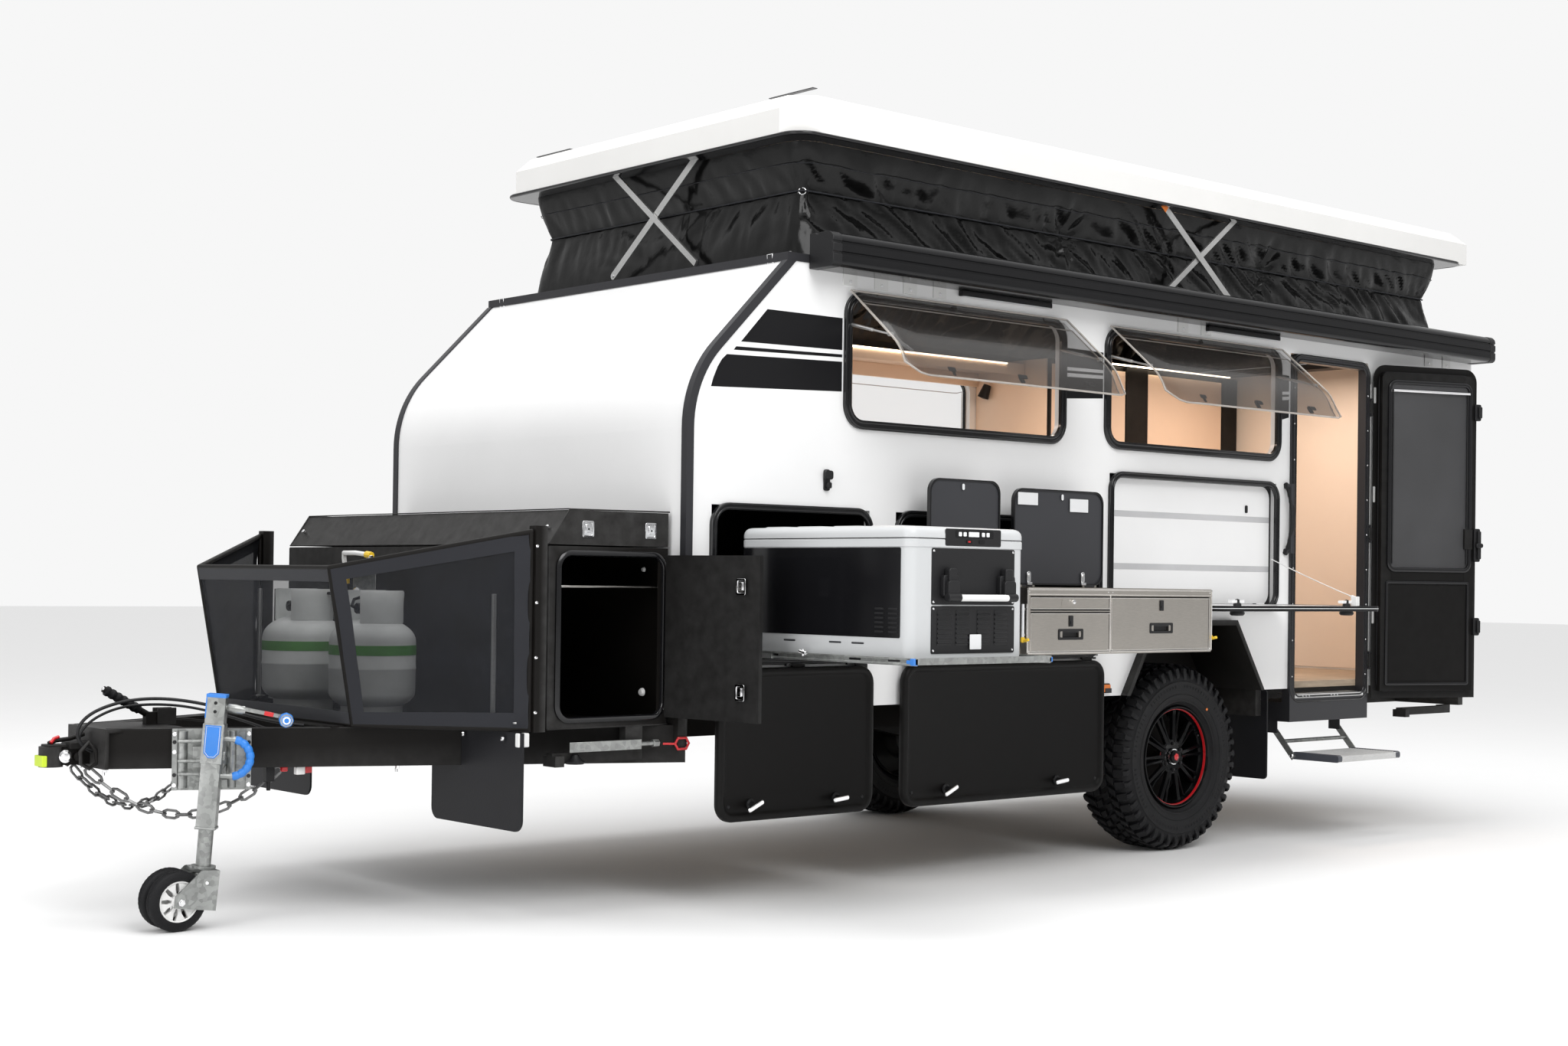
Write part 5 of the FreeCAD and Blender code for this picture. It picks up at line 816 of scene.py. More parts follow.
@dataclass
class Livery:
    """Black bands along the kerb and off walls, cut round the windows."""

    wall: float = WALL_Y
    film: float = 0.0006
    gap: tuple[float, float] = (1.962, 2.194)
    first_rear: float = 0.722
    tail: float = 3.43
    tail_end: float = 3.49

    def build(self) -> None:
        """Lay the three bands on each wall."""
        for side, tag in ((KERB, "kerb"), (OFF, "off")):
            stock = Stock()
            for outline in self._bands():
                stock.plate(outline, on_wall(side * self.wall), (0, side * self.film, 0))
            stock.make(f"stripes_{tag}", STRIPE, slot="black_trim")

    def _bands(self) -> list[Outline]:
        """Return the outlines of the upper band, the pinstripe and the lower band.

        Returns:
            Outlines as (x, z).
        """
        bands = [[(0.236, 1.987), (self.first_rear, 1.996), (self.first_rear, 2.114), (0.357, 2.113)],
                 [(0.203, 1.955), (self.first_rear, 1.969), (self.first_rear, 1.980), (0.214, 1.968)],
                 [(0.102, 1.819), (self.first_rear, 1.843), (self.first_rear, 1.953), (0.172, 1.937), (0.150, 1.918),
                  (0.131, 1.890), (0.112, 1.850)],]
        for front, rear in (self.gap, (self.tail, self.tail_end)):
            for lows, highs in (((2.030, 2.034), (2.108, 2.107)), ((2.006, 2.011), (2.016, 2.021)),
                                ((1.901, 1.916), (1.990, 1.997))):
                bands.append([(front, lows[0]), (rear, lows[1]), (rear, highs[1]), (front, highs[0])])
        return bands


@dataclass
class TentSkirt(Assembly):
    """Black vinyl skirt between the body's rail and the roof, drawn in at its waist by a cord."""

    slot = "vinyl"
    front: float = 0.585
    rear: float = 4.90
    half: float = 0.888
    corner: float = 0.10
    low: float = 2.3325
    high: float = 2.772
    waist_z: float = 2.598
    waist: float = 0.062
    columns: int = 760
    rows: int = 34
    ties: tuple[float, ...] = (2.11, 3.48)
    seams: tuple[float, ...] = (1.02, 1.95, 2.62, 4.12)

    def build(self) -> None:
        """Hang the skirt, its waist cord and its corner rings."""
        rim = self._rim()
        stock = Stock()
        rows = []
        for row in range(self.rows + 1):
            height = row / self.rows
            rows.append([self._point(spot, inward, run, height) for spot, inward, run in rim])
        stock.skin(rows, caps=False)
        skirt = self.fit(stock, "tent_cloth", VINYL, angle=80)
        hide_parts("tent_skirt")
        fold = {"axis": (0, 0, 1), "anchor": tuple(at(2.7, 0, self.low)), "keep": 0.034}
        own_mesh(skirt)
        cord = Stock().tube([self._waist_point(spot, inward) for spot, inward, _ in rim[::4]], 0.0032, 6, True)
        elastic = self.fit(cord, "tent_waist_cord", HEM, angle=80)
        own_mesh(elastic)
        self._binding(rim, fold)

    def _rim(self) -> list[tuple[Vector, Vector, float]]:
        """Return points round the skirt with the direction inward and the run so far.

        Returns:
            Triples of place, direction inward and metres so far.
        """
        outline = rounded(self.front, -self.half, self.rear, self.half, self.corner, 14)
        points = [Vector((a, b, 0)) for a, b in outline]
        runs = [0.0]
        for k, point in enumerate(points):
            runs.append(runs[-1] + (points[(k + 1) % len(points)] - point).length)
        rim = []
        for step in range(self.columns):
            run = runs[-1] * step / self.columns
            k = max(i for i, r in enumerate(runs[:-1]) if r <= run)
            ahead = points[(k + 1) % len(points)]
            along = (ahead - points[k]).normalized()
            spot = points[k] + along * (run - runs[k])
            rim.append((spot, Vector((-along.y, along.x, 0)), run))
        return rim

    def _point(self, spot: Vector, inward: Vector, run: float, height: float) -> Vector:
        """Return the cloth's place at a run round the rim and a share of the height.

        Args:
            spot: Place on the rim.
            inward: Direction inward.
            run: Metres round the rim.
            height: Share of the height.

        Returns:
            The frame point.
        """
        z = self.low + (self.high - self.low) * height
        level = (self.waist_z - self.low) / (self.high - self.low)
        share = height / level if height < level else (1 - height) / (1 - level)
        draw = self.waist * (0.35 * share + 0.65 * share * share)
        hold = math.sin(math.pi * min(1.0, height)) ** 0.5
        slack = math.sin(math.pi * share / 2.0) * (1 - 0.75 * share ** 6)
        kerb = abs(inward.y) > 0.7
        fold = self._folds(spot, run, height, kerb) * slack * hold
        droop = 0.010 * noise.noise(Vector((run * 2.3, height * 2.0, 7.1))) * hold
        place = spot + inward * (draw + fold)
        return at(place.x, place.y, z + droop * (1 - share))

    def _folds(self, spot: Vector, run: float, height: float, kerb: bool) -> float:
        """Return how far wrinkles push the cloth inward at a spot, in metres.

        Args:
            spot: Place on the rim.
            run: Metres round the rim.
            height: Share of the height.
            kerb: Whether the place is on a long side.

        Returns:
            The push inward in metres.
        """
        lean = run + (height - 0.55) * (0.5 if kerb else 0.25)
        warp = noise.noise(Vector((run * 1.7, height * 1.3, 3.0)))
        ridge = 1 - abs(noise.noise(Vector((lean * 8.5 + warp * 2.2, height * 1.6, 1.0)))) * 2
        fine = 1 - abs(noise.noise(Vector((lean * 24 + warp * 4, height * 4.0 + warp, 9.0)))) * 2
        size = 0.020 if kerb else 0.010
        sharp = 1 - abs(noise.noise(Vector((lean * 15 - height * 3.0, height * 2.4 - lean * 1.5, 21.0)))) * 2.4
        depth = size * ridge + size * 0.35 * fine + size * 0.5 * max(0.0, sharp) ** 2
        for tie in self.ties:
            reach = abs(spot.x - tie)
            if kerb and reach < 0.22:
                fan = math.atan2(height - 0.58, (spot.x - tie) * 2.2)
                depth += 0.016 * (1 - reach / 0.22) ** 2 * (1 + math.cos(9 * fan))
        for seam in self.seams:
            if kerb:
                depth += 0.005 * math.exp(-(((spot.x - seam) / 0.012) ** 2))
        return depth

    def _waist_point(self, spot: Vector, inward: Vector) -> Vector:
        """Return where the waist cord runs."""
        place = spot + inward * (self.waist - 0.005)
        return at(place.x, place.y, self.waist_z)

    def _binding(self, rim: list[tuple[Vector, Vector, float]], fold: dict) -> None:
        """Sew the upper valance seam and fit rings at the four corners.

        Args:
            rim: Points round the skirt, from _rim.
            fold: Not used.
        """
        level = 2.695
        line = []
        for spot, inward, run in rim[::3]:
            share = (self.high - level) / (self.high - self.waist_z)
            draw = self.waist * (0.35 * share + 0.65 * share * share) - 0.004
            place = spot + inward * draw
            line.append(at(place.x, place.y, level + 0.004 * noise.noise(Vector((run * 3, 2.0, 5.0)))))
        stitch = self.fit(Stock().tube(line, 0.0016, 5, True), "tent_valance_seam", HEM, angle=80)
        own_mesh(stitch)
        rings = Stock()
        for way, x in ((-1, self.front + 0.085), (1, self.rear - 0.085)):
            for side in SIDES:
                outward = Vector((way, side, 0)).normalized()
                centre = at(x, side * (self.half - 0.085), self.waist_z) + outward * 0.012
                rings.tube(circle(centre, Z_AXIS, outward.cross(Z_AXIS), 0.013, 16), 0.0028, 6, True)
        loops = self.fit(rings, "tent_corner_rings", CHROME, angle=80, slot="aluminium")
        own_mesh(loops)


@dataclass
class Awning(Assembly):
    """Wound awning in its extruded case, with end caps and two light bars below."""

    slot = "awning_vinyl"
    front: float = 0.55
    rear: float = 5.03
    back: float = 0.982
    face: float = 1.110
    low: float = 2.278
    high: float = 2.404
    cap: float = 0.045
    lamps: tuple[float, ...] = (1.33, 2.87)
    lamp_long: float = 0.52
    brackets: tuple[float, ...] = (0.72, 1.03, 2.68, 4.60)

    def build(self) -> None:
        """Extrude the case and fit what goes on it."""
        section = self._section()
        stock = Stock()
        stock.skin([[at(x, KERB * y, z) for y, z in section] for x in (self.front + self.cap, self.rear - self.cap)])
        case = self.fit(stock, "awning_case", AWNING, angle=28)
        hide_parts("awning")
        caps = Stock()
        for x0, x1 in ((self.front, self.front + self.cap), (self.rear - self.cap, self.rear)):
            caps.skin([[at(x, KERB * y, z) for y, z in self._section(0.0015)] for x in (x0, x1)])
        self.fit(caps, "awning_end_caps", PLASTIC, bevel=0.004)
        self._lamps()
        self._brackets()

    def _section(self, grow: float = 0.0) -> Outline:
        """Return the case's section as (distance off centre, height), with its grooves.

        Args:
            grow: How far the section swells.

        Returns:
            The section's points.
        """
        b, f, lo, hi = self.back, self.face + grow, self.low - grow, self.high + grow
        points = [(b, lo), (b + 0.070, lo)]
        for k in range(6):
            turn = math.radians(-90 + 18 * k)
            points.append((f - 0.020 + 0.020 * math.cos(turn), lo + 0.020 + 0.020 * math.sin(turn)))
        for z, depth in ((0.046, 0.0), (0.049, 0.005), (0.053, 0.005), (0.056, 0.0), (0.084, 0.0), (0.087, 0.006),
                         (0.092, 0.006), (0.094, 0.001)):
            points.append((f - depth, lo + z))
        for k in range(7):
            turn = math.radians(15 * k)
            points.append((f - 0.032 + 0.031 * math.cos(turn), hi - 0.031 + 0.031 * math.sin(turn)))
        points += [(b + 0.052, hi), (b + 0.048, hi - 0.006), (b + 0.036, hi - 0.006), (b + 0.032, hi), (b, hi)]
        return points

    def _lamps(self) -> None:
        """Hang the two light bars under the case."""
        bodies = Stock()
        faces = Stock()
        for x in self.lamps:
            end = x + self.lamp_long
            bodies.blocks(((x, -1.0005, 2.2735, end, -0.9785, 2.2775), (x, -1.0005, 2.256, end, -0.9785, 2.2735)))
            faces.block((x + 0.012, -0.9995, 2.2545), (x + self.lamp_long - 0.012, -0.9805, 2.256))
        self.fit(bodies, "awning_lamp_bars", PLASTIC, bevel=0.002, slot="black_trim")
        self.fit(faces, "awning_lamp_faces", PAPER, slot="black_trim")

    def _brackets(self) -> None:
        """Screw the wall brackets below the case."""
        tabs = Stock()
        screws = Stock()
        for x in self.brackets:
            for start in (x, x + 0.16):
                tabs.block((start, -0.9815, 2.236), (start + 0.07, -0.9772, 2.279))
                screws.bar(at(start + 0.035, -0.9815, 2.252), at(start + 0.035, -0.9845, 2.252), 0.006, 10)
        self.fit(tabs, "awning_brackets", WHITE_PLASTIC, bevel=0.0012, slot="white_panel")
        self.fit(screws, "awning_bracket_screws", CHROME, slot="white_panel")


@dataclass
class Windows(Assembly):
    """Hopper windows: double-lipped frames, curved smoked panes, stays and catches."""

    slot = "acrylic"
    spans: tuple[tuple[float, float], ...] = ((0.729, 1.955), (2.201, 3.420))
    low: float = 1.708
    high: float = 2.222
    corner: float = 0.092
    wall: float = WALL_Y
    proud: float = 0.013
    inset: float = 0.014
    opened: float = 50.0
    columns: int = 36
    rows: int = 14

    def build(self) -> None:
        """Build frames, panes and catches on both sides, and stays on the kerb side."""
        self._rims()
        panes, far_panes = Stock(), Stock()
        edges = Stock()
        catches = Stock()
        stays = Stock()
        for side in SIDES:
            for front, rear in self.spans:
                turn = self._turn(side)
                self._pane(side, front, rear, turn, panes if side == KERB else far_panes, edges, catches)
                if side == KERB:
                    self._stays(front, rear, turn, stays)
        glass = self.fit(panes, "pane_shells", ACRYLIC, angle=60)
        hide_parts("window_panes")
        self.fit(far_panes, "pane_shells_off", CLEAR_PANE, angle=60)
        self.fit(edges, "pane_rims_painted_highlight", ACRYLIC_RIM_HIGHLIGHT, angle=60)
        self.fit(catches, "pane_catches", PLASTIC, bevel=0.002, slot="black_trim")
        self.fit(stays, "pane_stays", ALUMINIUM, bevel=0.0008, slot="aluminium")

    def _turn(self, side: int) -> Matrix:
        """Return how far a side's panes stand open, as a matrix about their hinge."""
        hinge = at(0, side * (self.wall + self.proud), self.high - self.inset)
        return hinge_turn(hinge, X_AXIS, side * (self.opened if side == KERB else 0.0))

    def _rims(self) -> None:
        """Roll the frames' two lips."""
        lips = Stock()
        for side in SIDES:
            for front, rear in self.spans:
                for near, far, rise in ((0.0, 0.016, 0.0055), (0.019, 0.033, 0.004)):
                    lips.loop(rolled((front, self.low, rear, self.high), self.corner, 8,
                                     bulb(near, far, rise, 0.002, 0.7)),
                              lambda depth: on_wall(side * (self.wall + (self.proud - 0.001 + depth))))
        self.fit(lips, "window_lips", GLOSS, angle=50, slot="black_trim")

    def _pane(self, side: int, front: float, rear: float, turn: Matrix, panes: Stock, edges: Stock,
              catches: Stock) -> None:
        """Mould one double-skinned pane with its curved foot.

        Args:
            side: KERB or OFF.
            front: Front edge.
            rear: Rear edge.
            turn: Matrix that opens the pane.
            panes: Stock for the skins.
            edges: Stock for the edges, which wear the pale rim finish that paints a highlight.
            catches: Stock for the catches.
        """
        a0, a1 = front + self.inset, rear - self.inset
        tall = self.high - self.low - 2 * self.inset - 0.008
        hinge_z = self.high - self.inset
        base = self.wall + self.proud

        def skin(inset: float, lift: float) -> list[list[Vector]]:
            """Return rows of points of one skin, pulled in at its foot."""
            out = []
            for r in range(self.rows + 1):
                v = r / self.rows
                row = []
                for c in range(self.columns + 1):
                    u = c / self.columns
                    end = min(u, 1 - u) * (a1 - a0)
                    round_in = self._edge(end, (1 - v) * tall, 0.075)
                    x = a0 + inset + (a1 - a0 - 2 * inset) * u
                    z = hinge_z - inset * 0.5 - (tall - inset) * v * (1 - round_in)
                    swell = 0.010 * math.sin(math.pi * min(1, v * 1.1)) * min(1, end / 0.09) ** 0.5
                    foot = 0.030 * max(0.0, (v - 0.74) / 0.26) ** 2
                    row.append(turn @ at(x, side * (base + lift + 0.004 + swell - foot), z))
                out.append(row)
            return out

        outer = skin(0.0, 0.008)
        inner = skin(0.022, 0.0)
        panes.skin(outer, around=False)
        panes.skin(inner, around=False)
        # The rim tubes wear the pale rim finish, a painted highlight round each pane.
        edges.tube(rim_of(outer), 0.0042, 6, True)
        edges.tube(rim_of(inner[2:]), 0.0026, 6, True)
        for share in (0.16, 0.5, 0.84):
            c = round(share * self.columns)
            spot = inner[-2][c]
            up = (inner[-4][c] - spot).normalized()
            out = (outer[-2][c] - inner[-2][c]).normalized() * -1
            for foot, head, low, high, depths in ((0.020, 0.020, -0.008, 0.012, (-0.002, 0.010)),
                                                  (0.008, 0.009, -0.026, 0.006, (0.010, 0.022))):
                outline = ((-foot, low), (foot, low), (head, high), (-head, high))
                catches.skin([[spot + X_AXIS * dx + up * dz + out * dy for dx, dz in outline] for dy in depths])

    @staticmethod
    def _edge(end: float, foot: float, radius: float) -> float:
        """Return how much shorter a pane is near its rounded lower corners, as a share of its height.

        Args:
            end: Distance from the nearer end.
            foot: Height above the foot.
            radius: Corner radius.

        Returns:
            A share of the height.
        """
        if end >= radius or foot > 0.5:
            return 0.0
        gap = radius - math.sqrt(max(0.0, radius ** 2 - (radius - end) ** 2))
        return gap / 0.48

    def _stays(self, front: float, rear: float, turn: Matrix, stays: Stock) -> None:
        """Fit a telescopic stay at each end of an open pane.

        Args:
            front: Front edge.
            rear: Rear edge.
            turn: Matrix that opens the pane.
            stays: Stock for the stays.
        """
        for x, tip in ((front + 0.028, front + 0.034), (rear - 0.028, rear - 0.034)):
            low = at(x, -self.wall + 0.004, self.high - 0.125)
            top = turn @ at(tip, -(self.wall + self.proud + 0.002), self.high - 0.275)
            stays.bar(low, low + (top - low) * 0.58, 0.0065, 8)
            stays.bar(low + (top - low) * 0.5, top, 0.0042, 8)
            half_pin = Vector((0.010, 0, 0))
            stays.bar(top - half_pin, top + half_pin, 0.008, 12)


@dataclass
class RoadWheel(Assembly):
    """All-terrain tyre with its lugs, and the dress of a spoked rim."""

    slot = "black_rim"
    side: int = KERB
    centre_x: float = 2.737
    radius: float = 0.402
    wide: float = 0.265
    face: float = 0.980
    blocks: int = 46
    ribs: int = 96
    facets: int = 120

    def build(self) -> None:
        """Cut the tyre and dress the rim."""
        tag = "kerb" if self.side == KERB else "off"
        self.body = f"wheel_{tag}"
        self.middle = at(self.centre_x, self.side * (self.face - self.wide / 2), self.radius)
        self.axis = Vector((0, self.side, 0))
        self._carcass(tag)
        self._tread(tag)
        self._side_ribs(tag)
        self._rim_dress(tag)

    def _spot(self, radius: float, along: float, turn: float) -> Vector:
        """Return a point at a radius, a distance outward and an angle round the wheel."""
        return self.middle + self.axis * along + Vector((math.cos(turn), 0, math.sin(turn))) * radius

    def _carcass(self, tag: str) -> None:
        """Turn the tyre's body with a bulged, ribbed side wall.

        Args:
            tag: The side's name in the pieces' names.
        """
        h = self.wide / 2
        side_run = [(0.222, h - 0.036), (0.226, h - 0.028), (0.236, h - 0.020), (0.240, h - 0.013), (0.246, h - 0.012),
                    (0.250, h - 0.009), (0.262, h - 0.005), (0.290, h - 0.0015), (0.318, h - 0.002),
                    (0.322, h - 0.0005), (0.327, h - 0.0005), (0.331, h - 0.004), (0.352, h - 0.009),
                    (0.368, h - 0.017), (0.380, h - 0.030), (0.386, h - 0.045)]
        profile = side_run + [(0.389, h * 0.3), (0.390, 0.0), (0.389, -h * 0.3)]
        profile += [(r, -d) for r, d in reversed(side_run)]
        profile += [(0.210, -h + 0.040), (0.208, 0.0), (0.210, h - 0.040)]
        stock = Stock().lathe(profile, self.middle, self.axis, self.facets, closed=True)
        tyre = self.fit(stock, f"tyre_{tag}_carcass", RUBBER, angle=24, slot="tyre")
        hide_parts(f"tyre_{tag}")

    def _tread(self, tag: str) -> None:
        """Set shoulder lugs, side biters and centre blocks round the tyre.

        Args:
            tag: The side's name in the pieces' names.
        """
        stock = Stock()
        step = 2 * math.pi / self.blocks
        h = self.wide / 2
        for k in range(self.blocks):
            turn = k * step
            for way in (1, -1):
                base = turn + (0.5 * step if way < 0 else 0.0)
                deep = 0.060 if k % 2 else 0.048
                self._lug(stock, base, step * 0.70, way * (h - 0.050), way * (h - 0.012), 0.383, 0.4005, 0.3835)
                self._biter(stock, base, step * 0.52, way, deep)
                self._lug(stock, base + step * 0.30, step * 0.62, way * 0.046, way * 0.078, 0.386, 0.4015, 0.4015,
                          skew=way * 0.35 * step)
                self._lug(stock, base + step * 0.05, step * 0.66, way * 0.008, way * 0.040, 0.388, 0.402, 0.402,
                          skew=-way * 0.30 * step)
        self.fit(stock, f"tyre_{tag}_lugs", RUBBER, bevel=0.0018, angle=30, slot="tyre")

    def _lug(self, stock: Stock, turn: float, wide: float, near: float, far: float, foot: float, top: float,
             far_top: float, skew: float = 0.0) -> None:
        """Add one tread block between two distances off the wheel's middle.

        Args:
            stock: Stock that takes it.
            turn: Angle round the wheel.
            wide: Angle that it spans.
            near: Nearer distance off the middle.
            far: Farther distance off the middle.
            foot: Radius at its foot.
            top: Radius at its near top.
            far_top: Radius at its far top.
            skew: Turn of its far end.
        """
        low, high = [], []
        for along, shift, peak in ((near, 0.0, top), (far, skew, far_top)):
            for way in (-0.5, 0.5):
                low.append(self._spot(foot - (0.008 if along == far else 0.0), along, turn + shift + way * wide))
                high.append(self._spot(peak, along, turn + shift + way * wide * 0.86))
        order = (0, 1, 3, 2)
        stock.skin([[low[i] for i in order], [high[i] for i in order]])

    def _biter(self, stock: Stock, turn: float, wide: float, way: int, deep: float) -> None:
        """Add one raised claw on the shoulder that runs down the side wall.

        Args:
            stock: Stock that takes it.
            turn: Angle round the wheel.
            wide: Angle that it spans.
            way: Which way off the wheel's middle.
            deep: How far it runs down the side wall.
        """
        h = self.wide / 2
        rows = []
        for share in (0.0, 0.35, 0.7, 1.0):
            radius = 0.3835 - deep * share
            out = h - 0.012 + 0.011 * math.sin(math.pi * min(1.0, share * 0.75 + 0.08))
            wobble = 0.12 * wide * math.sin(share * 5)
            grow = 0.0045 * (1 - share * 0.8)
            rows.append([self._spot(radius, way * (out - 0.012), turn + wobble - wide * 0.5),
                         self._spot(radius, way * (out - 0.012), turn + wobble + wide * 0.5),
                         self._spot(radius, way * min(h, out + grow - 0.003), turn + wobble + wide * 0.38),
                         self._spot(radius, way * min(h, out + grow - 0.003), turn + wobble - wide * 0.38)])
        stock.skin(rows)

    def _ring(self, profile: Outline, sides: int, closed: bool = True) -> Stock:
        """Turn a profile of (radius, depth below the tyre's outer face) about the axle."""
        return Stock().lathe([(r, self.wide / 2 - deep) for r, deep in profile], self.middle, self.axis, sides, closed)

    def _side_ribs(self, tag: str) -> None:
        """Raise short grip ribs and two fine rings on both side walls.

        Args:
            tag: The side's name in the pieces' names.
        """
        h = self.wide / 2
        ribs = Stock()
        for way in (1, -1):
            for k in range(self.ribs):
                if k % 12 in (0, 1):
                    continue
                turn = 2 * math.pi * k / self.ribs
                section = ((-0.010, 0.0), (-0.006, 0.0017), (0.006, 0.0017), (0.010, 0.0))
                ribs.skin([[self._spot(radius, way * (h - 0.0022 + rise), turn + shift) for shift, rise in section]
                           for radius in (0.300, 0.312)])
            for radius in (0.272, 0.283):
                ribs.lathe([(radius - 0.0015, way * (h - 0.0042)), (radius, way * (h - 0.0022)),
                            (radius + 0.0015, way * (h - 0.0034))], self.middle, self.axis, self.facets, closed=True)
        self.fit(ribs, f"tyre_{tag}_side_ribs", RUBBER, angle=20, slot="tyre")

    def _rim_dress(self, tag: str) -> None:
        """Build the dished rim: lip, barrel, twin spokes, hub, red band, cap, nuts and valve, with a dark drum plate
        behind the spokes that paints the shade inside the wheel.

        Args:
            tag: The side's name in the pieces' names.
        """
        h = self.wide / 2
        rim = Stock().lathe([(0.2200, h - 0.036), (0.2215, h - 0.027), (0.2175, h - 0.0205), (0.2130, h - 0.0205),
                             (0.2095, h - 0.0250), (0.2085, h - 0.0300), (0.2065, h - 0.0310), (0.2020, h - 0.0580),
                             (0.1975, h - 0.0640), (0.1960, -h + 0.0700), (0.2040, -h + 0.0300), (0.2150, -h + 0.0230),
                             (0.2210, -h + 0.0280), (0.2170, -h + 0.0400), (0.2080, 0.0), (0.2120, h - 0.045)],
                            self.middle, self.axis, self.facets, closed=True)
        for k in range(10):
            for way in (-1, 1):
                self._spoke(rim, 2 * math.pi * k / 10 + 0.10, way)
        rim.lathe([(0.001, h - 0.052), (0.040, h - 0.050), (0.066, h - 0.046), (0.074, h - 0.050), (0.076, h - 0.062),
                   (0.060, h - 0.080), (0.001, h - 0.080)], self.middle, self.axis, 60)
        barrel = self.fit(rim, f"rim_{tag}_spokes", RIM_BLACK, bevel=0.0010, angle=32)
        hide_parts(f"wheel_{tag}")
        # Dark brake drum, widened into a plate that closes the barrel: partly the real drum, partly painted shade
        # behind the spokes.
        back = Stock().lathe([(0.001, -0.010), (0.150, -0.010), (0.196, -0.030), (0.196, -0.036), (0.001, -0.020)],
                             self.middle, self.axis, 72)
        self.fit(back, f"rim_{tag}_drum_and_shade_plate", POWDER, angle=30)
        band = self._ring([(0.2072, 0.0312), (0.2052, 0.0312), (0.2034, 0.0415), (0.2054, 0.0415)], self.facets)
        self.fit(band, f"rim_{tag}_red_band", RED)
        cap = self._ring([(0.001, 0.026), (0.020, 0.027), (0.029, 0.031), (0.031, 0.052)], 36, closed=False)
        self.fit(cap, f"rim_{tag}_cap", RIM_BLACK, angle=30)
        ring = self._ring([(0.0305, 0.040), (0.0335, 0.040), (0.0355, 0.046), (0.0305, 0.047)], 48)
        ring.lathe([(0.0750, h - 0.0560), (0.0765, h - 0.0535), (0.0775, h - 0.0560), (0.0765, h - 0.0600)],
                   self.middle, self.axis, 60, closed=True)
        self.fit(ring, f"rim_{tag}_bright_rings", CHROME, angle=30)
        disc = self._ring([(0.001, 0.0235), (0.012, 0.0245), (0.0165, 0.0270), (0.001, 0.0290)], 6, closed=False)
        self.fit(disc, f"rim_{tag}_cap_disc", RED)
        nuts = Stock()
        for k in range(6):
            turn = math.radians(60 * k + 30)
            nuts.bar(self._spot(0.056, h - 0.054, turn), self._spot(0.056, h - 0.042, turn), 0.0085, 6)
            nuts.bar(self._spot(0.056, h - 0.043, turn), self._spot(0.056, h - 0.038, turn), 0.006, 10)
        self.fit(nuts, f"rim_{tag}_nuts", PLASTIC, bevel=0.0008)
        valve = Stock().bar(self._spot(0.194, h - 0.066, 0.5), self._spot(0.180, h - 0.034, 0.5), 0.004, 8)
        self.fit(valve, f"rim_{tag}_valve", PLASTIC)
        dot = Stock().bar(self._spot(0.268, h - 0.0065, 0.85), self._spot(0.268, h - 0.0025, 0.85), 0.006, 14)
        self.fit(dot, f"tyre_{tag}_mark", ORANGE, slot="tyre")

    def _spoke(self, stock: Stock, turn: float, way: int) -> None:
        """Forge one slim, ridged spoke of a pair from the hub down into the dish and out to the barrel.

        Args:
            stock: Stock that takes it.
            turn: Angle round the wheel.
            way: Which spoke of the pair.
        """
        h = self.wide / 2
        rings = []
        for radius, deep, spread, half in ((0.060, 0.046, 0.100, 0.0105), (0.095, 0.050, 0.088, 0.0080),
                                           (0.140, 0.056, 0.080, 0.0070), (0.180, 0.060, 0.084, 0.0075),
                                           (0.203, 0.058, 0.090, 0.0110)):
            middle = turn + way * spread
            side = half / radius
            ridge = middle - way * side * 0.35
            rings.append([self._spot(radius, h - deep - 0.020, middle - side), self._spot(radius, h - deep - 0.003,
                                                                                          middle - side),
                          self._spot(radius, h - deep + 0.004, ridge), self._spot(radius, h - deep - 0.003,
                                                                                  middle + side),
                          self._spot(radius, h - deep - 0.020, middle + side)])
        stock.skin(rings)


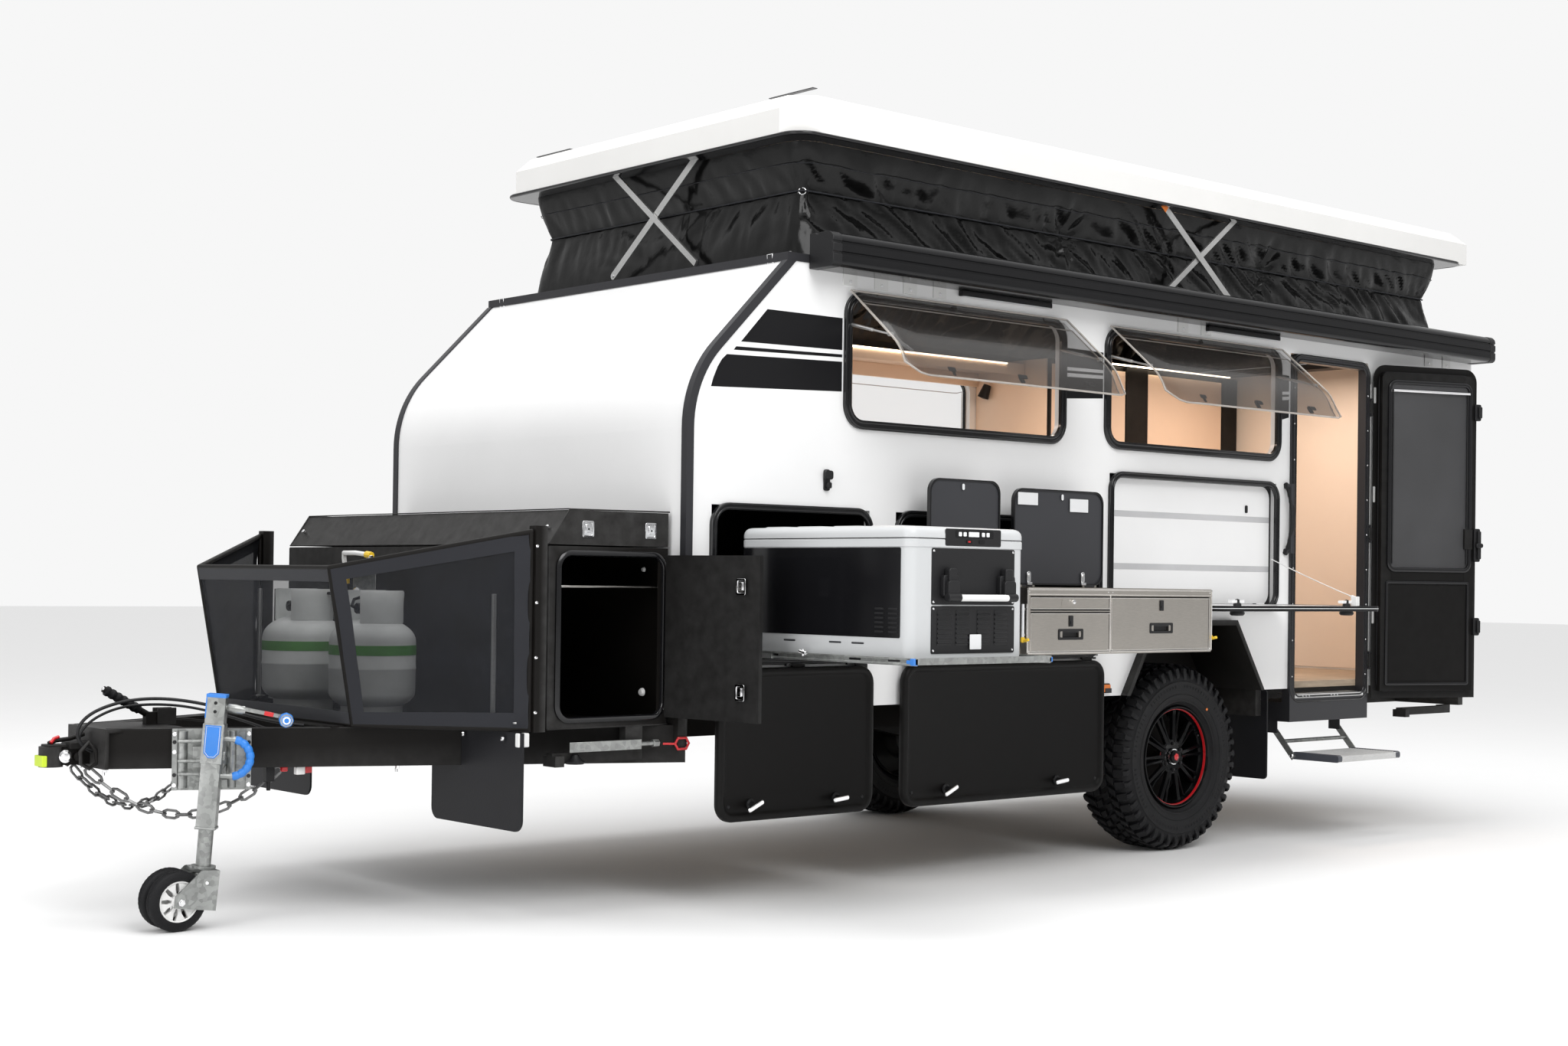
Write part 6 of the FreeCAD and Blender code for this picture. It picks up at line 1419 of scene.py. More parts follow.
@dataclass
class Drawbar(Assembly):
    """A-frame's small fittings: cables, coupling, hand brake, bolts and the breakaway switch."""

    slot = "coupling_paint"
    tip: float = 1.700
    tip_half: float = 0.100
    angle: float = 25.0
    wide: float = 0.050
    top: float = 0.635
    low: float = 0.505
    head_x: float = -1.868

    def build(self) -> None:
        """Run the cables, then fit the metalwork."""
        self._cable("brake_cable", [(-1.690, -0.062, 0.560), (-1.752, -0.070, 0.572), (-1.780, -0.070, 0.622),
                                    (-1.740, -0.064, 0.678), (-1.640, -0.062, 0.716), (-1.520, -0.066, 0.728),
                                    (-1.400, -0.100, 0.716), (-1.290, -0.190, 0.684), (-1.200, -0.290, 0.650),
                                    (-1.120, -0.362, 0.6405)], 0.011)
        self._cable("lighting_cable", [(-1.700, -0.048, 0.552), (-1.745, -0.050, 0.566), (-1.762, -0.046, 0.610),
                                       (-1.715, -0.044, 0.662), (-1.620, -0.040, 0.700), (-1.500, -0.040, 0.706),
                                       (-1.390, -0.070, 0.696), (-1.270, -0.170, 0.660), (-1.170, -0.290, 0.610),
                                       (-1.080, -0.356, 0.590)], 0.009)
        self._coupling()
        self._hand_brake()
        self._plates()

    def _rail(self, forward: float, side: int, out: float, z: float) -> Vector:
        """Return a point at a distance behind the tip along one rail, off its middle line.

        Args:
            forward: Metres behind the tip.
            side: KERB or OFF.
            out: Metres off the rail's middle line.
            z: Height above the ground.

        Returns:
            The frame point.
        """
        turn = math.radians(self.angle)
        x = -self.tip + forward * math.cos(turn) - out * math.sin(turn)
        y = self.tip_half + forward * math.sin(turn) + out * math.cos(turn)
        return at(x, side * y, z)

    def _cable(self, name: str, spots: list[Triple], thick: float) -> None:
        """Lay one cable on the drawbar as a smooth curve.

        Args:
            name: The piece's name.
            spots: Control points in body metres.
            thick: Diameter in metres.
        """
        curve = bpy.data.curves.new(name, "CURVE")
        curve.dimensions = "3D"
        line = curve.splines.new("NURBS")
        line.points.add(len(spots) - 1)
        for point, spot in zip(line.points, spots):
            point.co = (*at(*spot), 1.0)
        line.order_u = 3
        line.use_endpoint_u = True
        curve.bevel_depth = thick / 2
        curve.bevel_resolution = 4
        curve.resolution_u = 12
        curve.materials.append(PLASTIC.material())
        cable = show(name, curve)
        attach(cable, "trailer")
        bpy.context.view_layer.update()
        round(self._run(cable), 3)
        LOG.info("laid %s", name)

    def _run(self, cable: bpy.types.Object) -> float:
        """Return a cable's length along its smooth line.

        Args:
            cable: The cable's curve.

        Returns:
            The length in metres.
        """
        data = cable.data.copy()
        data.bevel_depth = 0.0
        bare = bpy.data.objects.new("bare_line", data)
        mesh = bpy.data.meshes.new_from_object(bare)
        spots = [v.co.copy() for v in mesh.vertices]
        bpy.data.objects.remove(bare)
        bpy.data.meshes.remove(mesh)
        bpy.data.curves.remove(data)
        return length_of(spots)

    def _coupling(self) -> None:
        """Dress the coupling head with its pivot, lever, release, lime marker and shackles."""
        self.fit(Stock().block((self.head_x - 0.003, -0.033, 0.512), (self.head_x + 0.014, 0.033, 0.548)),
                 "coupling_marker", LIME, bevel=0.003)
        pivot = Stock()
        for side in SIDES:
            pivot.lathe([(0.001, 0.058), (0.011, 0.0575), (0.013, 0.055), (0.014, 0.048), (0.021, 0.046),
                         (0.022, 0.036), (0.001, 0.034)], at(-1.800, 0, 0.545), Vector((0, side, 0)), 24)
        self.fit(pivot, "coupling_pivot", CHROME, angle=30)
        yoke = Stock().block((-1.782, -0.036, 0.566), (-1.715, 0.036, 0.588))
        yoke.tube([at(-1.84, 0.0, 0.585), at(-1.815, 0.0, 0.594), at(-1.77, 0.0, 0.598), at(-1.72, 0.0, 0.612)], 0.008)
        yoke.block((-1.852, -0.030, 0.572), (-1.790, 0.030, 0.583))
        self.fit(yoke, "coupling_lever", POWDER, bevel=0.003)
        self.fit(Stock().tube([at(-1.835, -0.012, 0.588), at(-1.823, -0.006, 0.601), at(-1.805, 0.0, 0.606)], 0.0055),
                 "coupling_release", RED)
        hook = Stock()
        for side in SIDES:
            y = side * 0.088
            hook.tube([at(-1.742, y, 0.590), at(-1.768, y, 0.562), at(-1.766, y, 0.522), at(-1.738, y, 0.506),
                       at(-1.714, y, 0.524), at(-1.716, y, 0.560)], 0.007, 8, True)
        self.fit(hook, "coupling_shackles", POWDER, angle=70)

    def _hand_brake(self) -> None:
        """Mould the grip on the lever and cap its release button."""
        root = at(-1.485, 0, 0.657)
        along = Vector((-math.sin(math.radians(60)), 0, math.cos(math.radians(60))))
        profile = [(0.010, 0.055), (0.0155, 0.058)]
        for bump in range(5):
            start = 0.066 + bump * 0.022
            profile += [(0.0145, start), (0.0172, start + 0.008), (0.0168, start + 0.014), (0.0142, start + 0.020)]
        profile += [(0.0175, 0.182), (0.0165, 0.190), (0.009, 0.194)]
        self.fit(Stock().lathe(profile, root, along, 24), "handbrake_grip", RUBBER, angle=50)
        self.fit(Stock().lathe([(0.0001, 0.205), (0.0055, 0.204), (0.0066, 0.199), (0.0066, 0.190)], root, along, 14),
                 "handbrake_button", CHROME)
        cable = Stock().tube([at(-1.44, 0.0, 0.655), at(-1.36, 0.0, 0.648), at(-1.30, 0.0, 0.640)], 0.004)
        cable.blocks(((-1.478, -0.022, 0.635, -1.412, -0.015, 0.690), (-1.478, 0.015, 0.635, -1.412, 0.022, 0.690)))
        self.fit(cable, "handbrake_bracket", POWDER, bevel=0.0015)

    def _plates(self) -> None:
        """Bolt the rails, run their weld seams and hang the breakaway switch."""
        seams = Stock()
        bolts = Stock()
        for side in SIDES:
            for spot in (0.004, 0.30, 0.62, 0.94):
                p = self._rail(spot, side, 0, self.low)
                bolts.bar(p + Vector((0.004, 0, 0)), p - Vector((-0.004, 0, 0.012)), 0.008, 6)
                bolts.bar(p - Vector((0, 0, 0.010)), p - Vector((0, 0, 0.022)), 0.005, 8)
            start = self._rail(0.006, side, -self.wide / 2 - 0.0005, self.top - 0.004)
            foot = self._rail(0.006, side, -self.wide / 2 - 0.0005, self.low + 0.004)
            seams.bar(start, foot, 0.003, 6)
            near, far = self._rail(0.01, side, self.wide / 2, self.top), self._rail(1.35, side, self.wide / 2, self.top)
            seams.bar(near, far, 0.0022, 6)
        self.fit(seams, "drawbar_weld_seams", POWDER, angle=60, slot="chassis_paint")
        self.fit(bolts, "drawbar_bolts", CHROME, bevel=0.0006, slot="chassis_paint")
        switch = Stock().block((-1.235, -0.325, 0.455), (-1.205, -0.295, 0.5045))
        switch.bar(at(-1.22, -0.31, 0.457), at(-1.22, -0.31, 0.425), 0.007, 10)
        self.fit(switch, "breakaway_switch", PLASTIC, bevel=0.002, slot="chassis_paint")
        self.fit(Stock().block((-1.150, -0.372, 0.478), (-1.118, -0.350, 0.5045)), "breakaway_tag", WHITE_PLASTIC,
                 bevel=0.003, slot="chassis_paint")
        tags = Stock().blocks(((-1.118, -0.371, 0.482, -1.092, -0.351, 0.5045), (-1.190, -0.346, 0.488, -1.168, -0.330,
                                                                                 0.5045)))
        self.fit(tags, "breakaway_pulls", RED, bevel=0.003, slot="chassis_paint")


@dataclass
class Jockey(Assembly):
    """Side-winding jockey stand: clamp bracket, square column, crank, fork and twin white-rimmed wheels."""

    slot = "zinc"
    body = "jockey_column"
    foot: Triple = (-1.444, -0.357, 0.530)
    rail: float = 25.0
    toe: float = 10.0
    lean: float = 4.0
    half: float = 0.030
    low: float = -0.212
    top: float = 0.221
    trail: float = 0.095
    axle_z: float = -0.43733
    wheel: float = 0.097
    wide: float = 0.045
    gap: float = 0.018

    def build(self) -> None:
        """Dress the stand from its bracket to its wheels."""
        spin = Matrix.Rotation
        place = Matrix.Translation(at(*self.foot))
        self.bracket = place @ spin(math.radians(-self.rail), 4, "Z")
        self.column = self.bracket @ spin(math.radians(-self.toe), 4, "Z") @ spin(math.radians(self.lean), 4, "Y")
        self.arm = self.column @ spin(math.radians(self.toe), 4, "Z")
        self.fork = self.column @ spin(math.radians(self.rail + self.toe), 4, "Z")
        self._bracket()
        self._column()
        self._crank()
        self._fork()
        self._wheels()

    @staticmethod
    def _bricks(stock: Stock, bricks: Iterable[tuple[float, ...]]) -> Stock:
        """Add local boxes, each given by its six bounds.

        Args:
            stock: Stock that takes it.
            bricks: Six bounds of each box.

        Returns:
            The same stock.
        """
        for x0, y0, z0, x1, y1, z1 in bricks:
            ring = [(x0, y0), (x1, y0), (x1, y1), (x0, y1)]
            stock.skin([[Vector((x, y, z)) for x, y in ring] for z in (z0, z1)])
        return stock

    def _bracket(self) -> None:
        """Press ribs, straps and bolts into the clamp plate."""
        face = 0.0870
        stock = Stock()
        for x in (-0.092, 0.062):
            stock.bar(Vector((x, face + 0.004, -0.088)), Vector((x, face + 0.004, 0.098)), 0.017, 16)
        self._bricks(stock, [(-0.125, face - 0.006, -0.095, -0.108, face + 0.002, 0.105),
                             (0.108, face - 0.006, -0.095, 0.125, face + 0.002, 0.105),
                             (-0.060, face - 0.022, -0.020, 0.036, face + 0.002, 0.048),
                             (0.030, face - 0.030, -0.085, 0.050, face + 0.002, -0.060)])
        for z in (0.066, 0.002, -0.040):
            stock.tube([Vector((-0.104, face, z)), Vector((-0.104, face - 0.030, z)),
                        Vector((-0.028, face - 0.034, z))], 0.0055, 8)
        self.fit(stock, "jockey_clamp_ribs", ZINC, body="trailer", bevel=0.002, tilt=self.bracket)
        bolts = Stock()
        for x, z in ((-0.117, 0.088), (0.117, 0.088), (-0.117, -0.078), (0.117, -0.078), (-0.117, 0.03),
                     (0.117, -0.01)):
            bolts.bar(Vector((x, face - 0.002, z)), Vector((x, face - 0.011, z)), 0.008, 6)
        self.fit(bolts, "jockey_clamp_bolts", CHROME, body="trailer", bevel=0.001, tilt=self.bracket)
        holes = Stock()
        for x, z in ((-0.117, 0.062), (0.117, 0.060), (-0.117, -0.045), (0.117, -0.050)):
            holes.bar(Vector((x, face - 0.0062, z)), Vector((x, face - 0.0075, z)), 0.0065, 16)
        self.fit(holes, "jockey_clamp_holes", GLOSS, body="trailer", tilt=self.bracket)

    def _column(self) -> None:
        """Fit the sleeve, blue cap, bare plate, weld seam and foot ring."""
        h = self.half
        sleeve = Stock()
        self._bricks(sleeve, [(-h - 0.004, -h - 0.0035, 0.000, h + 0.004, h + 0.001, 0.128),
                              (-h - 0.003, -h - 0.004, self.low, h + 0.003, h + 0.004, self.low + 0.008),
                              (-h - 0.0015, -h + 0.006, self.low, -h + 0.002, -h + 0.012, 0.0),
                              (-h - 0.008, -0.010, 0.030, -h, 0.010, 0.105), (h, -0.012, 0.012, h + 0.010, 0.012,
                                                                              0.040)])
        self.fit(sleeve, "jockey_sleeve", ZINC, bevel=0.0022, tilt=self.column)
        cap = Stock()
        self._bricks(cap, [(-h - 0.0012, -h - 0.0012, self.top - 0.008, h + 0.0012, h + 0.0012, self.top + 0.003),
                           (-h - 0.0012, -h - 0.0010, self.top - 0.075, -h + 0.003, -h + 0.002, self.top - 0.008)])
        self.fit(cap, "jockey_cap", BLUE, bevel=0.0014, tilt=self.column)
        outline = [(-0.025, 0.124), (0.025, 0.124), (0.025, 0.034), (0.010, 0.018), (-0.010, 0.018), (-0.025, 0.034)]
        plate = Stock().plate(outline, lambda a, b: Vector((a, -h - 0.0030, b)), (0, -0.0022, 0))
        self.fit(plate, "jockey_plate", BLUE, bevel=0.001, tilt=self.column)
        inner = [(x * 0.84, 0.072 + (z - 0.072) * 0.92) for x, z in outline]
        rim = Stock()
        path = [Vector((x, -h - 0.0056, z)) for x, z in inner]
        rim.tube(path, 0.0008, 5, True)
        self.fit(rim, "jockey_plate_border", WHITE_PLASTIC, tilt=self.column)
        dots = Stock()
        for z in (0.168, 0.196):
            dots.bar(Vector((0.0, -h - 0.0004, z)), Vector((0.0, -h - 0.0014, z)), 0.0055, 14)
        self.fit(dots, "jockey_pin_holes", GLOSS, tilt=self.column)

    def _crank(self) -> None:
        """Clothe the crank and the carrying grip."""
        z = self.top - 0.040
        tip = hinge_turn(Vector((self.half + 0.050, 0, z)), Y_AXIS, 8)
        band = self._bricks(Stock(), [(self.half + 0.120, -0.0098, z - 0.0068, self.half + 0.150, 0.0098, z + 0.0068)])
        self.fit(band.turn(tip), "jockey_crank_band", RED, bevel=0.001, tilt=self.arm)
        shank = Stock().lathe([(0.010, 0.0), (0.014, 0.006), (0.0155, 0.030), (0.013, 0.052), (0.010, 0.060)],
                              Vector((self.half, 0, z)), Vector((1, 0, -0.10)), 20)
        self.fit(shank, "jockey_crank_shank", ZINC, tilt=self.arm)
        profile = [(0.004, -0.002), (0.014, 0.0), (0.0235, 0.010), (0.0245, 0.022), (0.0240, 0.040), (0.0235, 0.054),
                   (0.014, 0.064), (0.004, 0.066)]
        knob = Stock().lathe(profile, Vector((self.half + 0.190, -0.047, self.top - 0.067)), Y_AXIS, 8)
        self.fit(knob, "jockey_crank_knob", BLUE, bevel=0.002, angle=50, tilt=self.arm)
        cup = Stock().lathe([(0.001, -0.0485), (0.012, -0.0480), (0.0135, -0.0465), (0.0135, -0.040), (0.001, -0.040)],
                            Vector((self.half + 0.190, 0.0, self.top - 0.067)), Y_AXIS, 20)
        self.fit(cup, "jockey_crank_insert", PAPER, tilt=self.arm)
        centre = Vector((self.half + 0.028, 0, 0.020))
        path, rings = [], []
        steps = 72
        for k in range(steps + 1):
            turn = math.radians(-82 + 164 * k / steps)
            path.append(centre + Vector((math.cos(turn), 0, math.sin(turn))) * 0.060)
        for k, spot in enumerate(path):
            along = (path[min(k + 1, steps)] - path[max(k - 1, 0)]).normalized()
            side = Y_AXIS
            swell = 0.0118 + 0.0022 * abs(math.sin(math.pi * k / 9))
            rings.append(circle(spot, side, along.cross(side), swell, 14))
        self.fit(Stock().skin(rings), "jockey_grip", BLUE, angle=50, tilt=self.arm)

    def _fork(self) -> None:
        """Add the leg's flange and the axle nuts."""
        ring = Stock().lathe([(0.0245, self.low - 0.145), (0.042, self.low - 0.145), (0.042, self.low - 0.151),
                              (0.0245, self.low - 0.151)], Vector(), Z_AXIS, 32, closed=True)
        self.fit(ring, "jockey_leg_flange", ZINC, body="jockey_leg", bevel=0.0008, tilt=self.column)
        nuts = Stock()
        reach = self.wide + self.gap / 2 + 0.009
        for side in SIDES:
            y = side * reach
            nuts.bar(Vector((-self.trail, y, self.axle_z)), Vector((-self.trail, y + side * 0.009, self.axle_z)), 0.012,
                     6)
            nuts.bar(Vector((-self.trail, y, self.axle_z)), Vector((-self.trail, y + side * 0.013, self.axle_z)), 0.007,
                     12)
            nuts.bar(Vector((-0.012, y - side * 0.001, self.axle_z + 0.06)), Vector((-0.012, y + side * 0.002,
                                                                                     self.axle_z + 0.06)), 0.006, 12)
        self.fit(nuts, "jockey_axle_nuts", CHROME, body="jockey_fork", bevel=0.0008, tilt=self.fork)

    def _wheels(self) -> None:
        """Turn two grooved rubber tyres and two white spoked rims."""
        tyres = Stock()
        rims = Stock()
        axis = Y_AXIS
        for side in (-1, 1):
            near = self.gap / 2
            r, w = self.wheel, self.wide
            middle = Vector((-self.trail, side * near, self.axle_z))
            profile = [(0.066, 0.004), (0.068, 0.000), (0.078, 0.001), (0.088, 0.003), (0.0935, 0.007), (0.0962, 0.012)]
            for groove in (0.0175, 0.0225, 0.0275):
                profile += [(r, groove - 0.0017), (r - 0.0028, groove - 0.0008), (r - 0.0028, groove + 0.0008),
                            (r, groove + 0.0017)]
            profile += [(0.0962, w - 0.012), (0.0935, w - 0.007), (0.088, w - 0.003), (0.078, w - 0.001), (0.068, w),
                        (0.066, w - 0.004)]
            tyres.lathe(profile, middle, axis * side, 64, closed=True)
            self._notches(tyres, middle, side)
            rims.lathe([(0.0665, w - 0.003), (0.0665, w - 0.030), (0.0640, w - 0.030), (0.0630, w - 0.006),
                        (0.0600, w - 0.004), (0.0640, w - 0.0015)], middle, axis * side, 64, closed=True)
            rims.lathe([(0.009, w + 0.001), (0.018, w + 0.001), (0.020, w - 0.004), (0.024, w - 0.007),
                        (0.024, w - 0.024), (0.009, w - 0.024)], middle, axis * side, 32, closed=True)
            for k in range(9):
                self._spoke(rims, middle, side, 2 * math.pi * k / 9)
        wheels = self.fit(tyres, "jockey_tyres", RUBBER, body="jockey_wheels", angle=30, slot="small_tyre",
                          tilt=self.fork)
        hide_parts("jockey_wheels")
        self.fit(rims, "jockey_rims", WHITE_PLASTIC, body="jockey_wheels", bevel=0.0008, slot="small_tyre",
                 tilt=self.fork)

    def _notches(self, stock: Stock, middle: Vector, side: int) -> None:
        """Raise short tread blocks on a small tyre's two shoulders.

        Args:
            stock: Stock that takes it.
            middle: Middle of the wheel's inner face.
            side: KERB or OFF.
        """
        for k in range(40):
            turn = 2 * math.pi * (k + 0.5 * (side < 0)) / 40
            for low, high in ((0.0125, 0.0150), (0.0300, 0.0325)):
                ring = [(turn + t, y * side) for t, y in ((-0.05, low), (0.03, low), (0.05, high), (-0.03, high))]
                stock.skin([[middle + Vector((math.cos(t) * r, y, math.sin(t) * r)) for t, y in ring]
                            for r in (self.wheel - 0.003, self.wheel)])

    def _spoke(self, stock: Stock, middle: Vector, side: int, turn: float) -> None:
        """Add one tapered white spoke that widens toward the rim's edge.

        Args:
            stock: Stock that takes it.
            middle: Middle of the wheel's inner face.
            side: KERB or OFF.
            turn: Angle round the wheel.
        """
        rings = []
        for radius, half in ((0.022, 0.20), (0.040, 0.165), (0.0635, 0.27)):
            ring = []
            for spread, depth in ((-1, 0.006), (1, 0.006), (1, 0.018), (-1, 0.018)):
                t = turn + spread * half
                ring.append(middle + Vector((math.cos(t) * radius, (self.wide - depth) * side, math.sin(t) * radius)))
            rings.append(ring)
        stock.skin(rings)


@dataclass
class FrontBox(Assembly):
    """Tool box on the drawbar: seals, latches, shelf edge, lamp, folds and flap bolts."""

    slot = "black_panel"
    half: float = 0.900
    door: Bounds = (-0.480, 0.665, -0.036, 1.225)

    def build(self) -> None:
        """Dress the box and its door."""
        x0, _, x1, _ = self.door
        profile = [(-0.010, -0.002), (-0.010, 0.006), (-0.004, 0.011), (0.006, 0.011), (0.010, 0.006), (0.010, -0.002)]
        seal = Stock().loop(rolled(self.door, 0.050, 8, profile), lambda depth: on_wall(-self.half - depth))
        self.fit(seal, "box_door_seal", GLOSS, angle=50)
        shelf = Stock().block((x0 + 0.016, -0.888, 1.1105), (x1 - 0.016, -0.8845, 1.1165))
        self.fit(shelf, "box_shelf_lip", STEEL_EDGE, bevel=0.0008)
        lamps = Stock()
        lamps.lathe([(0.001, 0.012), (0.010, 0.011), (0.014, 0.006), (0.015, 0.0)], at(-0.045, -0.80, 0.745), FORE, 20)
        lamps.lathe([(0.001, 0.008), (0.006, 0.008), (0.008, 0.004), (0.009, 0.0)], at(-0.045, -0.80, 1.175), FORE, 16)
        self.fit(lamps, "box_lamps", WHITE_PLASTIC, angle=40)
        self._lid()
        self._door()
        self._edges()

    def _latch(self, plates: Stock, marks: Stock, place: Placer, a: float, b: float, out: Vector) -> None:
        """Add one chrome paddle latch at a spot on a plane.

        Args:
            plates: Stock for the metal.
            marks: Stock for the keyholes.
            place: Placer of the latch's plane.
            a: Place across the plane.
            b: Place up the plane.
            out: Direction off the plane.
        """
        frame_out = rounded(a - 0.024, b - 0.028, a + 0.024, b + 0.028, 0.006, 3)
        bowl = rounded(a - 0.017, b - 0.021, a + 0.017, b + 0.021, 0.005, 3)
        origin = place(a, b)
        rings = []
        for outline, rise in ((frame_out, 0.0), (frame_out, 0.003), (bowl, 0.0034), (bowl, 0.0012)):
            rings.append([place(u, v) + out * rise for u, v in outline])
        plates.skin(rings)
        paddle = rounded(a - 0.010, b - 0.012, a + 0.010, b + 0.016, 0.003, 3)
        plates.skin([[place(u, v) + out * rise for u, v in paddle] for rise in (0.001, 0.0055)])
        marks.bar(origin + out * 0.003, origin + out * 0.0062, 0.0035, 10)

    def _lid(self) -> None:
        """Fit latches on the lid's ends, a folded front flange and pins."""
        plates, marks = Stock(), Stock()
        for x in (-0.361, -0.095):
            self._latch(plates, marks, on_wall(-self.half - 0.0005), x, 1.308, KERBWARD)
        self.fit(plates, "box_lid_latches", CHROME, body="box_lid", bevel=0.0008)
        self.fit(marks, "box_lid_keyholes", GLOSS, body="box_lid")
        folds = Stock()
        for y in (-0.8985, 0.8985):
            folds.tube([at(-0.516, y, 1.2555), at(-0.436, y, 1.3735), at(-0.012, y, 1.3755)], 0.0028, 6)
        folds.tube([at(-0.5175, -0.898, 1.2555), at(-0.5175, 0.898, 1.2555)], 0.0030, 6)
        folds.tube([at(-0.4350, -0.898, 1.3745), at(-0.4350, 0.898, 1.3745)], 0.0022, 6)
        self.fit(folds, "box_lid_folds", POWDER, body="box_lid", angle=70)
        pins = Stock()
        for y in (-0.845, 0.845):
            pins.bar(at(-0.483, y, 1.309), at(-0.492, y, 1.315), 0.0075, 12)
        self.fit(pins, "box_lid_pins", CHROME, body="box_lid", bevel=0.001)

    def _door(self) -> None:
        """Dress the open door's inner skin and its outer latches."""
        x_in, x_out = -0.0085, 0.0265
        place = on_end(-0.0090)
        plates, marks = Stock(), Stock()
        for z in (1.120, 0.765):
            self._latch(plates, marks, place, -1.290, z, FORE)
            self._latch(plates, marks, on_end(x_out), -1.290, z, X_AXIS)
        self.fit(plates, "box_door_latches", CHROME, body="box_door", bevel=0.0008)
        self.fit(marks, "box_door_keyholes", GLOSS, body="box_door")
        rivets = Stock().studs([(x_in, -0.940, z) for z in (1.186, 1.138, 0.742, 0.694)],
                               [(0.0001, 0.003), (0.003, 0.0027), (0.0052, 0.0)], FORE, 12)
        self.fit(rivets, "box_door_rivets", RED, body="box_door")

    def _edges(self) -> None:
        """Line the box's folded edges and fit the bolts that hold the stone flap."""
        folds = Stock()
        for y in (-0.8995, 0.8995):
            folds.tube([at(-0.5175, y, 0.640), at(-0.5175, y, 1.247)], 0.0030, 6)
            folds.tube([at(-0.5175, y, 0.6375), at(-0.012, y, 0.6375)], 0.0030, 6)
        self.fit(folds, "box_folds", POWDER, angle=70)
        bolts = Stock().studs([(-0.677, side * y, 0.612) for side in SIDES for y in (0.500, 0.640, 0.880)],
                              [(0.0001, 0.008), (0.006, 0.007), (0.0085, 0.002), (0.0085, -0.002)], FORE, 14)
        self.fit(bolts, "stone_flap_bolts", CHROME, slot="flap_rubber")


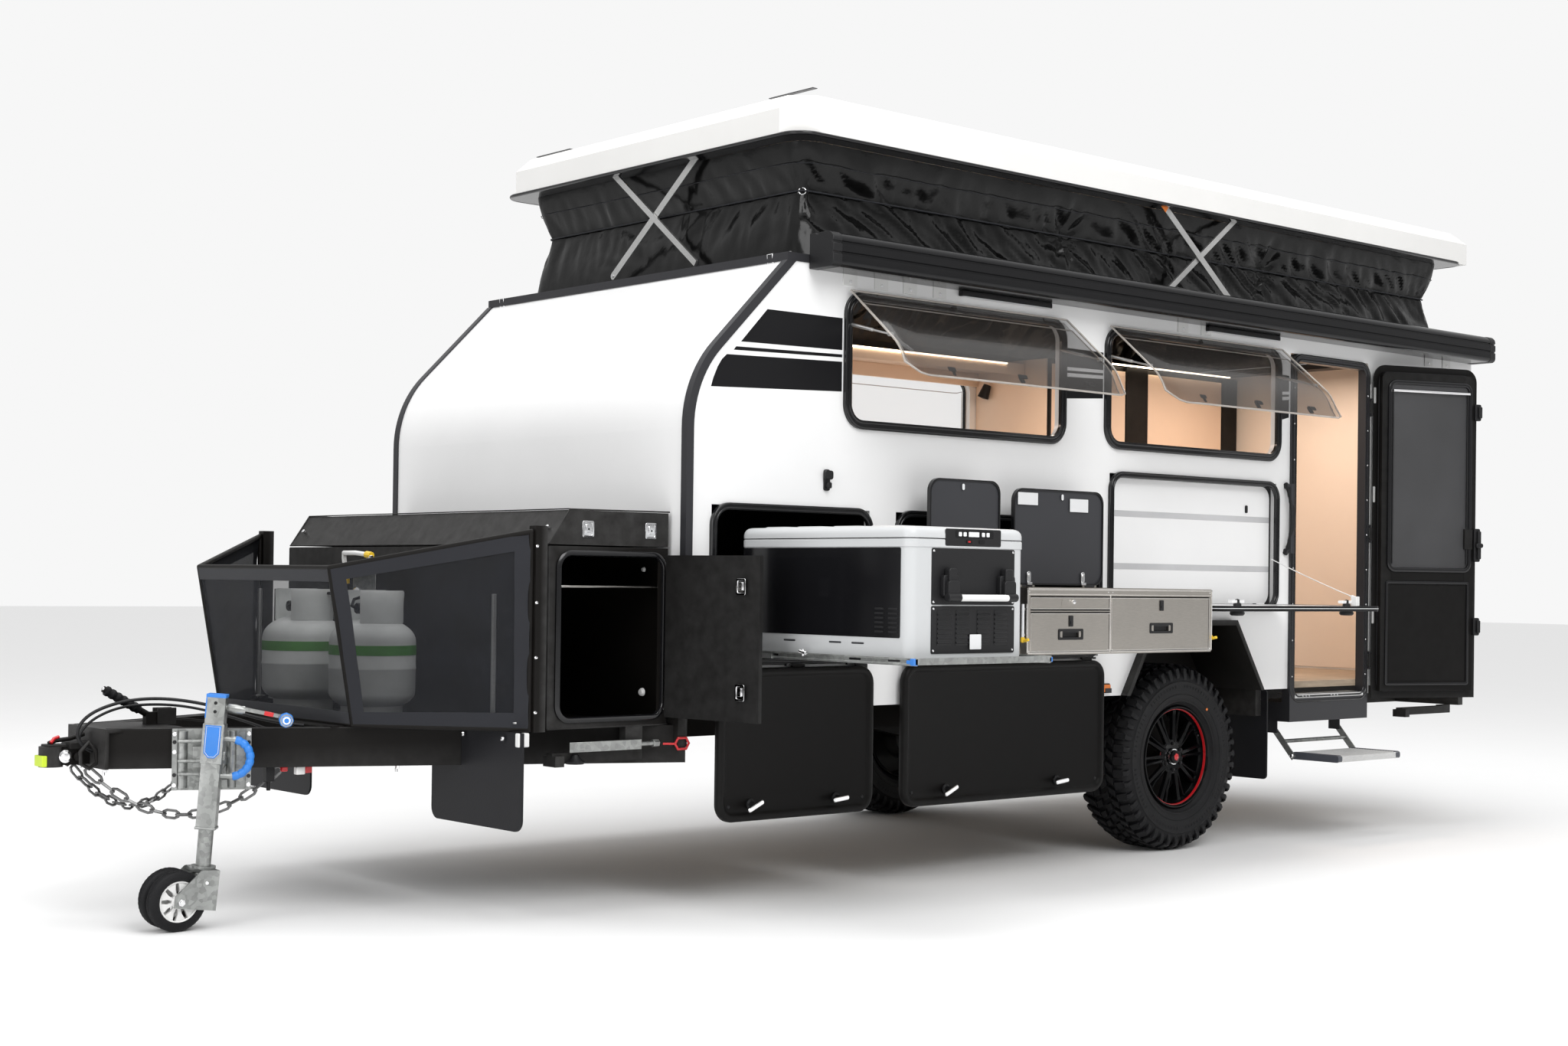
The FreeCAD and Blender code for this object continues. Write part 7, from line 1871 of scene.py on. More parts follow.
@dataclass
class StoneGuard(Assembly):
    """Mesh curtain laced round the gas bottles, with its hems, posts and fittings."""

    slot = "mesh"
    front_top: Triple = (-1.100, 0.480, 1.165)
    front_low: Triple = (-1.005, 0.480, 0.645)
    rear_top: Triple = (-0.622, 0.950, 1.292)
    rear_low: Triple = (-0.622, 0.950, 0.645)
    thick: float = 0.009
    hem: float = 0.045
    columns: int = 64
    rows: int = 44

    def build(self) -> None:
        """Lace the curtain and dress its frame."""
        cloth, hems = Stock(), Stock()
        area, near = 0.0, 0
        for corners, way in sorted(self._panels(), key=lambda panel: panel[1]):
            grid = self._grid(corners, way)
            cloth.skin(grid, around=False)
            area += self._area(grid)
            self._hem(hems, corners, way)
            near += 0 if way == OFF else self.columns * self.rows
        curtain = self.fit(cloth, "guard_curtain", MESH, angle=80)
        # The off-side panel wears the darker, denser copy of the mesh, which paints shade on it.
        curtain.data.materials.append(SHADED_FAR_MESH.material())
        for face in curtain.data.polygons[near:]:
            face.material_index = 1
        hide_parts("guard_mesh")
        border = self.fit(hems, "guard_hems", HEM, angle=60)
        self._fittings()

    def _panels(self) -> list[tuple[list[Vector], int]]:
        """Return each panel's corners: front low, front top, rear top, rear low, and its side.

        Returns:
            Pairs of corners and side.
        """
        panels = []
        for side in SIDES:
            spots = []
            for x, y, z in (self.front_low, self.front_top, self.rear_top, self.rear_low):
                spots.append(at(x, side * y, z))
            panels.append((spots, side))
        low, top = self.front_low, self.front_top
        panels.append(([at(low[0], low[1], low[2]), at(top[0], top[1], top[2]), at(top[0], -top[1], top[2]),
                        at(low[0], -low[1], low[2])], 0))
        return panels

    def _spot(self, corners: list[Vector], way: int, u: float, v: float) -> Vector:
        """Return a cloth point a share along and a share up a panel, with its creases.

        Args:
            corners: The panel's four corners.
            way: The panel's side, or 0 at the front.
            u: Share along the panel.
            v: Share up the panel.

        Returns:
            The frame point.
        """
        low_front, top_front, top_rear, low_rear = corners
        low = low_front.lerp(low_rear, u)
        top = top_front.lerp(top_rear, u)
        spot = low.lerp(top, v)
        out = (low_rear - low_front).cross(top_front - low_front).normalized()
        if out.x > 0:
            out = -out
        crease = noise.noise(Vector((u * 1.6 + v * 0.8, v * 5.2 - u * 2.6, 4.0 + way)))
        fine = noise.noise(Vector((u * 5.0, v * 11.0 - u * 5.0, 9.0 + way)))
        slack = math.sin(math.pi * v) * math.sin(math.pi * min(1.0, u * 1.1 + 0.02))
        push = (0.012 * crease + 0.004 * fine - 0.010) * slack
        if way and u > 0.9:
            push += 0.006 * math.sin(v * 17.0) * (u - 0.9) / 0.1
        return spot + out * (self.thick * 0.55 + push)

    def _grid(self, corners: list[Vector], way: int) -> list[list[Vector]]:
        """Return a panel's rows of points."""
        return [[self._spot(corners, way, u / self.columns, v / self.rows) for u in range(self.columns + 1)]
                for v in range(self.rows + 1)]

    @staticmethod
    def _area(grid: list[list[Vector]]) -> float:
        """Return the area of rows of points.

        Args:
            grid: Rows of points.

        Returns:
            The area in square metres.
        """
        total = 0.0
        for low, high in zip(grid, grid[1:]):
            for a, b, c, d in zip(low, low[1:], high[1:], high):
                total += ((b - a).cross(c - a).length + (c - a).cross(d - a).length) / 2
        return total

    def _hem(self, stock: Stock, corners: list[Vector], way: int) -> None:
        """Sew doubled bands along a panel's four edges.

        Args:
            stock: Stock that takes it.
            corners: The panel's four corners.
            way: The panel's side, or 0 at the front.
        """
        high = (corners[1] - corners[0]).length
        long = (corners[3] - corners[0]).length
        du, dv = self.hem / long, self.hem / high
        out = (corners[3] - corners[0]).cross(corners[1] - corners[0]).normalized()
        if out.x > 0:
            out = -out
        wide_front = du * 1.05
        for u0, u1, v0, v1, cols, rows in ((0.0, 1.0, 1 - dv, 1.0, self.columns, 3),
                                           (0.0, 1.0, 0.0, dv, self.columns, 3),
                                           (0.0, wide_front, dv, 1 - dv, 3, self.rows),
                                           (1 - du * 1.1, 1.0, dv, 1 - dv, 4, self.rows)):
            if way == 0 and cols < 10:
                continue
            rings = []
            for rise in (0.0012, 0.0030):
                rings.append([[self._spot(corners, way, u0 + (u1 - u0) * c / cols, v0 + (v1 - v0) * r / rows)
                               + out * rise for c in range(cols + 1)] for r in range(rows + 1)])
            stock.skin(rings[1], around=False)
            stock.skin([rim_of(rows_at) for rows_at in rings], caps=False)

    def _fittings(self) -> None:
        """Fit post rivets, silver stays and corner reflectors."""
        rivets, poles, clips = Stock(), Stock(), Stock()
        for side in SIDES:
            rivets.studs([(-0.612, side * 0.9705, z) for z in (1.245, 1.060, 0.880, 0.700)],
                         [(0.0001, 0.004), (0.004, 0.0035), (0.006, 0.0)], Vector((0, side, 0)), 12)
            for x, y in ((-0.642, 0.905), (-0.642, 0.765)):
                poles.bar(at(x, side * y, 0.668), at(x, side * y, 1.085), 0.009, 14)
                poles.block((x - 0.020, side * y - 0.020, 0.662), (x + 0.020, side * y + 0.020, 0.668))
            clips.block((-0.672, side * 0.955 - 0.012, 0.588), (-0.630, side * 0.955 + 0.012, 0.634))
        self.fit(rivets, "guard_post_rivets", CHROME, slot="black_trim")
        self.fit(poles, "guard_stays", ALUMINIUM, bevel=0.001, slot="aluminium")
        self.fit(clips, "guard_reflectors", WHITE_PLASTIC, bevel=0.004, slot="black_trim")


@dataclass
class GasBottles(Assembly):
    """Two painted gas bottles with valves, a regulator plate and a bent pipe."""

    slot = "bottle_paint"
    x: float = -0.800
    y: float = 0.246
    radius: float = 0.1485
    foot: float = 0.641
    top: float = 0.998

    def build(self) -> None:
        """Turn the bottles and fit their tops."""
        shells, collars, valves, bands = Stock(), Stock(), Stock(), Stock()
        up = Z_AXIS
        for side in SIDES:
            spot = at(self.x, side * self.y, 0)
            r, low, top = self.radius, self.foot + 0.030, self.top
            dome = [(r * math.cos(t), top - 0.085 + 0.085 * math.sin(t)) for t in (math.radians(a)
                                                                                   for a in range(0, 86, 9))]
            base = [(r * math.cos(t), low + 0.070 - 0.070 * math.sin(t)) for t in (math.radians(a)
                                                                                   for a in range(85, -1, -10))]
            shells.lathe(base + [(r, 0.815), (r + 0.0018, 0.818), (r + 0.0018, 0.824), (r, 0.827)] + dome, spot, up, 72)
            shells.lathe([(0.100, self.foot), (0.106, self.foot), (0.106, low + 0.030), (0.100, low + 0.030)], spot, up,
                         48, closed=True)
            self._collar(collars, spot)
            valves.lathe([(0.016, top - 0.006), (0.016, 1.030), (0.012, 1.034), (0.012, 1.052), (0.024, 1.054),
                          (0.026, 1.060), (0.026, 1.072), (0.022, 1.077), (0.001, 1.078)], spot, up, 20)
            valves.bar(spot + Vector((0.0, 0, 1.028)), spot + Vector((-0.052, 0, 1.028)), 0.014, 8)
            valves.bar(spot + Vector((-0.040, 0, 1.028)), spot + Vector((-0.066, 0, 1.028)), 0.019, 8)
            bands.lathe([(r + 0.0004, 0.868), (r + 0.0010, 0.868), (r + 0.0010, 0.902), (r + 0.0004, 0.902)], spot, up,
                        72, closed=True)
        bottles = self.fit(shells, "bottle_shells", BOTTLE, angle=40)
        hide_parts("gas_bottles")
        self.fit(collars, "bottle_collars", BOTTLE, angle=40)
        self.fit(valves, "bottle_valves", PLASTIC, bevel=0.001, angle=40)
        self.fit(bands, "bottle_bands", GREEN)
        self._plumbing()

    def _collar(self, stock: Stock, spot: Vector) -> None:
        """Roll a valve guard that is open at its front and rear.

        Args:
            stock: Stock that takes it.
            spot: Ground point below the bottle's axis.
        """
        for start in (35, 215):
            rows = []
            for z, r in ((self.top - 0.018, 0.104), (1.050, 0.104), (1.082, 0.106), (1.0905, 0.102)):
                row = []
                for k in range(19):
                    turn = math.radians(start + 110 * k / 18)
                    row.append(spot + Vector((math.cos(turn) * r, math.sin(turn) * r, z)))
                rows.append(row)
            inner = [[p + (spot + Vector((0, 0, p.z)) - p).normalized() * 0.0035 for p in row] for row in rows]
            loop = rows + list(reversed(inner))
            stock.skin([[ring[k] for ring in loop] for k in range(19)])

    def _plumbing(self) -> None:
        """Stand the regulator plate up and bend the filler pipe over it."""
        sheet = Stock().blocks(((-0.700, -0.085, 0.900, -0.697, 0.075, 1.150), (-0.700, -0.085, 0.66, -0.697, -0.045,
                                                                                0.900),
                                (-0.700, 0.035, 0.66, -0.697, 0.075, 0.900)))
        self.fit(sheet, "regulator_plate", ZINC, bevel=0.0008, slot="zinc")
        device = Stock().lathe([(0.001, 0.040), (0.026, 0.038), (0.034, 0.028), (0.034, 0.018), (0.020, 0.014),
                                (0.020, 0.0)], at(-0.700, 0.0, 1.065), FORE, 28)
        device.bar(at(-0.718, -0.060, 1.065), at(-0.718, 0.060, 1.065), 0.009, 12)
        self.fit(device, "regulator", CHROME, angle=35, bevel=0.0008, slot="zinc")
        hoses = Stock()
        for side in SIDES:
            hoses.tube([at(-0.718, side * 0.055, 1.065), at(-0.722, side * 0.095, 1.075),
                        at(-0.760, side * 0.150, 1.075), at(-0.835, side * 0.175, 1.058),
                        at(-0.866, side * 0.215, 1.036), at(-0.866, side * 0.246, 1.028)], 0.0055, 10)
        self.fit(hoses, "regulator_tails", RUBBER, angle=70)
        pipe = Stock().tube([at(-0.705, 0.118, 1.150), at(-0.712, 0.120, 1.205), at(-0.720, 0.106, 1.222),
                             at(-0.722, 0.020, 1.222), at(-0.722, -0.060, 1.216)], 0.0085, 12)
        self.fit(pipe, "filler_pipe", WHITE_PLASTIC, angle=70)
        ends = Stock().bar(at(-0.705, 0.118, 1.110), at(-0.705, 0.118, 1.165), 0.015, 8)
        ends.bar(at(-0.722, -0.058, 1.216), at(-0.722, -0.092, 1.213), 0.013, 8)
        self.fit(ends, "filler_nuts", YELLOW, bevel=0.001)
        foot = Stock().block((-0.716, 0.104, 1.080), (-0.694, 0.132, 1.112))
        foot.bar(at(-0.722, -0.085, 1.213), at(-0.722, -0.085, 1.150), 0.011, 12)
        self.fit(foot, "filler_feet", CHROME, bevel=0.001)


@dataclass
class SideHatches(Assembly):
    """Two padded hatch leaves that hang open, their chrome turn handles and the frames' seals."""

    slot = "black_panel"
    spans: tuple[tuple[float, float], ...] = ((0.104, 0.880), (1.000, 2.190))
    frames: tuple[Bounds, ...] = ((0.104, 0.840, 0.880, 1.415), (1.000, 0.840, 2.190, 1.415),
                                  (2.235, 1.036, 3.410, 1.618))
    hinge: tuple[float, float] = (-0.996, 0.840)
    edge: float = 0.018
    tall: float = 0.539
    hang: float = 0.008
    wall: float = WALL_Y
    turns: tuple[tuple[float, float], ...] = ((0.20, 24.0), (0.75, 6.0))

    def build(self) -> None:
        """Build both leaves, the seals and the table recess's facing."""
        for (front, rear), body in zip(self.spans, ("fridge_hatch", "kitchen_hatch")):
            self._leaf(front + self.edge, rear - self.edge, body)
        self._seals()
        self._linings()

    def _leaf(self, x0: float, x1: float, body: str) -> None:
        """Mould one leaf with a rolled rim round a sunk panel.

        Args:
            x0: Front edge.
            x1: Rear edge.
            body: CAD body that carries it.
        """
        hy, hz = self.hinge
        z1, z0 = hz - self.hang, hz - self.hang - self.tall
        profile = [(0.004, 0.0), (0.0, 0.004), (0.0, 0.022), (0.003, 0.0285), (0.010, 0.0318), (0.020, 0.0315),
                   (0.026, 0.0285), (0.030, 0.0225), (0.034, 0.0215)]
        stock = Stock().skin([[at(x, hy - depth, z) for x, z in outline]
                              for outline, depth in rolled((x0, z0, x1, z1), 0.066, 10, profile)])
        leaf = self.fit(stock, f"{body}_leaf", SATIN, body=body, angle=50)
        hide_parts(body)
        hinges = Stock()
        for share in (0.06, 0.48, 0.90):
            x = x0 + (x1 - x0) * share
            hinges.bar(at(x, hy, hz), at(x + 0.06, hy, hz), 0.0048, 12)
            hinges.block((x, hy - 0.006, hz - 0.030), (x + 0.06, hy, hz - 0.003))
        self.fit(hinges, f"{body}_hinges", POWDER, body=body, bevel=0.001)
        stems = Stock()
        for share, lean in self.turns:
            x, z, y = x0 + (x1 - x0) * share, z0 + 0.060, hy - 0.0225
            stems.lathe([(0.019, 0.0), (0.019, 0.006), (0.011, 0.010), (0.0095, 0.034), (0.001, 0.036)], at(x, y, z),
                        KERBWARD, 24)
            turn = hinge_turn(at(x, y, z), Y_AXIS, -lean)
            bar = Stock()
            outline = rounded(x - 0.046, z - 0.0085, x + 0.030, z + 0.0085, 0.0075, 4)
            bar.plate(outline, on_wall(y - 0.034), (0, -0.013, 0)).turn(turn)
            self.fit(bar, f"{body}_handle_{int(share * 100)}", CHROME, body=body, bevel=0.003)
        self.fit(stems, f"{body}_stems", PLASTIC, body=body, angle=40)
        corners = Stock().studs([(x, hy - 0.0215, z0 + 0.055) for x in (x0 + 0.05, x1 - 0.05)],
                                [(0.0001, 0.004), (0.005, 0.0035), (0.0075, 0.0)], KERBWARD, 14)
        self.fit(corners, f"{body}_plugs", PLASTIC, body=body)

    def _seals(self) -> None:
        """Roll a bulb seal and an outer lip round each frame."""
        seals = Stock()
        for bounds in self.frames:
            for near, far, rise in ((0.0, 0.010, 0.0055), (0.014, 0.024, 0.0045)):
                seals.loop(rolled(bounds, 0.080, 8, bulb(near, far, rise, 0.0015, 0.75)),
                           lambda high: on_wall(-self.wall - 0.0125 - high * 0.9))
        self.fit(seals, "hatch_seals", GLOSS, angle=50, slot="black_trim")

    def _linings(self) -> None:
        """Face the table's recess in white, with its grey bands and latch."""
        x0, z0, x1, z1 = self.frames[2]
        panel = Stock().pad((x0 + 0.024, z0 + 0.024, x1 - 0.024, z1 - 0.024), 0.056, 8, -0.9474, -0.003)
        self.fit(panel, "table_recess_panel", WHITE_SKIN, bevel=0.001, slot="white_panel")
        bands = Stock()
        for z in (1.222, 1.444):
            bands.block((x0 + 0.026, -0.9512, z - 0.013), (x1 - 0.026, -0.9502, z + 0.013))
        self.fit(bands, "table_recess_bands", Finish("grey_satin_band", (0.52, 0.52, 0.53), rough=0.6, bump=0.02),
                 slot="white_panel")
        latch = Stock().pad((x1 - 0.205, 1.472, x1 - 0.190, 1.506), 0.006, 4, -0.9503, -0.006)
        self.fit(latch, "table_recess_latch", PLASTIC, bevel=0.001, slot="black_trim")


@dataclass
class TableLeaf(Assembly):
    """Fold-down table's edge extrusion, turn latches and stay cord."""

    slot = "white_panel"
    body = "table"
    x0: float = 2.243
    x1: float = 3.402
    front: float = -1.542
    rear: float = -1.004
    low: float = 1.044
    high: float = 1.064

    def build(self) -> None:
        """Dress the table."""
        band = Stock()
        outline = rounded(self.x0 - 0.0009, self.front - 0.0009, self.x1 + 0.0009, self.rear, 0.060, 10)
        inner = rounded(self.x0 + 0.006, self.front + 0.006, self.x1 - 0.006, self.rear - 0.006, 0.054, 10)
        band.skin([[at(x, y, z) for x, y in ring] for ring, z in
                   ((outline, self.low - 0.0015), (outline, self.high + 0.0015), (inner, self.high + 0.0015),
                    (inner, self.low - 0.0015))], back=True)
        self.fit(band, "table_edge", AWNING, angle=50)
        line = Stock().tube([at(x, y, self.low + 0.0105) for x, y in rounded(self.x0 - 0.001, self.front - 0.001,
                                                                             self.x1 + 0.001, self.rear, 0.060, 10)],
                            0.0013, 6, True)
        self.fit(line, "table_edge_line", PAPER, angle=70)
        latches = Stock()
        for x in (self.x0 + 0.197, self.x0 + 0.962):
            spot = at(x, self.front + 0.055, 0)
            latches.lathe([(0.001, self.low - 0.020), (0.024, self.low - 0.019), (0.030, self.low - 0.013),
                           (0.030, self.low - 0.006), (0.024, self.low), (0.001, self.low)], spot, Z_AXIS, 28)
            latches.lathe([(0.017, self.high), (0.016, self.high + 0.010), (0.009, self.high + 0.014),
                           (0.009, self.high + 0.026), (0.001, self.high + 0.029)], spot, Z_AXIS, 20)
        self.fit(latches, "table_latches", PLASTIC, angle=40, bevel=0.001, slot="black_trim")
        self._stay()

    def _stay(self) -> None:
        """Stretch the white stay cord from the frame to its clip on the table."""
        start, end = at(3.352, -0.9895, 1.268), at(3.249, -1.500, 1.100)
        spots = [start.lerp(end, k / 24) - Vector((0, 0, 0.004 * math.sin(math.pi * k / 24))) for k in range(25)]
        cord = self.fit(Stock().tube(spots, 0.0022, 8), "table_stay", WHITE_PLASTIC, body="trailer", angle=70)
        clip = Stock().block((3.236, -1.515, 1.066), (3.262, -1.486, 1.106))
        clip.lathe([(0.003, 0.0), (0.007, 0.003), (0.007, 0.020), (0.003, 0.024)], end, start - end, 14)
        clip = self.fit(clip, "table_stay_clip", WHITE_PLASTIC, body="trailer", bevel=0.003)
        for piece in (cord, clip):
            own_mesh(piece)


@dataclass
class Fridge(Assembly):
    """Portable fridge on its slide: rounded shell, black panels, clamps, louvres and controls."""

    slot = "fridge_shell"
    body = "fridge"
    x0: float = 0.200
    x1: float = 0.742
    y0: float = -1.880
    y1: float = -1.032
    low: float = 0.893
    seam: float = 1.2845
    lid_low: float = 1.2875

    def build(self) -> None:
        """Build the tub, its lid, panels and fittings."""
        self._tub()
        self._lid()
        self._panels()
        self._front()
        self._slide()

    def _ring(self, inset: float, z: float, radius: float) -> list[Vector]:
        """Return one level ring of the shell."""
        ring, _ = rolled((self.x0, self.y0, self.x1, self.y1), radius, 8, [(inset, z)])[0]
        return [at(x, y, z) for x, y in ring]

    def _tub(self) -> None:
        """Mould the tub with a hollow inside."""
        profile = ((0.008, self.low), (0.002, self.low + 0.004), (0.0, self.low + 0.012), (0.0, 1.2560),
                   (-0.0035, 1.2585), (-0.0035, self.seam - 0.004), (0.0, self.seam), (0.040, self.seam),
                   (0.044, self.seam - 0.006), (0.052, 0.940), (0.070, 0.930))
        tub = self.fit(Stock().skin([self._ring(inset, z, 0.036) for inset, z in profile]), "fridge_shell", FRIDGE,
                       angle=40)
        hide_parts("fridge_tub")

    def _lid(self) -> None:
        """Mould the lid with its pads and its lining."""
        profile = ((0.010, self.lid_low), (-0.0035, self.lid_low), (-0.0035, 1.300), (-0.001, 1.309), (0.005, 1.317),
                   (0.014, 1.322), (0.026, 1.3245))
        lid = self.fit(Stock().skin([self._ring(inset, z, 0.038) for inset, z in profile]), "fridge_lid_shell", FRIDGE,
                       body="fridge_lid", angle=50)
        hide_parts("fridge_lid")
        pads = Stock()
        for y0, y1 in ((-1.215, -1.095), (-1.400, -1.260), (-1.585, -1.445), (-1.770, -1.630)):
            outline = rounded(self.x0 + 0.05, y0, self.x1 - 0.05, y1, 0.020, 5)
            inner = rounded(self.x0 + 0.056, y0 + 0.006, self.x1 - 0.056, y1 - 0.006, 0.015, 5)
            heights = ((outline, 1.3235), (outline, 1.3262), (inner, 1.3285))
            pads.skin([[at(x, y, z) for x, y in ring] for ring, z in heights])
        self.fit(pads, "fridge_lid_pads", FRIDGE, body="fridge_lid", angle=50)
        plate = Stock()
        outline = rounded(0.356, 1.263, 0.618, 1.3195, 0.006, 4)
        plate.plate(outline, on_wall(self.y0 - 0.0015), (0, -0.004, 0))
        self.fit(plate, "fridge_control_panel", PLASTIC, body="fridge_lid", bevel=0.0015)
        marks, glass = Stock(), Stock()
        y = self.y0 - 0.0056
        glass.pad((0.402, 1.290, 0.580, 1.314), 0.004, 4, y, -0.0008)
        for x in (0.415, 0.437, 0.524, 0.546):
            marks.pad((x, 1.295, x + 0.014, 1.309), 0.003, 3, y - 0.0009, -0.0012)
        marks.pad((0.462, 1.294, 0.511, 1.310), 0.002, 3, y - 0.0009, -0.0006)
        self.fit(glass, "fridge_display_bezel", GLOSS, body="fridge_lid")
        self.fit(marks, "fridge_display", PAPER, body="fridge_lid")
        buttons = Stock()
        for x in (0.452, 0.512):
            buttons.pad((x, 1.272, x + 0.026, 1.284), 0.003, 3, y, -0.0014)
        self.fit(buttons, "fridge_sockets", GLOSS, body="fridge_lid")
        self.fit(Stock().block((0.459, y - 0.0022, 1.2755), (0.470, y - 0.0012, 1.2805)), "fridge_power_mark", RED,
                 body="fridge_lid")

    def _panels(self) -> None:
        """Set black panels in both long sides, with rows of short slots."""
        panels, slots = Stock(), Stock()
        for x, way in ((self.x0, -1), (self.x1, 1)):
            place = on_end(x)
            panels.plate(rounded(-1.839, 0.962, -1.052, 1.255, 0.006, 4), place, (way * 0.0018, 0, 0))
            for y in (-1.742, -1.806):
                for k in range(6):
                    z = 0.978 + k * 0.0150
                    slots.end_pad((y - 0.021, z, y + 0.021, z + 0.0062), 0.003, 3, x + way * 0.0019, way * 0.0016)
        self.fit(panels, "fridge_side_panels", Finish("black_glass_panel", (0.006, 0.006, 0.007), rough=0.14, bump=0.0,
                                                      specular=0.4), bevel=0.0006)
        self.fit(slots, "fridge_side_slots", PLASTIC, bevel=0.0005)
        dents = Stock()
        for y in (-1.300, -1.530, -1.640):
            dents.end_pad((y - 0.030, 0.938, y + 0.030, 0.944), 0.003, 3, self.x0 - 0.0002, -0.0006)
        self.fit(dents, "fridge_base_slots", LID)

    def _front(self) -> None:
        """Dress the end that faces out: upper panel, louvres, clamps and bar handle."""
        y = self.y0
        panels = Stock().pad((0.297, 1.071, 0.689, 1.255), 0.006, 4, y, -0.0020)
        panels.pad((0.297, 0.912, 0.689, 1.067), 0.006, 4, y, -0.0035)
        self.fit(panels, "fridge_end_panels", PLASTIC, bevel=0.0010)
        slats, voids = Stock(), Stock()
        for x0, x1 in ((0.322, 0.390), (0.408, 0.470), (0.508, 0.572), (0.590, 0.654)):
            voids.pad((x0, 0.938, x1, 1.054), 0.004, 3, y - 0.0036, -0.0008)
            for k in range(7):
                z = 0.9445 + k * 0.0152
                slats.skin([[at(x, yy, zz) for yy, zz in ((y - 0.0042, z), (y - 0.0042, z + 0.0085),
                                                          (y - 0.0085, z + 0.001))] for x in (x0 + 0.002, x1 - 0.002)])
        self.fit(voids, "fridge_vent_voids", GLOSS)
        self.fit(slats, "fridge_vent_slats", PLASTIC, bevel=0.0006)
        clamps = Stock()
        for x in (0.372, 0.638):
            clamps.pad((x - 0.036, 1.098, x + 0.036, 1.168), 0.010, 4, y - 0.002, -0.018)
            clamps.pad((x - 0.027, 1.082, x + 0.027, 1.150), 0.010, 4, y - 0.018, -0.016)
            clamps.pad((x - 0.018, 1.140, x + 0.018, 1.190), 0.008, 4, y - 0.004, -0.024)
            clamps.bar(at(x - 0.030, y - 0.030, 1.095), at(x + 0.030, y - 0.030, 1.095), 0.014, 18)
        self.fit(clamps, "fridge_clamps", PLASTIC, bevel=0.0025, angle=40)
        bar = Stock().bar(at(0.398, y - 0.036, 1.094), at(0.620, y - 0.036, 1.094), 0.0115, 20)
        self.fit(bar, "fridge_bar_handle", WHITE_PLASTIC, bevel=0.002)
        tag = Stock().pad((0.470, 0.925, 0.524, 0.974), 0.003, 3, y - 0.0087, -0.0008)
        self.fit(tag, "fridge_bare_tag", PAPER)
        screws = Stock().studs([(x, y, z) for x in (0.306, 0.680) for z in (0.922, 1.058, 1.080, 1.246)],
                               [(0.0001, 0.0055), (0.003, 0.005), (0.0042, 0.003)], KERBWARD, 10)
        self.fit(screws, "fridge_screws", CHROME)

    def _slide(self) -> None:
        """Fit the channel rails, blue latches and tie clamp of the slide."""
        rails, slots = Stock(), Stock()
        for x, way in ((0.180, -1), (0.820, 1)):
            section = [(0.0, 0.879), (0.0055, 0.879), (0.0055, 0.8825), (0.0025, 0.884), (0.0025, 0.896),
                       (0.0055, 0.8975), (0.0055, 0.901), (0.0, 0.901)]
            rails.skin([[at(x + way * dx, y, z) for dx, z in section] for y in (-1.925, -1.035)])
            for y in (-1.836, -1.652, -1.240):
                slots.end_pad((y - 0.028, 0.8870, y + 0.028, 0.8935), 0.003, 3, x + way * 0.0026, way * 0.0005)
        rails.block((0.178, -1.9335, 0.879), (0.822, -1.9295, 0.901))
        self.fit(rails, "fridge_slide_rails", ZINC, bevel=0.0008, slot="zinc")
        self.fit(slots, "fridge_slide_slots", GLOSS, slot="zinc")
        blues = Stock().blocks(((0.1715, -1.9335, 0.8775, 0.190, -1.914, 0.900), (0.812, -1.9335, 0.880, 0.8285, -1.917,
                                                                                  0.897),
                                (0.1735, -1.913, 0.882, 0.1785, -1.895, 0.894)))
        self.fit(blues, "fridge_slide_latches", BLUE, bevel=0.002, slot="zinc")
        knob = Stock().bar(at(0.1745, -1.415, 0.900), at(0.1765, -1.380, 0.906), 0.007, 10)
        knob.bar(at(0.1765, -1.396, 0.890), at(0.1765, -1.396, 0.913), 0.005, 8)
        self.fit(knob, "fridge_tie_clamp", CHROME, bevel=0.001, slot="zinc")


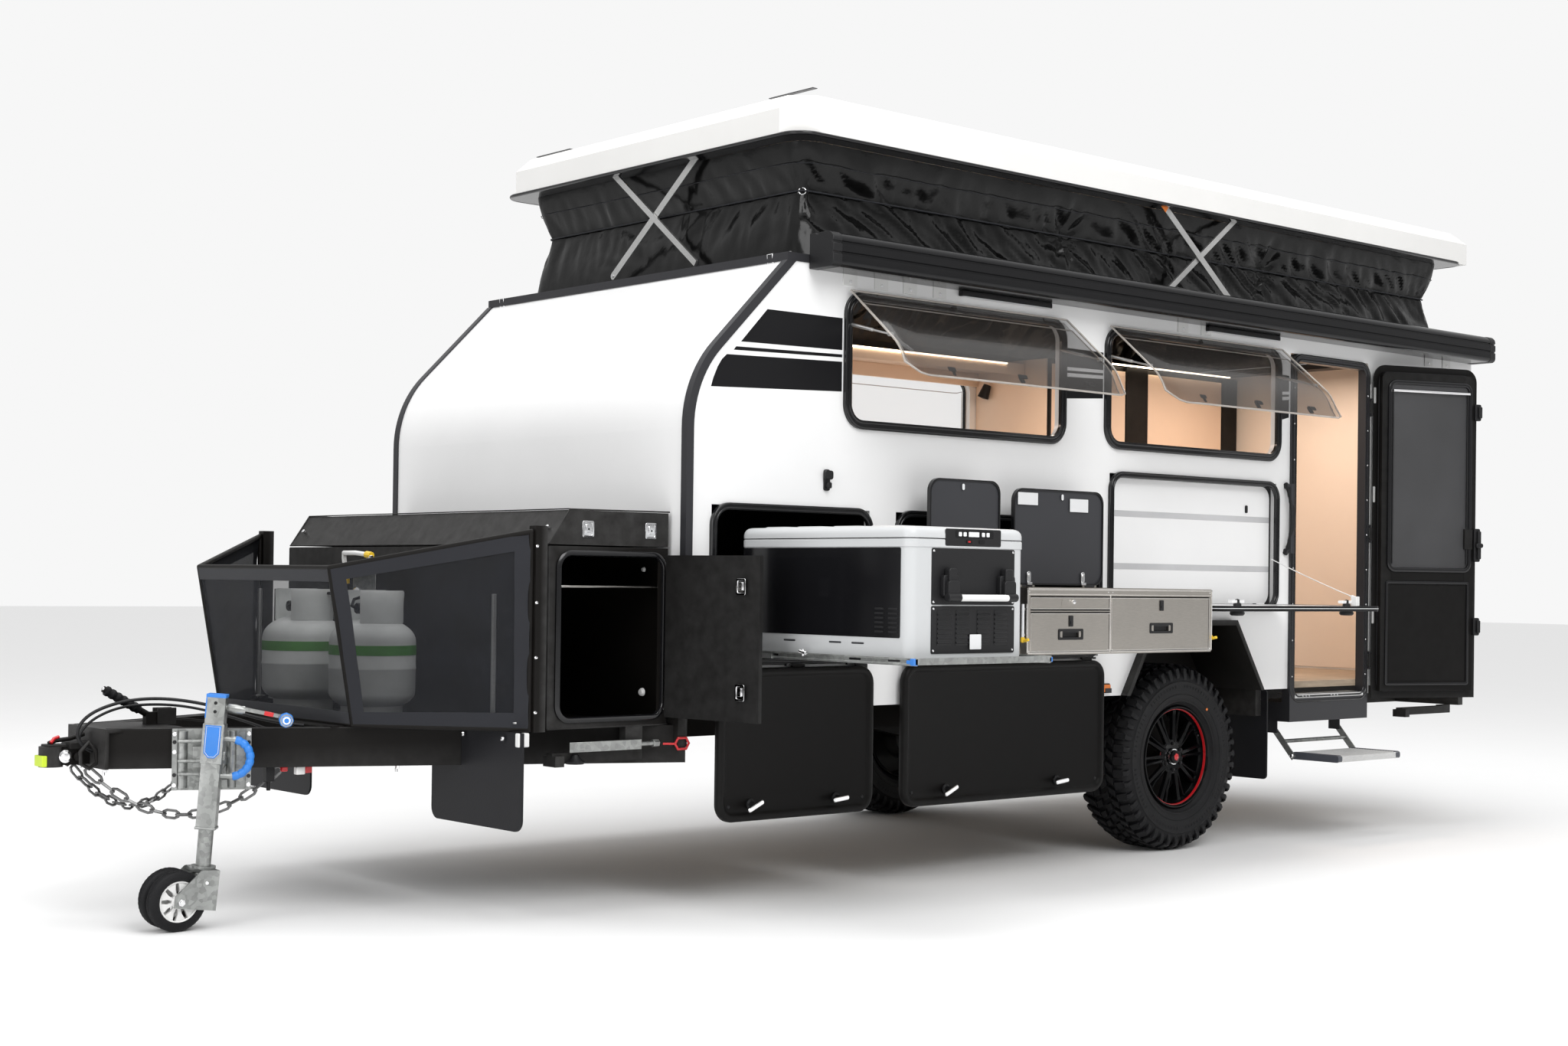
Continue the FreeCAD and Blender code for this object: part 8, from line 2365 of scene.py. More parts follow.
@dataclass
class Kitchen(Assembly):
    """Slide-out kitchen's face: polished frame lines, locks, recessed pulls, end handles, sink and burners."""

    slot = "stainless"
    body = "kitchen"
    x0: float = 1.045
    x1: float = 2.105
    face: float = -1.617
    low: float = 0.893
    top: float = 1.130
    split: float = 1.500

    def build(self) -> None:
        """Dress the unit, the drawers and the lids."""
        self._frame_lines()
        self._drawer("drawer_top", 1.062, 1.496, 1.052, 1.095)
        self._drawer("drawer_low", 1.062, 1.496, 0.899, 1.038)
        self._drawer("drawer_wide", 1.504, 2.088, 0.899, 1.095)
        self._end_handles()
        self._worktop()
        self._lid("kitchen_lid_small", 1.058, 1.440, 1.536, (1.235,), ())
        self._lid("kitchen_lid_large", 1.520, 2.050, 1.516, (1.800,), ((1.540, 1.655, 1.452, 1.500),
                                                                       (1.845, 1.955, 1.432, 1.484)))

    def _frame_lines(self) -> None:
        """Fold polished edges round the unit's face."""
        edges = Stock()
        y0, y1 = self.face - 0.0012, self.face + 0.004
        for x0, z0, x1, z1 in ((self.x0, self.top - 0.009, self.x1, self.top - 0.003),
                               (self.x0, self.top - 0.026, self.x1, self.top - 0.023),
                               (self.x0, self.low, self.x1, self.low + 0.004), (self.x0, self.low, self.x0 + 0.005,
                                                                                self.top - 0.003),
                               (self.x1 - 0.005, self.low, self.x1, self.top - 0.003),
                               (self.split - 0.0025, self.low, self.split + 0.0025, self.top - 0.026)):
            edges.block((x0, y0, z0), (x1, y1, z1))
        self.fit(edges, "kitchen_frame_lines", STEEL_EDGE, bevel=0.0008)
        screws = Stock().studs([(x, self.face, z) for x in (self.x0 + 0.012, self.split - 0.012, self.split + 0.012,
                                                            self.x1 - 0.012)
                                for z in (self.top - 0.015, self.low + 0.008)], [(0.0001, 0.0012), (0.0016, 0.0010),
                                                                                 (0.0024, 0.0)], KERBWARD, 10)
        self.fit(screws, "kitchen_rivets", CHROME)

    def _drawer(self, body: str, x0: float, x1: float, z0: float, z1: float) -> None:
        """Edge one drawer front and fit its lock and pull.

        Args:
            body: CAD body that carries it.
            x0: Front edge.
            x1: Rear edge.
            z0: Low edge.
            z1: High edge.
        """
        y = self.face
        profile = [(0.0, -0.002), (0.0, 0.0012), (0.003, 0.0012), (0.003, -0.002)]
        rim = Stock().loop(rolled((x0, z0, x1, z1), 0.003, 2, profile, 0.0), lambda rise: on_wall(y - rise))
        self.fit(rim, f"{body}_rim", STEEL_EDGE, body=body)
        mid = (x0 + x1) / 2
        if body == "drawer_top":
            cover = Stock().pad((mid - 0.050, z0 + 0.010, mid + 0.050, z1 - 0.004), 0.002, 2, y + 0.0004, -0.0012)
            self.fit(cover, "drawer_top_cover", STAINLESS, body=body)
            knob = Stock().lathe([(0.005, 0.0), (0.005, 0.004), (0.008, 0.006), (0.008, 0.010), (0.0001, 0.011)],
                                 at(mid + 0.008, y, z1 - 0.016), KERBWARD, 18)
            self.fit(knob, "drawer_top_knob", CHROME, body=body)
            return
        pull_z = z0 + (0.049 if body == "drawer_low" else 0.069) + 0.013
        profile = [(0.0, -0.001), (0.0, 0.0018), (0.006, 0.0024), (0.009, 0.0018), (0.009, -0.001)]
        pull = Stock().loop(rolled((mid - 0.068, pull_z - 0.020, mid + 0.068, pull_z + 0.020), 0.005, 3, profile, 0.0),
                            lambda rise: on_wall(y - rise))
        pull.block((mid - 0.044, y + 0.0095, pull_z - 0.0125), (mid + 0.044, y + 0.0115, pull_z + 0.0125))
        pull.block((mid - 0.044, y - 0.0010, pull_z + 0.006), (mid + 0.044, y + 0.0080, pull_z + 0.0125))
        self.fit(pull, f"{body}_pull", PLASTIC, body=body, angle=40)
        lock_z = z0 + (z1 - z0) * (0.80 if body == "drawer_low" else 0.86)
        lock = Stock().pad((mid - 0.010, lock_z - 0.021, mid + 0.010, lock_z + 0.019), 0.003, 3, y, -0.0040)
        lock.bar(at(mid, y - 0.004, lock_z - 0.006), at(mid, y - 0.0065, lock_z - 0.006), 0.006, 14)
        self.fit(lock, f"{body}_lock", PLASTIC, body=body, bevel=0.001)

    def _end_handles(self) -> None:
        """Fit cream upright handles and yellow levers at the unit's two ends."""
        posts, levers, lugs = Stock(), Stock(), Stock()
        for x, way in ((self.x0, -1), (self.x1, 1)):
            px = x + way * 0.0095
            posts.bar(at(px, self.face + 0.012, 0.948), at(px, self.face + 0.012, 1.070), 0.0050, 14)
            for z in (0.960, 1.052):
                lugs.block((min(x, px), self.face + 0.007, z - 0.004), (max(x, px), self.face + 0.017, z + 0.004))
            levers.bar(at(px, self.face + 0.012, 0.938), at(px, self.face - 0.016, 0.944), 0.0055, 10)
            levers.lathe([(0.0001, -0.012), (0.008, -0.009), (0.008, 0.007), (0.0001, 0.010)],
                         at(px, self.face + 0.012, 0.944), Z_AXIS, 14)
        self.fit(posts, "kitchen_end_handles", PAPER, angle=60)
        self.fit(levers, "kitchen_end_levers", YELLOW, angle=50)
        self.fit(lugs, "kitchen_end_lugs", CHROME, bevel=0.0006)

    def _worktop(self) -> None:
        """Sink a bowl with its drain and set two burners in the wells."""
        rings = rolled((1.095, -1.555, 1.455, -1.185), 0.06, 8, [(0.0, 1.1085), (0.004, 1.1115), (0.012, 1.1095),
                                                                 (0.016, 1.1086)])
        bowl = Stock().skin([[at(x, y, z) for x, y in ring] for ring, z in rings])
        bowl.lathe([(0.0001, 1.1100), (0.020, 1.1100), (0.024, 1.1112), (0.028, 1.1090)], at(1.275, -1.37, 0), Z_AXIS,
                   28)
        self.fit(bowl, "kitchen_sink_bowl", CHROME, angle=40)
        tray = Stock().plate(rounded(1.552, -1.555, 2.030, -1.185, 0.012, 4), on_deck(1.1083), (0, 0, 0.0018))
        burners = Stock()
        for x in (1.670, 1.912):
            spot = at(x, -1.36, 0)
            burners.lathe([(0.0001, 1.1215), (0.020, 1.1215), (0.026, 1.1190), (0.040, 1.1165), (0.046, 1.1100)], spot,
                          Z_AXIS, 28)
            for turn in range(4):
                t = math.pi / 4 + turn * math.pi / 2
                out = Vector((math.cos(t), math.sin(t), 0))
                burners.tube([spot + out * 0.105 + Vector((0, 0, 1.110)), spot + out * 0.100 + Vector((0, 0, 1.127)),
                              spot + out * 0.030 + Vector((0, 0, 1.127))], 0.003, 6)
        self.fit(tray, "kitchen_hob_tray", STAINLESS, bevel=0.0006)
        self.fit(burners, "kitchen_burners", POWDER, angle=50)

    def _lid(self, body: str, x0: float, x1: float, top: float, holes: tuple[float, ...],
             labels: tuple[Bounds, ...]) -> None:
        """Dress one raised lid with its finger slot, bare labels and clip hinges.

        Args:
            body: CAD body that carries it.
            x0: Front edge.
            x1: Rear edge.
            top: Top edge.
            holes: Places of the finger slots.
            labels: Bounds of the bare labels.
        """
        face = -1.1100
        profile = [(-0.0008, -0.016), (-0.0008, 0.0002), (0.004, 0.0004), (0.006, 0.0001)]
        rim = Stock().loop(rolled((x0, 1.139, x1, top), 0.050, 8, profile, 0.0), lambda rise: on_wall(face - rise))
        self.fit(rim, f"{body}_rim", GLOSS, body=body, angle=40, slot="dark_lid")
        slot = Stock()
        for x in holes:
            slot.pad((x - 0.0065, top - 0.040, x + 0.0065, top - 0.016), 0.0064, 5, face - 0.0002, -0.0007)
        self.fit(slot, f"{body}_finger_slot", PAPER, body=body, slot="dark_lid")
        if labels:
            patches = Stock()
            for a0, a1, b0, b1 in labels:
                patches.pad((a0, b0, a1, b1), 0.002, 2, face - 0.0001, -0.0005)
            self.fit(patches, f"{body}_bare_labels", PAPER, body=body, slot="dark_lid")
        clips = Stock()
        for x in (x0 + 0.085, x1 - 0.125):
            clips.pad((x - 0.011, 1.148, x + 0.011, 1.192), 0.010, 5, face, -0.0045)
            clips.bar(at(x, face - 0.004, 1.178), at(x, face - 0.008, 1.178), 0.0055, 14)
            clips.block((x - 0.013, face - 0.010, 1.139), (x + 0.013, face, 1.150))
        self.fit(clips, f"{body}_hinge_clips", CHROME, body=body, bevel=0.001, slot="dark_lid")


@dataclass
class EntryDoor(Assembly):
    """Entry door's inner face, glass and flyscreen, its frame's trim, and the doorway behind."""

    hinge: Triple = (4.115, -1.002, 0.621)
    opened: float = 160.0
    long: float = 0.607
    tall: float = 1.585
    face: float = 0.035
    opening: Bounds = (3.502, 0.615, 4.121, 2.212)

    def build(self) -> None:
        """Dress the leaf and the doorway."""
        self.place = Matrix.Translation(at(*self.hinge)) @ Matrix.Rotation(math.radians(self.opened), 4, "Z")
        self._leaf()
        self._doorway()

    def _flat(self, y: float) -> Placer:
        """Return a placer for outlines drawn as (across from the hinge, up) on the leaf."""
        return lambda a, b: Vector((-a, y, b))

    def _make(self, stock: Stock, name: str, finish: Finish, bevel: float = 0.0,
              angle: float = 40.0) -> bpy.types.Object:
        """Make a piece of the leaf in its open place."""
        return self.fit(stock, name, finish, body="entry_door", bevel=bevel, angle=angle, slot="black_door",
                        tilt=self.place)

    def _leaf(self) -> None:
        """Build the inner window frame, flyscreen, blind, lower panel, latches, seal and hinge pads."""
        face, long = self.face, self.long
        frames = Stock()
        for bounds, radius, wide, rise in (((0.066, 0.600, long - 0.052, 1.515), 0.045, 0.022, 0.010),
                                           ((0.060, 0.060, long - 0.060, 0.560), 0.014, 0.016, 0.006)):
            profile = [(0.0, -0.001), (0.002, rise * 0.8), (0.006, rise), (wide - 0.006, rise),
                       (wide - 0.002, rise * 0.8), (wide, -0.001)]
            frames.loop(rolled(bounds, radius, 8, profile), lambda high: self._flat(face + high))
        self._make(frames, "door_inner_frames", GLOSS, angle=50)
        panel = Stock().pad((0.086, 0.622, long - 0.072, 1.495), 0.026, 6, face - 0.004, 0.0045, self._flat)
        self._make(panel, "door_flyscreen", Finish("door_flyscreen_mesh", (0.035, 0.035, 0.038), rough=0.35,
                                                   grain=Grain.WEAVE, scale=420, bump=0.1, drift=0.25, patch=3.0,
                                                   coat=0.3))
        pane = Stock().pad((0.088, 0.822, long - 0.088, 1.497), 0.032, 6, 0.006, 0.005, self._flat)
        self._make(pane, "door_outer_pane", ACRYLIC, bevel=0.001)
        sunk = Stock().pad((0.084, 0.084, long - 0.084, 0.540), 0.010, 4, face - 0.0045, 0.0050, self._flat)
        sunk.pad((0.100, 0.560, long - 0.100, 0.602), 0.004, 3, face - 0.002, 0.0025, self._flat)
        sunk.pad((0.084, 0.540, long - 0.084, 0.752), 0.004, 3, face - 0.0065, 0.0058, self._flat)
        self._make(sunk, "door_lower_panel", SATIN, bevel=0.001)
        blind = Stock().bar(Vector((-0.088, face + 0.012, 1.462)), Vector((-(long - 0.074), face + 0.012, 1.462)),
                            0.0065, 12)
        self._make(blind, "door_blind_bar", CHROME)
        rails = Stock()
        for a in (0.094, long - 0.080):
            rails.bar(Vector((-a, face + 0.006, 0.640)), Vector((-a, face + 0.006, 1.455)), 0.004, 8)
        self._make(rails, "door_blind_rails", PLASTIC)
        latch = Stock()
        for z0, z1 in ((1.335, 1.415), (0.300, 0.385), (0.655, 0.815)):
            latch.pad((long - 0.040, z0, long - 0.006, z1), 0.008, 4, face - 0.001, 0.016, self._flat)
            latch.pad((long - 0.026, z0 + 0.012, long - 0.008, z1 - 0.012), 0.006, 4, face + 0.014, 0.012, self._flat)
        latch.pad((long - 0.045, 0.722, long - 0.005, 0.744), 0.010, 4, face + 0.026, 0.012, self._flat)
        self._make(latch, "door_latches", PLASTIC, bevel=0.003)
        outer = Stock().pad((long - 0.085, 0.700, long - 0.020, 0.835), 0.018, 5, -0.022, 0.004, self._flat)
        self._make(outer, "door_outer_lock_trim", CHROME, bevel=0.001)
        seal = Stock()
        path = [self._flat(0.010)(a, b) for a, b in rounded(0.034, 0.036, long - 0.034, self.tall - 0.034, 0.045, 8)]
        seal.tube(path, 0.0035, 8, True)
        self._make(seal, "door_seal", RUBBER, angle=70)
        pads = Stock()
        for z in (0.355, 0.930, 1.400):
            pads.pad((0.006, z, 0.018, z + 0.075), 0.004, 3, 0.0065, 0.003, self._flat)
        self._make(pads, "door_hinge_pads", ALUMINIUM)

    def _doorway(self) -> None:
        """Fit the frame's lips, screws, aluminium strip, threshold and grab handle."""
        x0, z0, x1, z1 = self.opening
        rims = Stock()
        for near, far, rise in ((0.0, 0.012, 0.0055), (0.022, 0.034, 0.0045)):
            rims.loop(rolled(self.opening, 0.070, 8, bulb(near, far, rise, 0.002, 0.8)),
                      lambda high: on_wall(-0.9895 - high * 0.85))
        self.fit(rims, "door_frame_lips", GLOSS, angle=50)
        screws = Stock().studs([(x, -0.990, z0 + 0.12 + k * 0.165) for k in range(9) for x in (x0 + 0.017, x1 - 0.017)],
                               [(0.0001, 0.0022), (0.0028, 0.0018), (0.004, 0.0)], KERBWARD, 10)
        self.fit(screws, "door_frame_screws", CHROME)
        strip = Stock().blocks(((x1 - 0.005, -0.9965, z0 + 0.03, x1 - 0.001, -0.990, z1 - 0.10),
                                (x0 + 0.038, -0.962, z0 + 0.036, x1 - 0.038, -0.900, z0 + 0.040),
                                (x0 + 0.038, -0.9925, z0 + 0.020, x1 - 0.038, -0.988, z0 + 0.038)))
        self.fit(strip, "door_threshold", ALUMINIUM, bevel=0.0008, slot="aluminium")
        heads = Stock().studs([(x0 + (x1 - x0) * share, -0.9925, z0 + 0.029) for share in (0.16, 0.20, 0.24, 0.52, 0.56,
                                                                                           0.60, 0.93)],
                              [(0.0001, 0.002), (0.0026, 0.0016), (0.0036, 0.0)], KERBWARD, 10)
        self.fit(heads, "door_threshold_screws", CHROME, slot="aluminium")
        grab = Stock()
        path, rings = [], []
        for k in range(33):
            t = k / 32
            path.append(at(3.470, -0.9785 - 0.041 * math.sin(math.pi * t) ** 0.55, 1.296 + 0.315 * t))
        for k, spot in enumerate(path):
            along = (path[min(32, k + 1)] - path[max(0, k - 1)]).normalized()
            side = X_AXIS
            out = along.cross(side)
            swell = 0.0112 + 0.0010 * (k % 3 == 0)
            rings.append([spot + side * math.cos(a) * swell * 1.25 + out * math.sin(a) * swell
                          for a in (2 * math.pi * j / 14 for j in range(14))])
        grab.skin(rings)
        self.fit(grab, "door_grab_handle", PLASTIC, angle=60)


@dataclass
class Interior(Assembly):
    """What the windows and the doorway show: linings, cabinets, bed, bench with a tap, and lamps."""

    slot = "wood"
    inner: float = 0.945
    rear: float = 4.998
    deck: float = 1.4405

    def build(self) -> None:
        """Line the cabin and furnish it."""
        lining = Stock()
        for side in SIDES:
            y0, y1 = sorted((side * self.inner, side * (self.inner - 0.002)))
            for z0, z1, x0, x1 in ((self.deck, 1.700, 0.45, 2.21), (2.232, 2.30, 0.52, 3.47),
                                   (1.700, 2.232, 1.985, 2.172)):
                lining.block((x0, y0, z0), (x1, y1, z1))
        lining.blocks(((3.44, 0.943, 0.72, self.rear, 0.945, 2.30), (self.rear - 0.002, -self.inner, 0.72, self.rear,
                                                                     self.inner, 2.30),
                       (4.150, -self.inner, 0.72, self.rear, -0.943, 2.30)))
        self.fit(lining, "cabin_linings", Finish("cream_lining", (0.88, 0.79, 0.70), rough=0.5, bump=0.02, drift=0.02))
        self._bed()
        self._cabinets()
        self._bench()
        self._lamps()

    def _bed(self) -> None:
        """Lay a thin mattress on the deck with a crowned top."""
        rows = []
        for inset, z in ((0.02, 0.0), (0.0, 0.02), (0.0, 0.07), (0.012, 0.092), (0.05, 0.102), (0.25, 0.108)):
            rows.append([at(x, y, self.deck + z) for x, y in rounded(0.42 + inset, -0.90 + inset, 2.16 - inset,
                                                                     0.90 - inset, max(0.02, 0.08 - inset * 0.3), 6)])
        bed = self.fit(Stock().skin(rows), "bed_mattress", CUSHION, angle=60)

    def _cabinets(self) -> None:
        """Hang cream lockers on the off side and stand tall cupboards at the rear."""
        doors, posts, cases = Stock(), Stock(), Stock()
        doors.block((3.438, 0.452, 0.72), (3.446, 0.943, 2.285))
        for x0, x1 in ((3.462, 4.040), (4.226, 4.855)):
            doors.block((x0, 0.440, 0.76), (x1, 0.456, 2.26))
        self.fit(doors, "cabinet_doors", WOOD, bevel=0.002)
        cases.block((3.448, 0.458, 0.712), (4.990, 0.944, 2.288))
        self.fit(cases, "cabinet_cases", Finish("graphite_board", (0.012, 0.011, 0.010), rough=0.4, bump=0.03,
                                                specular=0.3), bevel=0.002)
        for x0, x1 in ((4.045, 4.221), (4.861, 4.990), (3.448, 3.460)):
            posts.block((x0, 0.436, 0.714), (x1, 0.460, 2.284))
        self.fit(posts, "cabinet_black_posts", SATIN, bevel=0.002)
        shelf = Stock().blocks(((0.75, 0.610, 2.236, 3.436, 0.943, 2.262), (0.75, 0.600, 2.205, 3.436, 0.612, 2.264),
                                (0.75, 0.925, 2.168, 3.436, 0.943, 2.236)))
        self.fit(shelf, "window_valance", WOOD, bevel=0.002)
        fittings = Stock()
        fittings.lathe([(0.001, 0.0), (0.030, 0.004), (0.020, 0.075), (0.001, 0.078)], at(3.40, 0.86, 2.10),
                       Vector((0.2, -0.3, 1)), 18)
        self.fit(fittings, "reading_lamp", PLASTIC)
        knobs = Stock().studs([(x, 0.440, 1.4) for x in (3.99, 4.28)], [(0.011, 0.0), (0.011, 0.004), (0.0001, 0.005)],
                              KERBWARD, 16)
        self.fit(knobs, "cabinet_locks", CHROME)

    def _bench(self) -> None:
        """Top the bench and stand a tap on it."""
        tap = Stock()
        spot = at(3.05, 0.62, 1.620)
        tap.lathe([(0.030, 0.0), (0.030, 0.006), (0.021, 0.012), (0.020, 0.110), (0.024, 0.120), (0.024, 0.150),
                   (0.012, 0.162), (0.0001, 0.164)], spot, Z_AXIS, 24)
        tap.tube([spot + Vector((0, -0.010, 0.095)), spot + Vector((0.0, -0.080, 0.150)),
                  spot + Vector((0, -0.150, 0.158)), spot + Vector((0, -0.180, 0.140)),
                  spot + Vector((0, -0.184, 0.110))], 0.010, 12)
        tap.tube([spot + Vector((0.005, 0, 0.150)), spot + Vector((0.060, -0.02, 0.205))], 0.006, 8)
        self.fit(tap, "bench_tap", CHROME, angle=50, slot="stainless")
        top = Stock().plate(rounded(2.225, 0.372, 3.425, 0.944, 0.02, 4), on_deck(1.6205), (0, 0, 0.012))
        self.fit(top, "bench_top", Finish("pale_worktop", (0.72, 0.68, 0.62), rough=0.35, bump=0.02), bevel=0.003,
                 slot="bench_board")

    def _lamps(self) -> None:
        """Fit warm lamp strips that light the cabin."""
        strips = Stock().blocks(((0.90, 0.592, 2.254, 3.30, 0.598, 2.261), (3.60, 0.414, 2.288, 4.90, 0.430, 2.294)))
        self.fit(strips, "cabin_lamp_strips", WARM_LAMP)


@dataclass
class RoofTrim(Assembly):
    """Rubber along the roof's rim, a black ring under its overhang that paints the underside's shade, its corner
    strips, the front latches and the rail's line.
    """

    body = "roof"
    x0: float = 0.500
    x1: float = 4.985
    half: float = 0.972
    low: float = 2.775

    def build(self) -> None:
        """Fit the roof's rubber line, the painted-shade ring under the overhang, straps and fittings."""
        outline = rounded(self.x0 + 0.004, -self.half + 0.004, self.x1 - 0.004, self.half - 0.004, 0.095, 8)
        rubber = Stock().tube([at(x, y, self.low + 0.004) for x, y in outline], 0.0078, 8, True)
        # Flat black ring under the overhang: painted shade on the roof's white underside.
        inner = rounded(0.600, -0.872, 4.885, 0.872, 0.06, 8)
        rubber.skin([[at(x, y, self.low - dz) for x, y in ring] for ring, dz in
                     ((outline, 0.0008), (outline, 0.0022), (inner, 0.0022), (inner, 0.0008))], back=True)
        self.fit(rubber, "roof_rubber_line_and_shade_ring", GLOSS, angle=70)
        straps = Stock()
        for x, y0, y1 in ((0.640, -0.900, -0.650), (0.640, 0.650, 0.900)):
            straps.block((x - 0.012, y0, 2.964), (x + 0.012, y1, 2.967))
        self.fit(straps, "roof_corner_strips", BLACK_TRIM, bevel=0.001)
        self._latches()

    def _latches(self) -> None:
        """Fit over-centre latches and the front rail's bright line."""
        latches = Stock()
        for x, y in ((0.462, -0.880), (0.462, 0.880)):
            latches.block((x - 0.012, y - 0.020, 2.255), (x, y + 0.020, 2.300))
            latches.tube([at(x - 0.010, y - 0.014, 2.290), at(x - 0.014, y - 0.014, 2.330),
                          at(x - 0.014, y + 0.014, 2.330), at(x - 0.010, y + 0.014, 2.290)], 0.003, 6)
        self.fit(latches, "roof_latches", CHROME, body="trailer", bevel=0.001, slot="aluminium")
        line = Stock().tube([at(0.470, -0.972, 2.3315), at(0.470, 0.972, 2.3315)], 0.003, 6)
        self.fit(line, "rail_front_line", ALUMINIUM, body="trailer", slot="aluminium")


@dataclass
class LiftBars:
    """Second flat bar of each crossed pair, which leans the other way, with pins and amber tips."""

    high: float = 2.790
    low: float = 2.372
    half: float = 0.272
    ends_y: float = -0.050
    sides_x: float = 2.880
    wide: float = 0.030
    thick: float = 0.003

    def build(self) -> None:
        """Cross each pair at both ends and on both sides."""
        bars, pins, tips = Stock(), Stock(), Stock()
        for plane, way in ((0.5505, 1), (4.9345, -1)):
            self._bar(bars, lambda a, b, p=plane: at(p, a, b), self.ends_y, KERB)
            for spot in (at(plane, self.ends_y - self.half, self.high), at(plane, self.ends_y + self.half, self.low)):
                pins.bar(spot - Vector((0.004 * way, 0, 0)), spot + Vector((0.012 * way, 0, 0)), 0.006, 12)
        for plane, way in ((0.9400, OFF), (-0.9400, KERB)):
            self._bar(bars, lambda a, b, p=plane: at(a, p, b), self.sides_x, KERB)
            spot = at(self.sides_x - self.half, plane, self.high)
            pins.bar(spot - Vector((0, 0.012 * way, 0)), spot + Vector((0, 0.005 * way, 0)), 0.006, 12)
            self._tip(tips, lambda a, b, p=plane + 0.0022 * way: at(a, p, b))
        for stock, name, finish in ((bars, "lift_bars", ALUMINIUM), (pins, "lift_bar_pins", CHROME),
                                    (tips, "lift_bar_tips", ORANGE)):
            piece = stock.make(name, finish, "roof", angle=40, slot="aluminium")
            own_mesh(piece)

    def _bar(self, stock: Stock, place: Placer, centre: float, lean: int) -> None:
        """Add one bar from its high pin to its low end.

        Args:
            stock: Stock that takes it.
            place: Placer of the bar's plane.
            centre: Middle of the crossed pair.
            lean: Which way it leans.
        """
        top = Vector((centre + lean * self.half, self.high))
        foot = Vector((centre - lean * self.half, self.low))
        along = (foot - top).normalized()
        across = Vector((-along.y, along.x)) * self.wide / 2
        outline = []
        for spot, turn in ((top, 1), (foot, -1)):
            for k in range(7):
                t = math.pi * k / 6
                p = spot + across * turn * math.cos(t) - along * turn * math.sin(t) * self.wide / 2
                outline.append(p)
        near = [place(p.x, p.y) for p in outline]
        normal = (near[1] - near[0]).cross(near[8] - near[0]).normalized() * self.thick
        stock.skin([near, [p + normal for p in near]])

    def _tip(self, stock: Stock, place: Placer) -> None:
        """Wrap an amber sleeve round a bar's high end.

        Args:
            stock: Stock that takes it.
            place: Placer of the bar's plane.
        """
        top = Vector((self.sides_x - self.half, self.high))
        along = (Vector((self.sides_x + self.half, self.low)) - top).normalized()
        across = Vector((-along.y, along.x)) * (self.wide / 2 + 0.0012)
        outline = [top + along * d + across * w for d, w in ((0.006, -1), (0.045, -1), (0.045, 1), (0.006, 1))]
        near = [place(p.x, p.y) for p in outline]
        normal = (near[1] - near[0]).cross(near[2] - near[0]).normalized() * 0.0012
        stock.skin([near, [p + normal for p in near]])


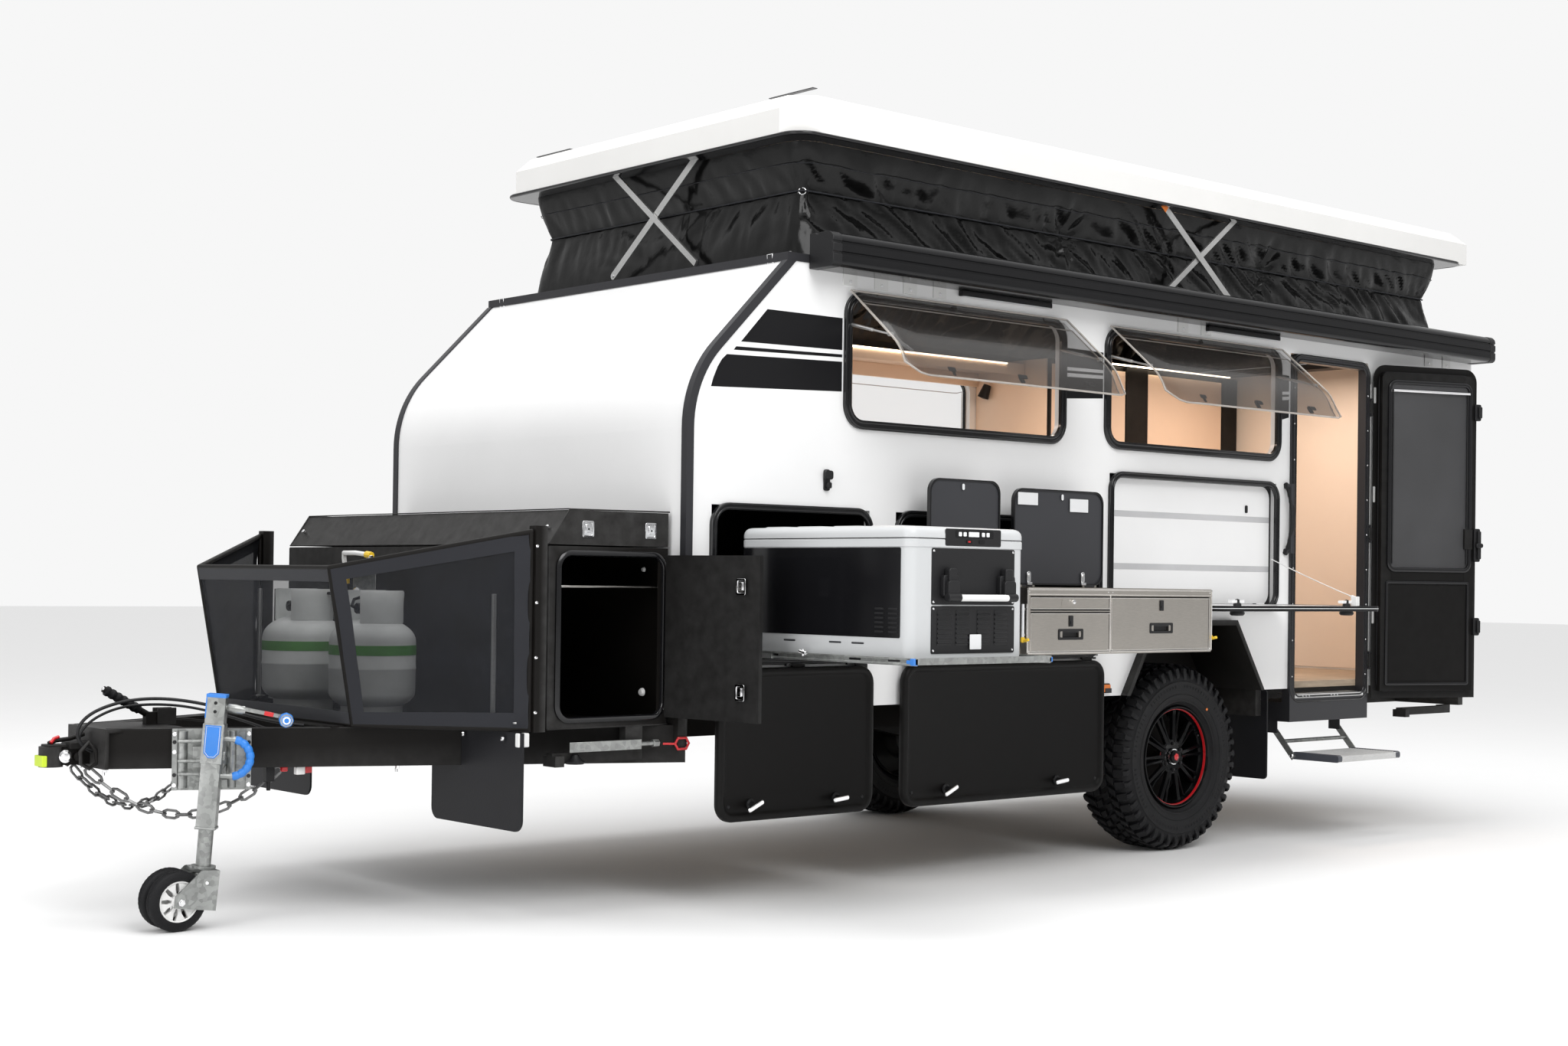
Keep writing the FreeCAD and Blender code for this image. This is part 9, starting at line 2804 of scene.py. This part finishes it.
@dataclass
class BodyFittings(Assembly):
    """Wall keeper, marker lamps, tail lamps, flap rivets, service hatches and the stabiliser's drive."""

    wall: float = WALL_Y
    rear: float = BODY_REAR

    def build(self) -> None:
        """Fit the small parts round the body."""
        self._wall_latch()
        self._lamps()
        self._tail()
        self._flap_rivets()
        self._stabiliser()
        self._off_side()

    def _wall_latch(self) -> None:
        """Fit the hatch's keeper on the kerb wall."""
        keep = Stock().pad((0.636, 1.474, 0.664, 1.552), 0.008, 4, -self.wall, -0.008)
        keep.pad((0.630, 1.515, 0.670, 1.548), 0.010, 4, -self.wall - 0.008, -0.012)
        keep.pad((0.641, 1.482, 0.659, 1.505), 0.006, 4, -self.wall - 0.008, -0.016)
        self.fit(keep, "wall_keeper", PLASTIC, bevel=0.002)

    def _lamps(self) -> None:
        """Fit amber markers on both walls."""
        amber, bases = Stock(), Stock()
        for side in SIDES:
            y = side * self.wall
            for x in (2.226, 4.760):
                bases.pad((x - 0.032, 0.692, x + 0.032, 0.732), 0.006, 3, y, side * 0.004)
                amber.pad((x - 0.028, 0.696, x + 0.028, 0.728), 0.005, 3, y + side * 0.004, side * 0.007)
        self.fit(bases, "marker_bases", PLASTIC, bevel=0.001)
        self.fit(amber, "marker_lenses", ORANGE, bevel=0.002)

    def _tail(self) -> None:
        """Fit tail lamps, a bare plate holder and a high lamp on the rear wall."""
        lenses, ambers, bases = Stock(), Stock(), Stock()
        for side in SIDES:
            y = side * 0.820
            bases.end_pad((y - 0.105, 0.820, y + 0.105, 1.010), 0.020, 5, self.rear, 0.0018)
            for stock, shift in ((lenses, -0.048), (ambers, 0.048)):
                stock.lathe([(0.040, 0.0), (0.040, 0.0012), (0.030, 0.0020), (0.0001, 0.0022)],
                            at(self.rear + 0.0016, y + shift, 0.915), X_AXIS, 32)
        for x in range(3):
            lenses.end_pad((-0.10 + x * 0.075, 2.215, -0.05 + x * 0.075, 2.230), 0.005, 3, self.rear, 0.0030)
        bases.end_pad((-0.19, 0.78, 0.19, 0.90), 0.012, 4, self.rear, 0.0020)
        for y in (-0.30, 0.30):
            bases.end_pad((y - 0.030, 0.700, y + 0.030, 0.860), 0.008, 3, self.rear, 0.0036)
        self.fit(bases, "tail_bases", PLASTIC, bevel=0.0006)
        self.fit(lenses, "tail_lenses", TAIL_LENS, angle=40)
        self.fit(ambers, "tail_indicators", ORANGE, angle=40)

    def _flap_rivets(self) -> None:
        """Rivet the mudflaps behind the wheels."""
        rivets = Stock()
        for side in SIDES:
            for y in (0.760, 0.940):
                for x, way in ((3.3445, FORE), (3.3535, X_AXIS)):
                    rivets.lathe([(0.0001, 0.004), (0.005, 0.0035), (0.0075, 0.0)], at(x, side * y, 0.635), way, 12)
        self.fit(rivets, "flap_rivets", WHITE_PLASTIC, slot="flap_rubber")

    def _stabiliser(self) -> None:
        """Fit the front leg's zinc channel, drive nut, foot and red ring."""
        zinc = Stock()
        for side in SIDES:
            y0, y1 = sorted((side * 0.921, side * 0.925))
            zinc.block((-0.440, y0, 0.558), (-0.140, y1, 0.592))
            zinc.bar(at(-0.140, side * 0.912, 0.575), at(-0.070, side * 0.912, 0.575), 0.008, 12)
            zinc.bar(at(-0.085, side * 0.912, 0.575), at(-0.060, side * 0.912, 0.575), 0.014, 6)
        self.fit(zinc, "stabiliser_drive", ZINC, bevel=0.001, slot="chassis_paint")
        red, foot = Stock(), Stock()
        for side in SIDES:
            loop = ((-0.030, 0.0), (-0.018, 0.019), (0.018, 0.019), (0.030, 0.0), (0.018, -0.019), (-0.018, -0.019))
            red.tube([at(0.012 + dx, side * 0.955, 0.573 + dz) for dx, dz in loop], 0.0048, 8, True)
            red.bar(at(-0.020, side * 0.955, 0.573), at(-0.052, side * 0.930, 0.573), 0.004, 8)
            foot.lathe([(0.001, -0.003), (0.030, -0.002), (0.036, 0.006), (0.020, 0.014), (0.012, 0.030)],
                       at(-0.405, side * 0.905, 0.520), Z_AXIS, 20)
        self.fit(red, "stabiliser_rings", RED, angle=70, slot="chassis_paint")
        self.fit(foot, "stabiliser_feet", PLASTIC, angle=40, slot="chassis_paint")

    def _off_side(self) -> None:
        """Fit service hatches and inlets on the off wall."""
        frames, caps = Stock(), Stock()
        y = self.wall
        for bounds in ((0.55, 0.92, 1.25, 1.42), (3.62, 0.80, 4.10, 1.12), (4.30, 0.80, 4.62, 1.12)):
            rings = rolled(bounds, 0.05, 6, [(0.0, 0.0), (0.002, 0.008), (0.016, 0.010), (0.020, 0.004)], 0.0)
            frames.skin([[at(a, y + rise, b) for a, b in outline] for outline, rise in rings])
        for x, z in ((4.40, 1.34), (4.56, 1.34), (3.80, 1.30)):
            caps.lathe([(0.040, 0.0), (0.040, 0.010), (0.030, 0.016), (0.0001, 0.017)], at(x, y, z), Y_AXIS, 28)
        self.fit(frames, "service_hatches", SATIN, angle=40, slot="black_panel")
        self.fit(caps, "service_inlets", PLASTIC, angle=40)


@dataclass
class EntryStep(Assembly):
    """Entry step's ribbed tread, end caps and pins."""

    slot = "aluminium"
    body = "step_tread"
    x0: float = 3.577
    x1: float = 4.063
    front: float = -1.204
    back: float = -0.949
    top: float = 0.384
    low: float = 0.356

    def build(self) -> None:
        """Dress the step."""
        ribs = Stock()
        count = 17
        for k in range(count):
            y = self.front + 0.014 + (self.back - self.front - 0.028) * k / (count - 1)
            ribs.skin([[at(x, y + dy, self.top + dz) for dy, dz in ((-0.004, -0.001), (0.004, -0.001), (0.002, 0.0022),
                                                                    (-0.002, 0.0022))]
                       for x in (self.x0 + 0.030, self.x1 - 0.030)])
        self.fit(ribs, "step_tread_ribs", ALUMINIUM)
        caps = Stock()
        for x0, x1 in ((self.x0 - 0.004, self.x0 + 0.026), (self.x1 - 0.026, self.x1 + 0.004)):
            outline = rounded(self.front - 0.003, self.low - 0.002, self.back + 0.001, self.top + 0.003, 0.012, 5)
            caps.plate(outline, on_end(x0), (x1 - x0, 0, 0))
        self.fit(caps, "step_tread_caps", Finish("slate_moulding", (0.07, 0.075, 0.09), rough=0.5, bump=0.03),
                 bevel=0.002)
        pins = Stock()
        for x, way in ((3.566, FORE), (4.074, X_AXIS)):
            pins.studs([(x, -0.850, 0.495), (x, -0.958, 0.370)], [(0.0001, 0.006), (0.007, 0.005), (0.010, 0.001),
                                                                  (0.010, -0.003)], way, 14)
        self.fit(pins, "step_pins", CHROME, body="step_arms", slot="zinc")


def main() -> None:
    """Build the set, dress the frame and add every sub-assembly."""
    logging.basicConfig(level=logging.INFO, format="%(name)s: %(message)s")
    Studio().build()
    Drawbar().build()
    dress_frame()
    Livery().build()
    TentSkirt().build()
    Awning().build()
    Windows().build()
    for side in SIDES:
        RoadWheel(side=side).build()
    Jockey().build()
    FrontBox().build()
    StoneGuard().build()
    GasBottles().build()
    SideHatches().build()
    TableLeaf().build()
    Fridge().build()
    Kitchen().build()
    EntryDoor().build()
    Interior().build()
    RoofTrim().build()
    LiftBars().build()
    BodyFittings().build()
    EntryStep().build()


if __name__ == "__main__":
    main()
